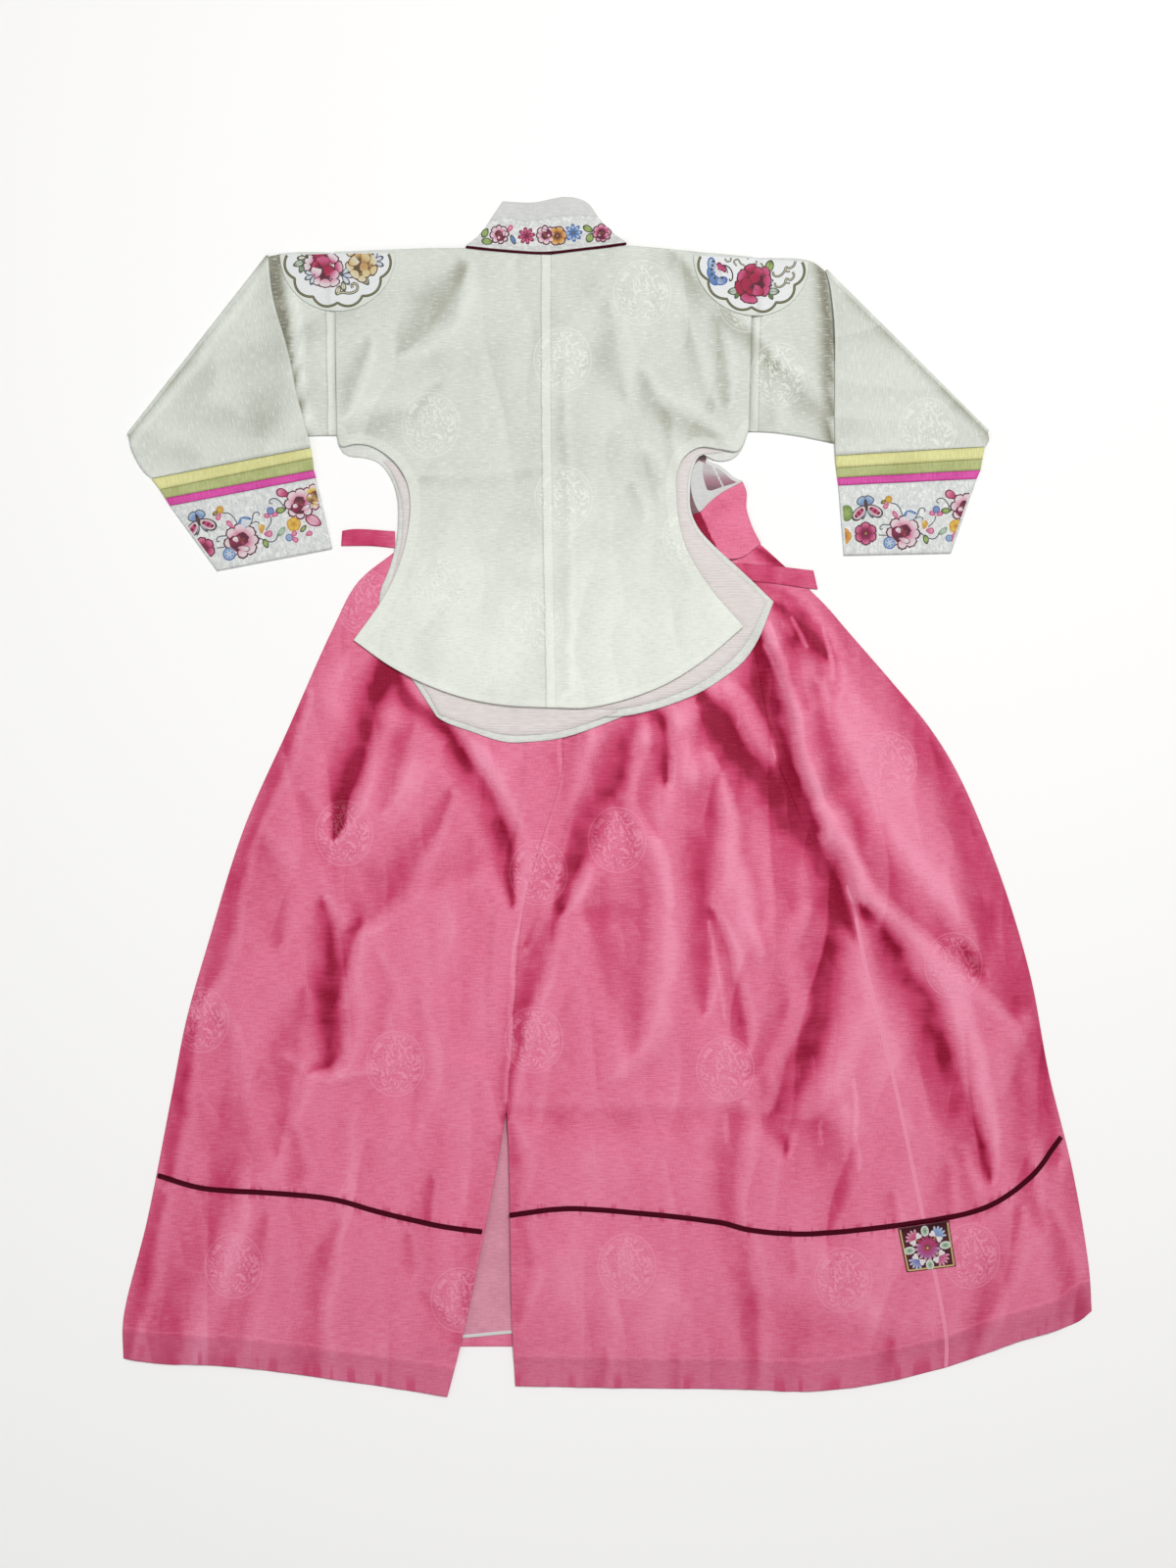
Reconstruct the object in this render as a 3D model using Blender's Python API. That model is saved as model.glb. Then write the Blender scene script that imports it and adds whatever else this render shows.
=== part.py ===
"""A girl's ceremonial hanbok laid flat, back side up.

A long cream jacket (dangui) with curved sides, round shoulder badges, striped
and embroidered cuffs and a banded collar lies on a full pink wrapped skirt
(chima) that hangs from a short bodice.  Every sheet of cloth is a thin closed
wall; the walls are laid down one after another on a bed that remembers how
high the pile already stands, so that each one drapes over those below.

Frame: the cloth lies on z = 0, +Y points to the collar, +X to the right of
the seen (back) side.  All sizes below are millimetres.
"""
import math

import bmesh
import bpy
import numpy as np
from mathutils import Vector
from mathutils.bvhtree import BVHTree

MM = 0.001

# ---------------------------------------------------------------- cloth
GAP = 0.3            # air between two layers, and between two seamed pieces
WALL = 1.1           # jacket and skirt cloth, interlined
THIN = 0.8           # linings, facings, ties
BRAID = 1.2          # collar band, badges and hem piping

# ---------------------------------------------------------------- the bed
CELL = 3.0           # spacing of the remembered heights
BED_HALF_X = 480.0
BED_HALF_Y = 582.0
REACH = 24.0         # how far a layer keeps off an edge below it before falling
SMALL_REACH = 6.0    # the same for a small piece with a fine grid
SETTLE = 10          # smoothing passes of a laid layer
TUCK = 6.0           # first row of points inside a side that rolls to the floor
FRONT_INSET = 9.0    # the skirt front lies this far inside the rolled sides

# ---------------------------------------------------------------- sleeve fold
LINK = 0.2           # half the air between the two stacked halves of a sleeve
TUBE_AIR = 0.4       # air between a flattened sleeve's two walls
TUBE_WALL = 1.0
TUBE = 2 * TUBE_WALL + TUBE_AIR
EDGE_ROUND = 0.9     # how far a flattened sleeve's folded edge bulges
ROLL_STEPS = 4
STEP_START = 10.0    # past the lower half's edge the upper half stays up this far
STEP_WIDTH = 25.0    # and comes down to the floor over this width
CURL = 5.0           # lift of the turned-back sleeve's free edge
CURL_WIDTH = 28.0
SEAM = GAP / 2

# ---------------------------------------------------------------- colours
CREAM = (0.78, 0.77, 0.67)
LILAC = (0.67, 0.62, 0.63)
PINK = (0.68, 0.16, 0.33)
MAUVE = (0.50, 0.27, 0.33)
WHITE = (0.86, 0.86, 0.86)
BADGE = (0.80, 0.82, 0.87)
MAROON = (0.07, 0.006, 0.018)
YELLOW = (0.76, 0.72, 0.29)
GREEN = (0.47, 0.56, 0.20)
MAGENTA = (0.72, 0.09, 0.41)


# ================================================================ curves
def curve(knots, cells):
    """Even points along a smooth line through the knots."""
    knots = np.asarray(knots, float)
    if len(knots) == 2:
        dense = knots
    else:
        chord = np.sqrt(np.linalg.norm(np.diff(knots, axis=0), axis=1))
        station = np.concatenate([[0.0], np.cumsum(chord)])
        slope = np.zeros_like(knots)
        slope[0] = (knots[1] - knots[0]) / chord[0]
        slope[-1] = (knots[-1] - knots[-2]) / chord[-1]
        for i in range(1, len(knots) - 1):
            before = (knots[i] - knots[i - 1]) / chord[i - 1]
            after = (knots[i + 1] - knots[i]) / chord[i]
            share = chord[i] / (chord[i] + chord[i - 1])
            slope[i] = before * share + after * (1 - share)
        pieces = []
        t = np.linspace(0, 1, 13)[:-1, None]
        for i in range(len(knots) - 1):
            span = station[i + 1] - station[i]
            pieces.append((2 * t**3 - 3 * t**2 + 1) * knots[i]
                          + (t**3 - 2 * t**2 + t) * span * slope[i]
                          + (3 * t**2 - 2 * t**3) * knots[i + 1]
                          + (t**3 - t**2) * span * slope[i + 1])
        dense = np.vstack(pieces + [knots[-1:]])
    length = np.concatenate([[0.0], np.cumsum(np.linalg.norm(np.diff(dense, axis=0), axis=1))])
    marks = np.linspace(0.0, length[-1], cells + 1)
    return np.column_stack([np.interp(marks, length, dense[:, axis]) for axis in (0, 1)])


def side(*runs):
    """One side of a sheet, joined from (knots, cells) runs that meet in corners."""
    rows = [curve(*run) for run in runs]
    return np.vstack([rows[0]] + [row[1:] for row in rows[1:]])


def shifted(knots, dx=0.0, dy=0.0):
    return [(x + dx, y + dy) for x, y in knots]


def shares(first, second):
    """How far along each point stands, as a mean of two facing sides."""
    total = 0.0
    for row in (first, second):
        run = np.concatenate([[0.0], np.cumsum(np.linalg.norm(np.diff(row, axis=0), axis=1))])
        total = total + run / run[-1]
    return total / 2


def coons(top, bottom, left, right):
    """Fill four sides with a grid of points: rows run from top to bottom."""
    u = shares(top, bottom)[None, :, None]
    v = shares(left, right)[:, None, None]
    across = (1 - v) * top[None] + v * bottom[None]
    along = (1 - u) * left[:, None] + u * right[:, None]
    corners = ((1 - u) * (1 - v) * top[0] + u * (1 - v) * top[-1]
               + (1 - u) * v * bottom[0] + u * v * bottom[-1])
    return across + along - corners


def smoothstep(value):
    value = np.clip(value, 0, 1)
    return value * value * (3 - 2 * value)


# ================================================================ the bed
class Bed:
    """Top heights of everything laid so far, on a square grid."""

    def __init__(self):
        self.x = np.arange(-BED_HALF_X, BED_HALF_X + CELL, CELL)
        self.y = np.arange(-BED_HALF_Y, BED_HALF_Y + CELL, CELL)
        self.top = np.zeros((len(self.y), len(self.x)))

    def take(self, *pieces):
        """Remember the height of finished pieces by dropping rays on them."""
        for piece in pieces:
            mesh = piece.data
            corners = np.array([v.co for v in mesh.vertices]) / MM
            tree = BVHTree.FromPolygons([v.co for v in mesh.vertices],
                                        [p.vertices for p in mesh.polygons])
            columns = np.nonzero((self.x >= corners[:, 0].min()) & (self.x <= corners[:, 0].max()))[0]
            rows = np.nonzero((self.y >= corners[:, 1].min()) & (self.y <= corners[:, 1].max()))[0]
            down = Vector((0, 0, -1))
            for row in rows:
                for column in columns:
                    start = Vector((self.x[column] * MM, self.y[row] * MM, 1.0))
                    hit = tree.ray_cast(start, down)[0]
                    if hit is not None:
                        self.top[row, column] = max(self.top[row, column], hit.z / MM)

    def surface(self, reach=REACH, settle=SETTLE, folds=0.0):
        """The height at which the underside of a next layer comes to lie."""
        high = np.where(self.top > 0, self.top + GAP, 0.0)
        for _ in range(int(math.ceil(reach / CELL))):
            high = spread(high)
        calm = high
        for _ in range(settle):
            calm = np.maximum(high, blur(calm))
        return calm + folds

    def sample(self, field, points):
        """Heights of a field at (..., 2) points."""
        fx = np.clip((points[..., 0] - self.x[0]) / CELL, 0, len(self.x) - 1.001)
        fy = np.clip((points[..., 1] - self.y[0]) / CELL, 0, len(self.y) - 1.001)
        i = fx.astype(int)
        j = fy.astype(int)
        a = fx - i
        b = fy - j
        return ((1 - a) * (1 - b) * field[j, i] + a * (1 - b) * field[j, i + 1]
                + (1 - a) * b * field[j + 1, i] + a * b * field[j + 1, i + 1])


def neighbours(field):
    padded = np.pad(field, 1, mode="edge")
    return (padded[:-2, 1:-1], padded[2:, 1:-1], padded[1:-1, :-2], padded[1:-1, 2:])


def spread(field):
    return np.maximum.reduce((field,) + neighbours(field))


def blur(field):
    north, south, west, east = neighbours(field)
    return (2 * field + north + south + west + east) / 6


def ridges(bed, table):
    """Soft folds: each row is (knots of the crest, half width, height, fade).

    The crest swells from nothing over the first and last fade part of its run.
    """
    grid_x, grid_y = np.meshgrid(bed.x, bed.y)
    total = np.zeros_like(bed.top)
    for knots, width, height, fade in table:
        line = curve(knots, 24)
        run = np.linspace(0, 1, len(line))
        swell = np.minimum(smoothstep(run / fade), smoothstep((1 - run) / fade))
        crest = np.zeros_like(total)
        for (x, y), share in zip(line, swell):
            away = ((grid_x - x) ** 2 + (grid_y - y) ** 2) / width**2
            crest = np.maximum(crest, height * share * np.exp(-away))
        total = np.maximum(total, crest)
    return total


# ================================================================ solids
MATERIALS = {}


def material(name, colour, roughness):
    if name not in MATERIALS:
        made = bpy.data.materials.new(name)
        made.use_nodes = True
        shader = made.node_tree.nodes["Principled BSDF"]
        shader.inputs["Base Color"].default_value = (*colour, 1)
        shader.inputs["Roughness"].default_value = roughness
        shader.inputs["Metallic"].default_value = 0.0
        made.diffuse_color = (*colour, 1)
        MATERIALS[name] = made
    return MATERIALS[name]


def solid(name, vertices, faces, colour, roughness=0.6):
    """A named object with its own material, faces turned outwards."""
    mesh = bpy.data.meshes.new(name)
    mesh.from_pydata([tuple(MM * float(c) for c in v) for v in vertices], [], faces)
    work = bmesh.new()
    work.from_mesh(mesh)
    bmesh.ops.triangulate(work, faces=work.faces[:])
    bmesh.ops.recalc_face_normals(work, faces=work.faces[:])
    work.to_mesh(mesh)
    work.free()
    mesh.materials.append(material(name, colour, roughness))
    mesh.shade_smooth()
    mesh.set_sharp_from_angle(angle=math.radians(40))
    piece = bpy.data.objects.new(name, mesh)
    bpy.context.collection.objects.link(piece)
    return piece


def sheet(name, grid, underside, thickness, colour, roughness=0.6):
    """A closed wall on a grid of (x, y) points with the given underside heights."""
    rows, columns = grid.shape[:2]
    under = np.dstack([grid, underside]).reshape(-1, 3)
    over = under + (0, 0, thickness)
    count = rows * columns
    faces = []
    for r in range(rows - 1):
        for c in range(columns - 1):
            a = r * columns + c
            ring = (a, a + 1, a + 1 + columns, a + columns)
            faces.append(ring)
            faces.append(tuple(count + k for k in reversed(ring)))
    rim = ([(0, c) for c in range(columns)] + [(r, columns - 1) for r in range(1, rows)]
           + [(rows - 1, c) for c in range(columns - 2, -1, -1)]
           + [(r, 0) for r in range(rows - 2, 0, -1)])
    rim = [r * columns + c for r, c in rim]
    for a, b in zip(rim, rim[1:] + rim[:1]):
        faces.append((b, a, count + a, count + b))
    return solid(name, np.vstack([under, over]), faces, colour, roughness)


def laid(name, bed, field, grid, thickness, colour, roughness=0.6, rolled=None):
    """Lay a sheet on the bed; a rolled side, "left" or "right", comes down to the floor."""
    if rolled:
        edge, next_in = (0, 1) if rolled == "left" else (-1, -2)
        inwards = grid[:, next_in] - grid[:, edge]
        inwards *= TUCK / np.linalg.norm(inwards, axis=1)[:, None]
        tucked = grid[:, edge] + inwards
        grid = np.insert(grid, 1 if rolled == "left" else grid.shape[1] - 1, tucked, axis=1)
    underside = bed.sample(field, grid)
    if rolled:
        underside[:, edge] = 0.0
    return sheet(name, grid, underside, thickness, colour, roughness)


def inner(grid, left=0.0, right=0.0, top=0.0, bottom=0.0, rows=8, columns=8):
    """A smaller grid inside a grid, its sides moved in by millimetres."""
    across = np.linalg.norm(np.diff(grid, axis=1), axis=2).sum(axis=1)
    down = np.linalg.norm(np.diff(grid, axis=0), axis=2).sum(axis=0)
    r_count, c_count = grid.shape[:2]
    made = np.zeros((rows + 1, columns + 1, 2))
    for i in range(rows + 1):
        for j in range(columns + 1):
            p = j / columns
            q = i / rows
            width = np.interp(q * (r_count - 1), np.arange(r_count), across)
            height = np.interp(p * (c_count - 1), np.arange(c_count), down)
            u = left / width + p * (1 - (left + right) / width)
            v = top / height + q * (1 - (top + bottom) / height)
            fu = min(u * (c_count - 1), c_count - 1.001)
            fv = min(v * (r_count - 1), r_count - 1.001)
            c = int(fu)
            r = int(fv)
            a = fu - c
            b = fv - r
            made[i, j] = ((1 - a) * (1 - b) * grid[r, c] + a * (1 - b) * grid[r, c + 1]
                          + (1 - a) * b * grid[r + 1, c] + a * b * grid[r + 1, c + 1])
    return made


# ================================================================ skirt
SKIRT_LEFT = [(-193, 225), (-228, 196), (-251, 153), (-292, 61), (-332, -29), (-366, -138),
              (-385, -205), (-399, -277), (-421, -389), (-443, -480), (-443, -516)]
SKIRT_RIGHT = [(145, 231), (186, 190), (203, 173), (221, 152), (261, 106), (298, 61), (325, 16),
               (362, -74), (389, -164), (406, -254), (428, -344), (443, -434), (445.5, -472.5)]
SLIT_LEFT_PANEL = [(-53, 220), (-40, 52), (-42, 16), (-63, -52), (-77, -110), (-85, -205),
                   (-91, -281), (-112, -400), (-132, -496), (-146, -551)]
SLIT_RIGHT_PANEL = [(-71, 220), (-66, 52), (-75, -34), (-95, -110), (-100, -205), (-94, -268),
                    (-90, -304), (-86, -486), (-83, -541)]
SIDE_SEAM = [(118, 216), (132, 155), (144, 92), (155, 38), (169, 2), (189, -43), (220, -84),
             (238, -159), (263, -259), (290, -386), (312, -499), (312, -524)]
HEM_LEFT = [(-443, -516), (-411, -520.5), (-373, -521.5), (-335, -524), (-247, -535.5),
            (-170, -547), (-146, -551)]
HEM_RIGHT = [(-83, -541), (26, -543), (128, -544), (178, -546), (229, -542), (267, -535), (312, -524)]
HEM_SIDE = [(312, -524), (342, -513.5), (380, -499.5), (409, -491), (433, -482), (445.5, -472.5)]
HEM_FRONT = [(-436, -509), (-287, -507), (-134, -505), (73, -505), (253, -500), (343, -484),
             (436, -461)]

# The skirt back stands this full off the front, less near its sides and hem.
FULLNESS = 4.5
FULL_SIDE = 60.0             # the fullness builds up over this distance from a side
FULL_HEM = (-545.0, 130.0)   # ... and from this height of the hem over this distance
WAIST_DIP = (118.0, 60.0)    # the jacket presses the folds flat above, over this width

# Crests and troughs of the folds: knots of the line, half width, height, fade of both ends.
SKIRT_CRESTS = [
    ([(142, 143), (170, 120), (190, 62), (194, 12), (194, -10)], 21, 10, 0.2),
    ([(194, 5), (212, -25), (232, -55), (246, -95), (258, -150)], 24, 9, 0.25),
    ([(58, 82), (58, -5), (74, -55), (78, -125)], 20, 4.5, 0.25),
    ([(108, -20), (118, -122), (134, -190), (163, -255), (152, -320)], 22, 5, 0.25),
    ([(-12, 72), (-25, -40), (-48, -140), (-62, -260)], 18, 4, 0.25),
    ([(-80, 52), (-92, -20), (-104, -90)], 20, 3, 0.3),
    ([(-178, 100), (-180, 60), (-190, 20), (-205, -20)], 16, 4, 0.3),
    ([(-190, -100), (-215, -150), (-222, -210)], 22, 4, 0.3),
    ([(-255, -20), (-290, -130), (-318, -230)], 26, 4, 0.35),
    ([(255, 70), (285, -5), (300, -60)], 22, 4, 0.35),
    ([(300, -120), (330, -200), (345, -290)], 24, 4, 0.35),
]
SKIRT_TROUGHS = [
    ([(138, 137), (163, 62), (175, 8), (205, -55), (220, -95)], 15, 9, 0.15),
    ([(120, 84), (128, 18), (143, -55), (150, -130), (165, -165)], 18, 5, 0.2),
    ([(24, 60), (30, -10), (22, -75), (4, -150), (30, -220)], 20, 4.5, 0.25),
    ([(-38, 50), (-46, -40), (-60, -90)], 14, 3, 0.3),
    ([(-163, 86), (-127, 40), (-90, -30), (-72, -85), (-80, -165)], 20, 5, 0.25),
    ([(-145, -15), (-200, -85), (-238, -145), (-258, -190), (-262, -245)], 22, 5, 0.25),
    ([(-228, 50), (-238, -5), (-256, -38)], 18, 4, 0.3),
    ([(-312, -60), (-300, -105)], 20, 4, 0.4),
    ([(-366, -248), (-330, -300), (-320, -335)], 22, 4, 0.35),
    ([(243, -75), (293, -160), (334, -250), (344, -345)], 20, 4.5, 0.25),
    ([(190, -270), (204, -370)], 20, 4, 0.35),
    ([(-360, -400), (-378, -470)], 20, 2.5, 0.4),
    ([(-205, -410), (-185, -500)], 18, 2.5, 0.4),
]


def fullness(bed):
    """How far the skirt back stands off the front, in soft folds."""
    left = np.interp(-bed.y, [-y for x, y in SKIRT_LEFT], [x for x, y in SKIRT_LEFT])
    right = np.interp(-bed.y, [-y for x, y in SKIRT_RIGHT], [x for x, y in SKIRT_RIGHT])
    from_side = np.minimum(bed.x[None] - left[:, None], right[:, None] - bed.x[None])
    full = FULLNESS * smoothstep(from_side / FULL_SIDE)
    full = full * smoothstep((bed.y - FULL_HEM[0]) / FULL_HEM[1])[:, None]
    folds = np.maximum(0, full + ridges(bed, SKIRT_CRESTS) - ridges(bed, SKIRT_TROUGHS))
    pressed = smoothstep((WAIST_DIP[0] - bed.y) / WAIST_DIP[1])[:, None]
    return blur(blur(folds)) * pressed


def skirt_front(bed):
    top = curve([(-182, 228.7), (136, 230.9)], 10)
    bottom = curve(HEM_FRONT, 10)
    left = curve([(-182, 228.7)] + shifted(SKIRT_LEFT[1:-1], FRONT_INSET) + [HEM_FRONT[0]], 10)
    right = curve([(136, 230.9)] + shifted(SKIRT_RIGHT[1:-1], -FRONT_INSET) + [HEM_FRONT[-1]], 10)
    grid = coons(top, bottom, left, right)
    bed.take(sheet("skirt_front", grid, np.zeros(grid.shape[:2]), 1.0, PINK))


def slit_lining(bed):
    top = curve([(-130, -250), (-65, -250)], 3)
    bottom = curve([(-172, -500), (-131, -497), (-86, -493), (-40, -491)], 3)
    left = curve([(-130, -250), (-172, -500)], 6)
    right = curve([(-65, -250), (-40, -491)], 6)
    grid = coons(top, bottom, left, right)
    bed.take(laid("skirt_lining", bed, bed.surface(SMALL_REACH, 0), grid, THIN, MAUVE))


def skirt_back(bed):
    """Three back panels; the left one laps over the right one at the slit."""
    folds = fullness(bed)
    field = bed.surface() + folds

    seam = SIDE_SEAM
    right_grid = coons(curve([(-71, 220), (30, 217), (118 - SEAM, 216)], 17),
                       curve(HEM_RIGHT[:-1] + [(312 - SEAM, -524)], 17),
                       curve(SLIT_RIGHT_PANEL, 26),
                       curve(shifted(seam, -SEAM), 26))
    side_grid = coons(curve([(118 + SEAM, 216), (145, 231)], 7),
                      curve([(312 + SEAM, -524)] + HEM_SIDE[1:], 7),
                      curve(shifted(seam, SEAM), 26),
                      curve(SKIRT_RIGHT, 26))
    right = laid("skirt_back_right", bed, field, right_grid, WALL, PINK, 0.45)
    flank = laid("skirt_side_right", bed, field, side_grid, WALL, PINK, 0.45, rolled="right")
    bed.take(right)

    left_grid = coons(curve([(-193, 225), (-120, 223), (-53, 220)], 17),
                      curve(HEM_LEFT, 17),
                      curve(SKIRT_LEFT, 26),
                      curve(SLIT_LEFT_PANEL, 26))
    lapped = np.maximum(field, bed.surface())
    left = laid("skirt_back_left", bed, lapped, left_grid, WALL, PINK, 0.45, rolled="left")
    bed.take(left, flank)


PIPING_WIDTH = 3.6
PIPING_LEFT = [(-411, -348), (-366, -360), (-310, -364), (-249, -370), (-207, -382), (-156, -395),
               (-114, -401)]
PIPING_RIGHT = [(-88, -386), (-44, -380), (27, -383), (103, -391), (128, -397), (179, -401),
                (257, -395), (289, -390.5)]
PIPING_SIDE = [(291, -390.5), (314, -387), (348, -378), (387, -353), (417, -316)]
HEM_BADGE = [(270, -396), (318, -388), (324, -431), (277, -437)]


def ribbon(knots, width, cells, rows=1):
    """A strip of even width along a line."""
    line = curve(knots, cells)
    step = np.gradient(line, axis=0)
    across = np.column_stack([-step[:, 1], step[:, 0]])
    across /= np.linalg.norm(across, axis=1)[:, None]
    offsets = np.linspace(width / 2, -width / 2, rows + 1)
    return np.array([line + across * offset for offset in offsets])


def skirt_trim(bed):
    field = bed.surface(SMALL_REACH, 2)
    for name, knots, cells in (("hem_piping_left", PIPING_LEFT, 28),
                               ("hem_piping_right", PIPING_RIGHT, 34),
                               ("hem_piping_side", PIPING_SIDE, 14)):
        strip = ribbon(knots, PIPING_WIDTH, cells)
        bed.take(laid(name, bed, field, strip, BRAID, MAROON))
    a, b, c, d = HEM_BADGE
    grid = coons(curve([a, b], 5), curve([d, c], 5), curve([a, d], 5), curve([b, c], 5))
    field = bed.surface(SMALL_REACH, 2)
    bed.take(laid("hem_badge", bed, field, grid, BRAID, MAROON))


# ================================================================ bodice
BODICE_TOP_FRONT = [(-179, 283), (-60, 292), (73, 306), (93, 308), (111, 299.5), (125, 289)]
BODICE_SIDE_RIGHT = [(125, 289), (128.8, 280), (130, 263), (135.5, 245), (143, 233)]
STRAP = 32.0
STRAP_TOP = 470.0


def bodice_front(bed):
    grid = coons(curve(BODICE_TOP_FRONT, 8), curve([(-187, 229), (143, 233)], 8),
                 curve([(-179, 283), (-187, 229)], 3), curve(BODICE_SIDE_RIGHT, 3))
    front = sheet("bodice_front", grid, np.zeros(grid.shape[:2]), 1.0, MAUVE)
    bed.take(front)
    facing = coons(curve([(60, 304), (93, 307), (110, 299), (124.5, 288.5)], 6),
                   curve([(58, 291), (84, 294), (99, 286), (113, 276)], 6),
                   curve([(60, 304), (58, 291)], 1),
                   curve([(124.5, 288.5), (113, 276)], 1))
    bed.take(laid("bodice_facing", bed, bed.surface(CELL, 0), facing, THIN, WHITE))
    for name, low_left, low_right, x in (("bodice_strap_left", 290.0, 292.0, -150.0),
                                         ("bodice_strap_right", 305.0, 309.0, 42.0)):
        strap = coons(curve([(x, STRAP_TOP), (x + STRAP, STRAP_TOP)], 1),
                      curve([(x, low_left), (x + STRAP, low_right)], 1),
                      curve([(x, STRAP_TOP), (x, low_left)], 4),
                      curve([(x + STRAP, STRAP_TOP), (x + STRAP, low_right)], 4))
        bed.take(sheet(name, strap, np.zeros(strap.shape[:2]), THIN, PINK))


def bodice_back(bed):
    """The bodice opens down the centre back, left half over right half."""
    right = coons(curve([(-62, 262), (60, 257), (87, 262), (105, 274.5), (125, 288.5)], 8),
                  curve([(-70, 220.6), (30, 217.6), (111, 217.3), (125, 219.5), (144.5, 231.6)], 8),
                  curve([(-62, 262), (-70, 220.6)], 4),
                  curve([(125, 288.5), (129.5, 279), (131, 263), (136.5, 245), (144.5, 231.6)], 4))
    bed.take(laid("bodice_back_right", bed, bed.surface(), right, WALL, PINK))
    left = coons(curve([(-180, 284), (-45, 262)], 6),
                 curve([(-188, 225.6), (-52, 220.8)], 6),
                 curve([(-180, 284), (-188, 225.6)], 3),
                 curve([(-45, 262), (-52, 220.8)], 3))
    bed.take(laid("bodice_back_left", bed, bed.surface(), left, WALL, PINK))


def waist_ties(bed):
    left = coons(curve([(-242, 243.5), (-231, 245), (-194, 243)], 5),
                 curve([(-243, 230), (-215, 230), (-194, 228)], 5),
                 curve([(-242, 243.5), (-243, 230)], 1),
                 curve([(-194, 243), (-194, 228)], 1))
    bed.take(sheet("waist_tie_left", left, np.zeros(left.shape[:2]), THIN, PINK))
    right = coons(curve([(112, 214), (163, 210), (190, 207)], 8),
                  curve([(112, 200), (154, 195), (194, 190)], 8),
                  curve([(112, 214), (112, 200)], 1),
                  curve([(190, 207), (194, 190)], 1))
    bed.take(laid("waist_tie_right", bed, bed.surface(2 * SMALL_REACH, 2), right, THIN, PINK))


# ================================================================ jacket
LEFT_SEAM = [(-249, 498.5), (-246.5, 332)]
RIGHT_SEAM = [(134, 494), (130.5, 336)]
BACK_LEFT_SIDE = [(-246.5, 332), (-243, 321), (-231, 323), (-218, 322), (-204, 315), (-191, 303),
                  (-182, 287), (-179, 268), (-181, 243), (-189, 212), (-204, 181), (-231, 143)]
BACK_RIGHT_SIDE = [(130.5, 336), (121, 317), (105, 318), (87, 320), (76, 315), (68, 306), (64, 292),
                   (64, 277), (66, 254), (73, 227), (93, 193), (125, 155)]
FRONT_LEFT_SIDE = [(-246.5, 332), (-243.5, 318), (-236, 312.5), (-222, 311), (-208, 306), (-197, 291),
                   (-191, 273), (-190, 254), (-192, 232), (-199, 207), (-207, 186), (-204, 144),
                   (-178, 108), (-155, 73)]
FRONT_RIGHT_SIDE = [(130.5, 336), (123, 317), (108, 310), (95, 309), (84, 306), (79, 297), (77, 281),
                    (77, 263), (83, 248), (93, 235), (125, 205), (153, 178)]
CENTRE_SEAM = [(-51, 496.3), (-51, 371), (-49, 227), (-46, 81)]
NECK = [(-128, 503), (-80, 499), (-57, 498), (-17, 502), (18, 506)]
PIPING_NECK = 2.7
BACK_BELOW_NECK = PIPING_NECK / 2 + GAP
FACING_WIDTH = 10.0


def jacket_fronts(bed):
    left = coons(curve([(-249, 498.2), (-200, 499), (-128, 500)], 9),
                 curve([(-155, 73), (-147, 68), (-125, 60), (-93, 50), (-71, 50), (-39, 54),
                        (19, 75), (63, 96)], 9),
                 side(([(-249, 498.2), (-246.5, 332)], 6), (FRONT_LEFT_SIDE, 14)),
                 curve([(-128, 500), (-26, 362), (19, 299), (45, 241), (63, 96)], 20))
    front_left = laid("front_left", bed, bed.surface(), left, WALL, CREAM)
    bed.take(front_left)
    right = coons(curve([(18, 504), (80, 498.7), (134, 493.6)], 9),
                  curve([(-155, 119), (-80, 84), (-38, 77), (-8, 73), (19, 74), (55, 83), (87, 96),
                         (109, 110), (125, 123), (137, 140), (153, 178)], 9),
                  curve([(18, 504), (-75, 362), (-116, 299), (-141, 241), (-155, 119)], 20),
                  side(([(134, 493.6), (130.5, 336)], 6), (FRONT_RIGHT_SIDE, 14)))
    front_right = laid("front_right", bed, bed.surface(), right, WALL, CREAM)
    bed.take(front_right)
    lining_left = inner(left[9:], left=FACING_WIDTH, right=60, top=8, bottom=FACING_WIDTH,
                        rows=9, columns=8)
    lining_right = inner(right[9:], left=60, right=FACING_WIDTH, top=8, bottom=FACING_WIDTH,
                         rows=9, columns=8)
    bed.take(laid("front_left_lining", bed, bed.surface(), lining_left, THIN, LILAC))
    bed.take(laid("front_right_lining", bed, bed.surface(), lining_right, THIN, LILAC))


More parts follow.
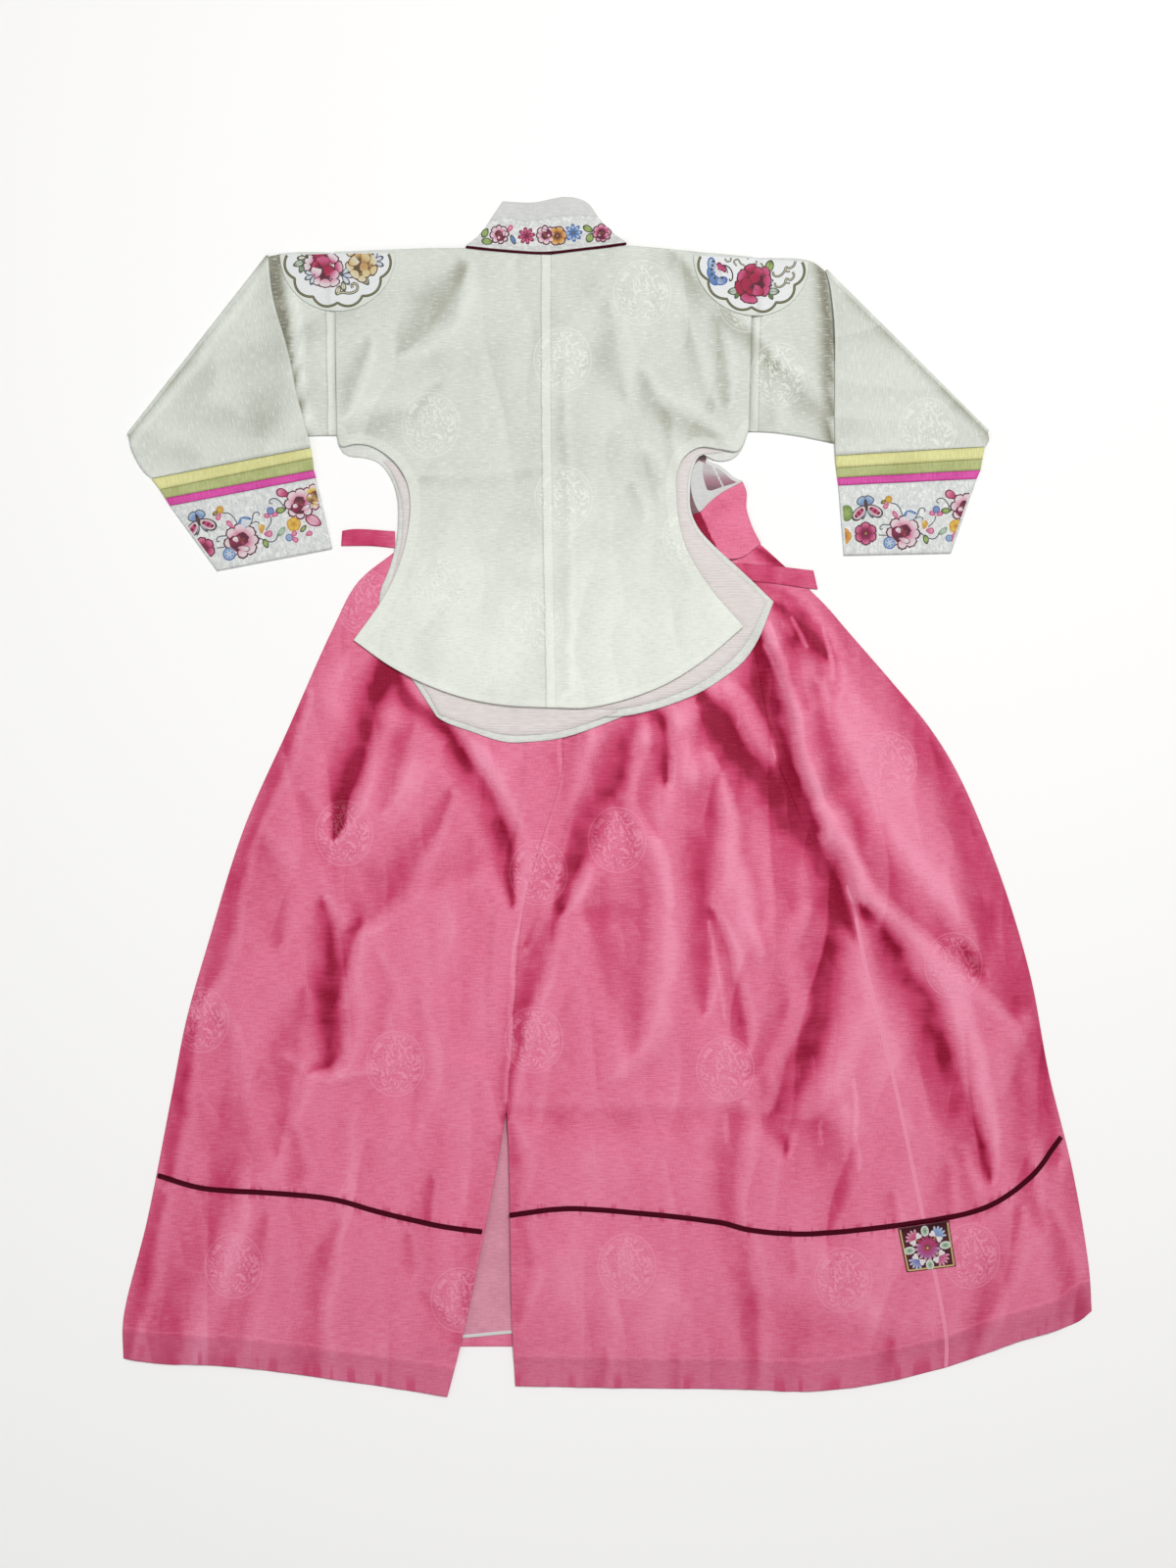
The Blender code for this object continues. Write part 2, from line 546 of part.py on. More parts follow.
def jacket_back(bed):
    folds = ridges(bed, [
        ([(78, 488), (118, 430), (150, 380)], 16, 3.0, 0.4),
        ([(112, 420), (108, 385), (100, 350)], 14, 2.0, 0.4),
        ([(-228, 420), (-236, 380), (-243, 350)], 14, 2.0, 0.4),
        ([(60, 350), (58, 325), (50, 300)], 14, 2.0, 0.4),
        ([(20, 285), (28, 265), (36, 245)], 14, 1.5, 0.4),
    ])
    field = bed.surface() + folds
    neck_left = shifted(NECK[:3], 0, -BACK_BELOW_NECK)
    neck_right = shifted(NECK[3:], 0, -BACK_BELOW_NECK)
    left = coons(side(([(-249, 498.5), (-161, 502), (-131, 502.2)], 6),
                      ([(-131, 502.2)] + neck_left[1:] + [(-51 - SEAM, 496.3)], 5)),
                 curve([(-231, 143), (-197, 119), (-161, 101), (-125, 89), (-89, 83), (-46 - SEAM, 81)], 11),
                 side((LEFT_SEAM, 7), (BACK_LEFT_SIDE, 13)),
                 curve(shifted(CENTRE_SEAM, -SEAM), 20))
    right = coons(side(([(-51 + SEAM, 496.3)] + neck_right[:-1] + [(20, 504.5)], 4),
                       ([(20, 504.5), (55, 501.5), (90, 498), (134, 494)], 7)),
                  curve([(-46 + SEAM, 81), (-17, 81), (19, 89), (55, 103), (91, 126), (125, 155)], 11),
                  curve(shifted(CENTRE_SEAM, SEAM), 20),
                  side((RIGHT_SEAM, 7), (BACK_RIGHT_SIDE, 13)))
    back_left = laid("back_left", bed, field, left, WALL, CREAM)
    back_right = laid("back_right", bed, field, right, WALL, CREAM)
    bed.take(back_left, back_right)


def collar(bed):
    """Patterned band over the neck seam, white strip on its upper edge, piping below."""
    field = bed.surface(SMALL_REACH, 6)
    lift = PIPING_NECK / 2 + GAP
    seam = [(-107, 528), (-89, 531), (-75, 527.5), (-53, 531), (-30, 533.5), (-8, 532)]
    piping = ribbon(NECK, PIPING_NECK, 18)
    bed_items = [laid("neck_piping", bed, field, piping, BRAID, MAROON)]
    band = coons(curve(shifted(seam, 0, -SEAM), 18), curve(shifted(NECK, 0, lift), 18),
                 curve([(-107, 528 - SEAM), (-116, 516), (-128, 503 + lift)], 3),
                 curve([(-8, 532 - SEAM), (3, 520), (18, 506 + lift)], 3))
    bed_items.append(laid("collar_band", bed, field, band, BRAID, WHITE))
    strip = coons(curve([(-95, 546), (-80, 545), (-66, 545), (-39, 550), (-17, 545.5)], 18),
                  curve(shifted(seam, 0, SEAM), 18),
                  curve([(-95, 546), (-107, 528 + SEAM)], 2),
                  curve([(-17, 545.5), (-8, 532 + SEAM)], 2))
    bed_items.append(laid("collar_white_strip", bed, field, strip, BRAID, WHITE))
    bed.take(*bed_items)


BADGE_RADIUS = 53.0


def shoulder_badges(bed):
    """Round badges over the shoulder line, of which the back half lies on top."""
    field = bed.surface(SMALL_REACH, 2)
    for name, centre, slope in (("shoulder_badge_left", (-246.0, 497.6), 0.006),
                                ("shoulder_badge_right", (133.0, 493.2), -0.05)):
        rim = []
        for turn in np.linspace(math.pi, 2 * math.pi, 21):
            rim.append((centre[0] + BADGE_RADIUS * math.cos(turn),
                        centre[1] + BADGE_RADIUS * (math.sin(turn) + slope * math.cos(turn))))
        rim = np.array(rim)
        top = curve([rim[0], rim[-1]], 10)
        grid = coons(top, rim[5:16], np.vstack([rim[:6]]), rim[15:][::-1])
        bed.take(laid(name, bed, field, grid, BRAID, BADGE))


# ================================================================ sleeves
class Sleeve:
    """A flattened sleeve turned back over itself along a slanting fold.

    Sections run from the top rail to the bottom rail.  The seam section and
    the fold section bound the half on the floor; the turned-back half runs on
    from the fold, over the first half, to the stripes and the cuff.
    """

    def __init__(self, root_top, root_bottom, over_top, over_bottom, edge_y, outward):
        self.root_top = root_top
        self.root_bottom = root_bottom
        self.over_top = over_top
        self.over_bottom = over_bottom
        self.edge_y = edge_y
        self.outward = np.array(outward, float) / np.linalg.norm(outward)

    def base(self, y):
        """Height under the turned-back half: on the first half, then the floor."""
        return (TUBE + 2 * LINK) * (1 - smoothstep((self.edge_y - STEP_START - y) / STEP_WIDTH))


def tube_loop(cells):
    """(share across, bulge outwards, height) points of a flattened tube's skins."""
    shares = np.linspace(0, 1, cells + 1)
    outer = ([(s, 0.0, 0.0) for s in shares] + [(1.0, EDGE_ROUND, TUBE / 2)]
             + [(s, 0.0, TUBE) for s in shares[::-1]] + [(0.0, -EDGE_ROUND, TUBE / 2)])
    low = TUBE_WALL
    high = TUBE - TUBE_WALL
    inside = []
    for s, bulge, height in outer:
        inset = (1 - 2 * s) * 0.6
        level = TUBE / 2 if bulge else (low if height == 0 else high)
        inside.append((s, inset if not bulge else inset * 0.1, level))
    return outer, inside


def tube(name, sections, colour, cells=7, curl=None):
    """A flattened, open-ended tube through sections.

    A section is (top point, bottom point, place), where place turns a plan
    point and a height inside the tube into a point in space.
    """
    outer, inside = tube_loop(cells)
    rings = []
    for index, (top, bottom, place) in enumerate(sections):
        top = np.asarray(top, float)
        bottom = np.asarray(bottom, float)
        length = np.linalg.norm(bottom - top)
        along = (bottom - top) / length
        lift = 0.0 if curl is None else curl[index]
        for loop in (outer, inside):
            ring = []
            for share, bulge, height in loop:
                plan = top + (bottom - top) * share + along * bulge
                x, y, z = place(plan, height)
                z += lift * max(0.0, 1 - share * length / CURL_WIDTH) ** 2
                ring.append((x, y, z))
            rings.append(ring)
    size = len(outer)
    vertices = [point for ring in rings for point in ring]
    faces = []
    last = len(sections) - 1
    for i in range(last):
        for k in range(size):
            n = (k + 1) % size
            a = 2 * i * size
            b = 2 * (i + 1) * size
            faces.append((a + k, a + n, b + n, b + k))
            faces.append((a + size + n, a + size + k, b + size + k, b + size + n))
    for a, flip in ((0, False), (2 * last * size, True)):
        for k in range(size):
            n = (k + 1) % size
            ring = (a + n, a + k, a + size + k, a + size + n)
            faces.append(tuple(reversed(ring)) if flip else ring)
    return solid(name, vertices, faces, colour)


def on_floor(plan, height):
    return plan[0], plan[1], height


def sleeve_body(name, sleeve):
    """The cream part: root half, roll at the fold, turned-back half."""
    sections = []
    top = curve(sleeve.root_top, 6)
    bottom = curve(sleeve.root_bottom, 6)
    sections += [(t, b, on_floor) for t, b in zip(top, bottom)]
    fold_height = TUBE + LINK
    for step in range(1, ROLL_STEPS):
        angle = -math.pi / 2 + math.pi * step / ROLL_STEPS

        def rolled(plan, height, angle=angle):
            radius = fold_height - height
            moved = plan + sleeve.outward * radius * math.cos(angle)
            return moved[0], moved[1], fold_height + radius * math.sin(angle)
        sections.append((top[-1], bottom[-1], rolled))

    def turned(plan, height):
        return plan[0], plan[1], sleeve.base(plan[1]) + TUBE - height
    over_top = curve(sleeve.over_top, 11)
    over_bottom = curve(sleeve.over_bottom, 11)
    sections += [(t, b, turned) for t, b in zip(over_top, over_bottom)]
    plain = len(sections) - len(over_top)
    curl = [0.0] * plain + [CURL * math.sin(math.pi * min(1.0, i / 6)) for i in range(len(over_top))]
    return tube(name, sections, CREAM, curl=curl)


def sleeve_band(name, sleeve, start, end, cells, colour):
    """A band of the turned-back half between two sections, each (top, bottom)."""
    def turned(plan, height):
        return plan[0], plan[1], sleeve.base(plan[1]) + TUBE - height
    start = np.asarray(start, float)
    end = np.asarray(end, float)
    run = end - start
    step = run / np.linalg.norm(run, axis=1)[:, None] * SEAM
    marks = np.linspace(0, 1, cells + 1)[:, None, None]
    rails = (start + step) * (1 - marks) + (end - step) * marks
    return tube(name, [(rail[0], rail[1], turned) for rail in rails], colour)


SLEEVE_LEFT = Sleeve(
    root_top=[(-249.3, 498.0), (-290, 498.2), (-310, 494.5)],
    root_bottom=[(-246.8, 332), (-340, 331), (-437, 332)],
    over_top=[(-310, 494.5), (-309, 481), (-304.7, 452), (-295.7, 421), (-290, 398), (-284, 367),
              (-277.7, 344), (-274, 330), (-271.6, 319.4)],
    over_bottom=[(-437, 332), (-433.5, 317.5), (-424, 299), (-416.2, 291.8)],
    edge_y=329.0, outward=(-162.5, 127.0))
SLEEVE_RIGHT = Sleeve(
    root_top=[(134.4, 493.5), (187, 490.5), (201.5, 481)],
    root_bottom=[(130.9, 335.5), (150, 335), (170, 332.5), (190, 329), (212, 324.5), (280, 326), (349, 334)],
    over_top=[(201.5, 481), (204.8, 470), (208, 445), (209.5, 425), (210, 380), (210, 345),
              (210.5, 326), (211, 312.3)],
    over_bottom=[(349, 334), (350, 327), (346.2, 320.3)],
    edge_y=323.0, outward=(147.0, 147.5))

# Sections that bound the bands of each sleeve: (top point, bottom point).
BANDS_LEFT = [((-271.5, 319), (-416, 291.5)), ((-270, 310), (-408.5, 281.5)),
              ((-269, 299), (-403.5, 273.5)), ((-267, 292), (-399, 266.5)), ((-252, 227), (-356, 207))]
BANDS_RIGHT = [((211, 312), (346, 320)), ((212, 301), (344, 309)), ((213, 292), (342.5, 299)),
               ((214, 285), (339, 291)), ((219, 221), (315.5, 223))]
BANDS = [("stripe_yellow", 1, YELLOW), ("stripe_green", 1, GREEN), ("stripe_magenta", 1, MAGENTA),
         ("cuff", 5, WHITE)]


def sleeves(bed):
    for mark, sleeve, lines in (("left", SLEEVE_LEFT, BANDS_LEFT), ("right", SLEEVE_RIGHT, BANDS_RIGHT)):
        bed.take(sleeve_body(f"sleeve_{mark}", sleeve))
        for (name, cells, colour), start, end in zip(BANDS, lines[:-1], lines[1:]):
            sleeve_band(f"{name}_{mark}", sleeve, start, end, cells, colour)


# ================================================================ the whole
def main():
    for item in list(bpy.data.objects):
        bpy.data.objects.remove(item, do_unlink=True)
    bed = Bed()
    skirt_front(bed)
    bodice_front(bed)
    slit_lining(bed)
    bodice_back(bed)
    skirt_back(bed)
    skirt_trim(bed)
    waist_ties(bed)
    jacket_fronts(bed)
    jacket_back(bed)
    collar(bed)
    sleeves(bed)
    shoulder_badges(bed)


main()
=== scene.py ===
"""A girl's ceremonial hanbok laid flat, back side up: cloth, needlework, trimmings and stage.

Every sheet is a thin closed shell laid on a bed that remembers how high the pile
already stands.  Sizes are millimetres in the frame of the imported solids.
"""

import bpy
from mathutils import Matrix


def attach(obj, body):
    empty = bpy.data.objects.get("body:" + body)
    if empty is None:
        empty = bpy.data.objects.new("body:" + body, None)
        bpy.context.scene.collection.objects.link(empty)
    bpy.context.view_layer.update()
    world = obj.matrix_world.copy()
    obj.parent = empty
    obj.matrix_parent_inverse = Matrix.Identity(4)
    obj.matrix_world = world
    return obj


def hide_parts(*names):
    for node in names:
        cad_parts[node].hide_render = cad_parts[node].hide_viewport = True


bl_info = {
    "name": "Hanbok dresser",
    "version": (1, 0, 0),
    "blender": (4, 5, 0),
    "location": "3D View > Sidebar > Hanbok",
    "description": "Dresses the laid-out jacket and skirt in silk, piping and needlework",
    "category": "Object",
}

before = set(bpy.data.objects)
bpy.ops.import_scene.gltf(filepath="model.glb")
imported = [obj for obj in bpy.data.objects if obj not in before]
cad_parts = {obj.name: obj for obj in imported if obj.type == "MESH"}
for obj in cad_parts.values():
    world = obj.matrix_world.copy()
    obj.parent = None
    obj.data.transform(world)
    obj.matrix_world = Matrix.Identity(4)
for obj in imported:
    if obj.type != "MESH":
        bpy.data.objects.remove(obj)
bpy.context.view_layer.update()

import math

import bmesh
import bpy
import numpy as np
from mathutils import Vector, noise
from mathutils.bvhtree import BVHTree

MM = 0.001
BODY = "root"
CLOTH = "_cloth"     # ending of the names of the pieces that stand for a solid

# ---------------------------------------------------------------- laying the cloth
GAP = 0.3            # air between two layers, and between two seamed pieces
CELL = 2.5           # spacing of the remembered heights
BED_HALF_X = 480.0
BED_HALF_Y = 582.0
REACH = 7.0          # how far a layer keeps off an edge below it before falling
SETTLE = 14          # smoothing passes of a laid layer
WALL = 0.9           # jacket and skirt cloth
THIN = 0.45          # linings, facings, ties
BRAID = 0.8          # collar band and badges
TUCK = 2.0           # first point inside an edge, where the wall turns down
ROLL = 14.0          # the skirt's sides roll down to the floor over this width
SEAM = GAP / 2
WAVER = 3.2          # how far the painted folds stray from their knots
SATIN = 0.8          # the skirt's back
TIE = 0.7            # straps and waist ties
FAR = 999.0          # attribute of a point that has no such edge near it
NO_RING = 9.0        # the same for a point outside the medallions
DROP = 1.0           # height in metres from which rays fall on the pile
DOWN = Vector((0, 0, -1))
SHORTEST = 0.0101    # least side of a sheet's measured size, in metres; a declared sheet has no side under this, in metres
TONE = 0.6           # lightness of cloth that has no folds of its own

# ---------------------------------------------------------------- sleeves
LINK = 0.2           # air above and below the half that is turned over
TUBE_AIR = 0.4       # air inside a flattened sleeve
TUBE_WALL = 0.9
TUBE = 2 * TUBE_WALL + TUBE_AIR
EDGE_ROUND = 0.9     # how far a flattened edge bulges
ROLL_STEPS = 10      # sections round the fold
OVER_STEPS = 36      # sections of the half that is turned over
STEP_START = 8.0     # the turned half steps down to the floor from here, over the width
STEP_WIDTH = 25.0
CURL = 5.0           # the turned half's inner edge lifts this much, over the width
CURL_WIDTH = 26.0
CURL_END = 0.545     # share of the turned half's length over which it lifts


def tint(red, green, blue):
    """A colour named by its 0-255 display values, as the linear values of a shader."""
    return tuple(((c / 255 + 0.055) / 1.055) ** 2.4 if c > 10 else c / 255 / 12.92
                 for c in (red, green, blue))


# ================================================================ curves and sheets
def heading(angle):
    """Cosine and sine of an angle in degrees."""
    return math.cos(math.radians(angle)), math.sin(math.radians(angle))


def smoothstep(value):
    value = np.clip(value, 0, 1)
    return value * value * (3 - 2 * value)


def dense_curve(knots, steps=12):
    """A smooth line through the knots, as many close points."""
    knots = np.asarray(knots, float)
    if len(knots) == 2:
        return knots
    chord = np.sqrt(np.linalg.norm(np.diff(knots, axis=0), axis=1))
    slope = np.zeros_like(knots)
    slope[0] = (knots[1] - knots[0]) / chord[0]
    slope[-1] = (knots[-1] - knots[-2]) / chord[-1]
    share = (chord[1:] / (chord[1:] + chord[:-1]))[:, None]
    rise = np.diff(knots, axis=0) / chord[:, None]
    slope[1:-1] = rise[:-1] * share + rise[1:] * (1 - share)
    t = np.linspace(0, 1, steps + 1)[:-1, None]
    pieces = []
    for i, span in enumerate(chord):
        pieces.append((2 * t**3 - 3 * t**2 + 1) * knots[i]
                      + (t**3 - 2 * t**2 + t) * span * slope[i]
                      + (3 * t**2 - 2 * t**3) * knots[i + 1]
                      + (t**3 - t**2) * span * slope[i + 1])
    return np.vstack(pieces + [knots[-1:]])


def running(points):
    """Distance walked along a row of points."""
    return np.concatenate([[0.0], np.cumsum(np.linalg.norm(np.diff(points, axis=0), axis=1))])


def curve(knots, cells):
    """Even points along a smooth line through the knots."""
    line = dense_curve(knots)
    length = running(line)
    marks = np.linspace(0.0, length[-1], cells + 1)
    return np.column_stack([np.interp(marks, length, line[:, axis]) for axis in range(line.shape[1])])


def edge(runs, cells):
    """Points of one side, which is one run of knots or several that meet in corners."""
    if not isinstance(runs[0], list):
        return curve(runs, cells)
    lengths = np.array([running(dense_curve(run))[-1] for run in runs])
    counts = np.maximum(1, np.round(cells * lengths / lengths.sum())).astype(int)
    counts[-1] = cells - counts[:-1].sum()
    rows = [curve(run, count) for run, count in zip(runs, counts)]
    return np.vstack([rows[0]] + [row[1:] for row in rows[1:]])


def coons(top, bottom, left, right):
    """Fill four sides with a grid of points: rows run from top to bottom."""
    u = (running(top) / running(top)[-1] + running(bottom) / running(bottom)[-1]) / 2
    v = (running(left) / running(left)[-1] + running(right) / running(right)[-1]) / 2
    u = u[None, :, None]
    v = v[:, None, None]
    corners = ((1 - u) * (1 - v) * top[0] + u * (1 - v) * top[-1]
               + (1 - u) * v * bottom[0] + u * v * bottom[-1])
    return (1 - v) * top[None] + v * bottom[None] + (1 - u) * left[:, None] + u * right[:, None] - corners


def evened(grid, turns):
    """The same sides with an inside that folds over none of them (Winslow's smoothing)."""
    for _ in range(turns):
        across = (grid[1:-1, 2:] - grid[1:-1, :-2]) / 2
        down = (grid[2:, 1:-1] - grid[:-2, 1:-1]) / 2
        a, b, c = ((one * other).sum(axis=-1, keepdims=True)
                   for one, other in ((down, down), (across, down), (across, across)))
        twist = grid[2:, 2:] - grid[2:, :-2] - grid[:-2, 2:] + grid[:-2, :-2]
        grid[1:-1, 1:-1] = (a * (grid[1:-1, 2:] + grid[1:-1, :-2]) + c * (grid[2:, 1:-1] + grid[:-2, 1:-1])
                            - b / 2 * twist) / (2 * (a + c))
    return grid


def panel(top, bottom, left, right, columns, rows, turns=0):
    """A sheet's grid from its four sides, with close points just inside each edge.

    A left or right side given as None runs straight from corner to corner."""
    left = [top[0], bottom[0]] if left is None else left
    right = [top[-1], bottom[-1]] if right is None else right
    sides = [edge(top, columns), edge(bottom, columns), edge(left, rows), edge(right, rows)]
    grid = evened(coons(*sides), turns)
    for axis in (0, 1):
        grid = np.swapaxes(grid, 0, 1) if axis else grid
        first = grid[1] - grid[0]
        last = grid[-2] - grid[-1]
        first *= np.minimum(0.5, TUCK / np.linalg.norm(first, axis=1))[:, None]
        last *= np.minimum(0.5, TUCK / np.linalg.norm(last, axis=1))[:, None]
        grid = np.concatenate([grid[:1], (grid[0] + first)[None], grid[1:-1],
                               (grid[-1] + last)[None], grid[-1:]])
        grid = np.swapaxes(grid, 0, 1) if axis else grid
    return grid


def between(field, row, column):
    """Values of a grid at places between its rows and columns."""
    row = np.clip(row, 0, field.shape[0] - 1.001)
    column = np.clip(column, 0, field.shape[1] - 1.001)
    j = row.astype(int)
    i = column.astype(int)
    a = column - i
    b = row - j
    if field.ndim == 3:
        a, b = a[..., None], b[..., None]
    return ((1 - a) * (1 - b) * field[j, i] + a * (1 - b) * field[j, i + 1]
            + (1 - a) * b * field[j + 1, i] + a * b * field[j + 1, i + 1])


def inner(grid, left, right, top, bottom, columns, rows):
    """A grid inside a grid, its sides moved in by millimetres."""
    across = np.linalg.norm(np.diff(grid, axis=1), axis=2).sum(axis=1)
    down = np.linalg.norm(np.diff(grid, axis=0), axis=2).sum(axis=0)
    r_count, c_count = grid.shape[:2]
    q, p = np.meshgrid(np.linspace(0, 1, rows + 1), np.linspace(0, 1, columns + 1), indexing="ij")
    width = np.interp(q * (r_count - 1), np.arange(r_count), across)
    height = np.interp(p * (c_count - 1), np.arange(c_count), down)
    u = (left / width + p * (1 - (left + right) / width)) * (c_count - 1)
    v = (top / height + q * (1 - (top + bottom) / height)) * (r_count - 1)
    return between(grid, v, u)


def shifted(knots, dx=0.0, dy=0.0):
    return [(x + dx, y + dy) for x, y in knots]


def nearest(points, line):
    """Distance of (..., 2) points from a line of close points, their run along it and their side."""
    flat = points.reshape(-1, 2)
    best, along, side = np.full(len(flat), 1e9), np.zeros(len(flat)), np.zeros(len(flat))
    for start, a, b in zip(running(line), line[:-1], line[1:]):
        d = b - a
        t = np.clip(((flat - a) @ d) / max(d @ d, 1e-9), 0, 1)
        gap = flat - a - t[:, None] * d
        far = np.hypot(*gap.T)
        nearer = far < best
        best[nearer] = far[nearer]
        along[nearer] = start + t[nearer] * math.hypot(*d)
        side[nearer] = np.sign(d[0] * gap[nearer, 1] - d[1] * gap[nearer, 0])
    return [values.reshape(points.shape[:-1]) for values in (best, along, side)]


def away(points, line):
    """Distance of (..., 2) points from a line of knots."""
    return nearest(points, dense_curve(line, 6))[0]


# ================================================================ the bed
def neighbours(field):
    padded = np.pad(field, 1, mode="edge")
    return padded[:-2, 1:-1], padded[2:, 1:-1], padded[1:-1, :-2], padded[1:-1, 2:]


def spread(field):
    return np.maximum.reduce((field,) + neighbours(field))


def blur(field, passes=1):
    for _ in range(passes):
        north, south, west, east = neighbours(field)
        field = (2 * field + north + south + west + east) / 6
    return field


class Bed:
    """Top heights of everything laid so far, on a square grid."""

    def __init__(self):
        self.x = np.arange(-BED_HALF_X, BED_HALF_X + CELL, CELL)
        self.y = np.arange(-BED_HALF_Y, BED_HALF_Y + CELL, CELL)
        self.top = np.zeros((len(self.y), len(self.x)))
        self.sway = self.fleck = None

    def window(self, low, high):
        """Rows and columns of the grid between two corners."""
        return (np.nonzero((self.y >= low[1]) & (self.y <= high[1]))[0],
                np.nonzero((self.x >= low[0]) & (self.x <= high[0]))[0])

    def take(self, *pieces):
        """Remember the height of finished pieces by dropping rays on them."""
        for piece in pieces:
            mesh = piece.data
            points = np.array([v.co for v in mesh.vertices]) / MM
            tree = BVHTree.FromPolygons([v.co for v in mesh.vertices],
                                        [p.vertices for p in mesh.polygons])
            rows, columns = self.window(points.min(axis=0), points.max(axis=0))
            for row in rows:
                for column in columns:
                    hit = tree.ray_cast(Vector((self.x[column] * MM, self.y[row] * MM, DROP)), DOWN)[0]
                    if hit is not None:
                        self.top[row, column] = max(self.top[row, column], hit.z / MM)

    def floor(self):
        return np.zeros_like(self.top)

    def surface(self, reach=REACH, settle=SETTLE):
        """The height at which the underside of a next layer comes to lie."""
        high = np.where(self.top > 0, self.top + GAP, 0.0)
        for _ in range(int(math.ceil(reach / CELL))):
            high = spread(high)
        calm = high
        for _ in range(settle):
            calm = np.maximum(high, blur(calm))
        return calm

    def sample(self, field, points):
        """Heights of a field at (..., 2) points."""
        return between(field, (points[..., 1] - self.y[0]) / CELL, (points[..., 0] - self.x[0]) / CELL)

    def ridges(self, table):
        """Soft folds: rows of (knots of the crest, half width, height, fade of both ends)."""
        total = np.zeros_like(self.top)
        for knots, width, height, fade in table:
            line = curve(knots, 40)
            run = np.linspace(0, 1, len(line))
            swell = np.minimum(smoothstep(run / fade), smoothstep((1 - run) / fade))
            rows, columns = self.window(line.min(axis=0) - 3 * width, line.max(axis=0) + 3 * width)
            grid_x, grid_y = np.meshgrid(self.x[columns], self.y[rows])
            crest = np.zeros_like(grid_x)
            for (x, y), share in zip(line, swell):
                far = ((grid_x - x) ** 2 + (grid_y - y) ** 2) / width**2
                crest = np.maximum(crest, height * share * np.exp(-far))
            block = np.ix_(rows, columns)
            total[block] = np.maximum(total[block], crest)
        return total

    def plan(self):
        return np.stack(np.meshgrid(self.x, self.y), axis=-1)

    def marks(self, table, points, soft=1.0):
        """Depth of soft strokes at (..., 2) points, and a painted highlight along their crisp right-hand
        sides.

        The table's rows are (strength, knots of x, y, half width)."""
        # The depth sinks cloth where a height field is built from it and is painted as shade where a tone
        # is.
        if self.sway is None:
            self.sway = self.ripple(30, 2 * WAVER, 61) + self.ripple(11, 0.8 * WAVER, 62) - 1.4 * WAVER
            self.fleck = 0.75 + self.ripple(16, 0.5, 63)
        flat = points.reshape(-1, 2)
        bent = flat + np.column_stack([self.sample(self.sway, flat), np.zeros(len(flat))])
        fleck = self.sample(self.fleck, flat)
        rest, painted_glint = np.ones(len(flat)), np.zeros(len(flat))
        for strength, knots in table:
            line = dense_curve(knots, 8)
            reach = 2.6 * line[:, 2].max() + 2 * WAVER
            low = line.min(axis=0)[:2] - reach
            high = line.max(axis=0)[:2] + reach
            near = np.nonzero(np.all((flat >= low) & (flat <= high), axis=1))[0]
            best, crisp = np.full(len(near), 1e9), np.zeros(len(near), bool)
            for a, b in zip(line[:-1], line[1:]):
                d = b - a
                off = bent[near] - a[:2]
                t = np.clip((off @ d[:2]) / (d[0] ** 2 + d[1] ** 2), 0, 1)
                width = np.maximum(1.0, a[2] + t * d[2])
                right = d[0] * off[:, 1] - d[1] * off[:, 0] > 0
                far = np.hypot(*(off - t[:, None] * d[:2]).T) / np.where(
                    right, 0.6 * width + 1.2 * soft, (0.6 + 0.9 * soft) * width + 2.5 * soft)
                nearer = far < best
                best[nearer] = far[nearer]
                crisp[nearer] = right[nearer]
            stroke = strength * fleck[near] * (1 - smoothstep((best - 0.1) / 1.65))
            rest[near] *= 1 - np.minimum(0.98, stroke)
            # Painted highlight just beyond the crisp side of each stroke.
            painted_glint[near] = np.maximum(painted_glint[near], strength * crisp * np.exp(-((best - 2.4) / 0.7) ** 2))
        return (1 - rest).reshape(points.shape[:-1]), painted_glint.reshape(points.shape[:-1])

    def ripple(self, spacing, height, seed):
        """Gentle unevenness of laid cloth, never below nothing."""
        offset = Vector((seed * 13.7, seed * 7.1, seed * 3.3))
        coarse_x = self.x[::3]
        coarse_y = self.y[::3]
        values = np.array([[noise.noise(Vector((x / spacing, y / spacing, 0)) + offset)
                            for x in coarse_x] for y in coarse_y])
        rows = np.array([np.interp(self.x, coarse_x, row) for row in values])
        full = np.array([np.interp(self.y, coarse_y, column) for column in rows.T]).T
        return height * (0.5 + 0.5 * full)


# ================================================================ shader writing
class Wire:
    """A number inside a shader; + - * add Math nodes."""

    def __init__(self, paint, socket):
        self.paint = paint
        self.socket = socket

    def _with(self, operation, *others):
        return self.paint.math(operation, self, *others)

    def __add__(self, other):
        return self._with("ADD", other)

    __radd__ = __add__

    def __mul__(self, other):
        return self._with("MULTIPLY", other)

    __rmul__ = __mul__

    def __sub__(self, other):
        return self._with("SUBTRACT", other)

    def __rsub__(self, other):
        return self.paint.math("SUBTRACT", other, self)


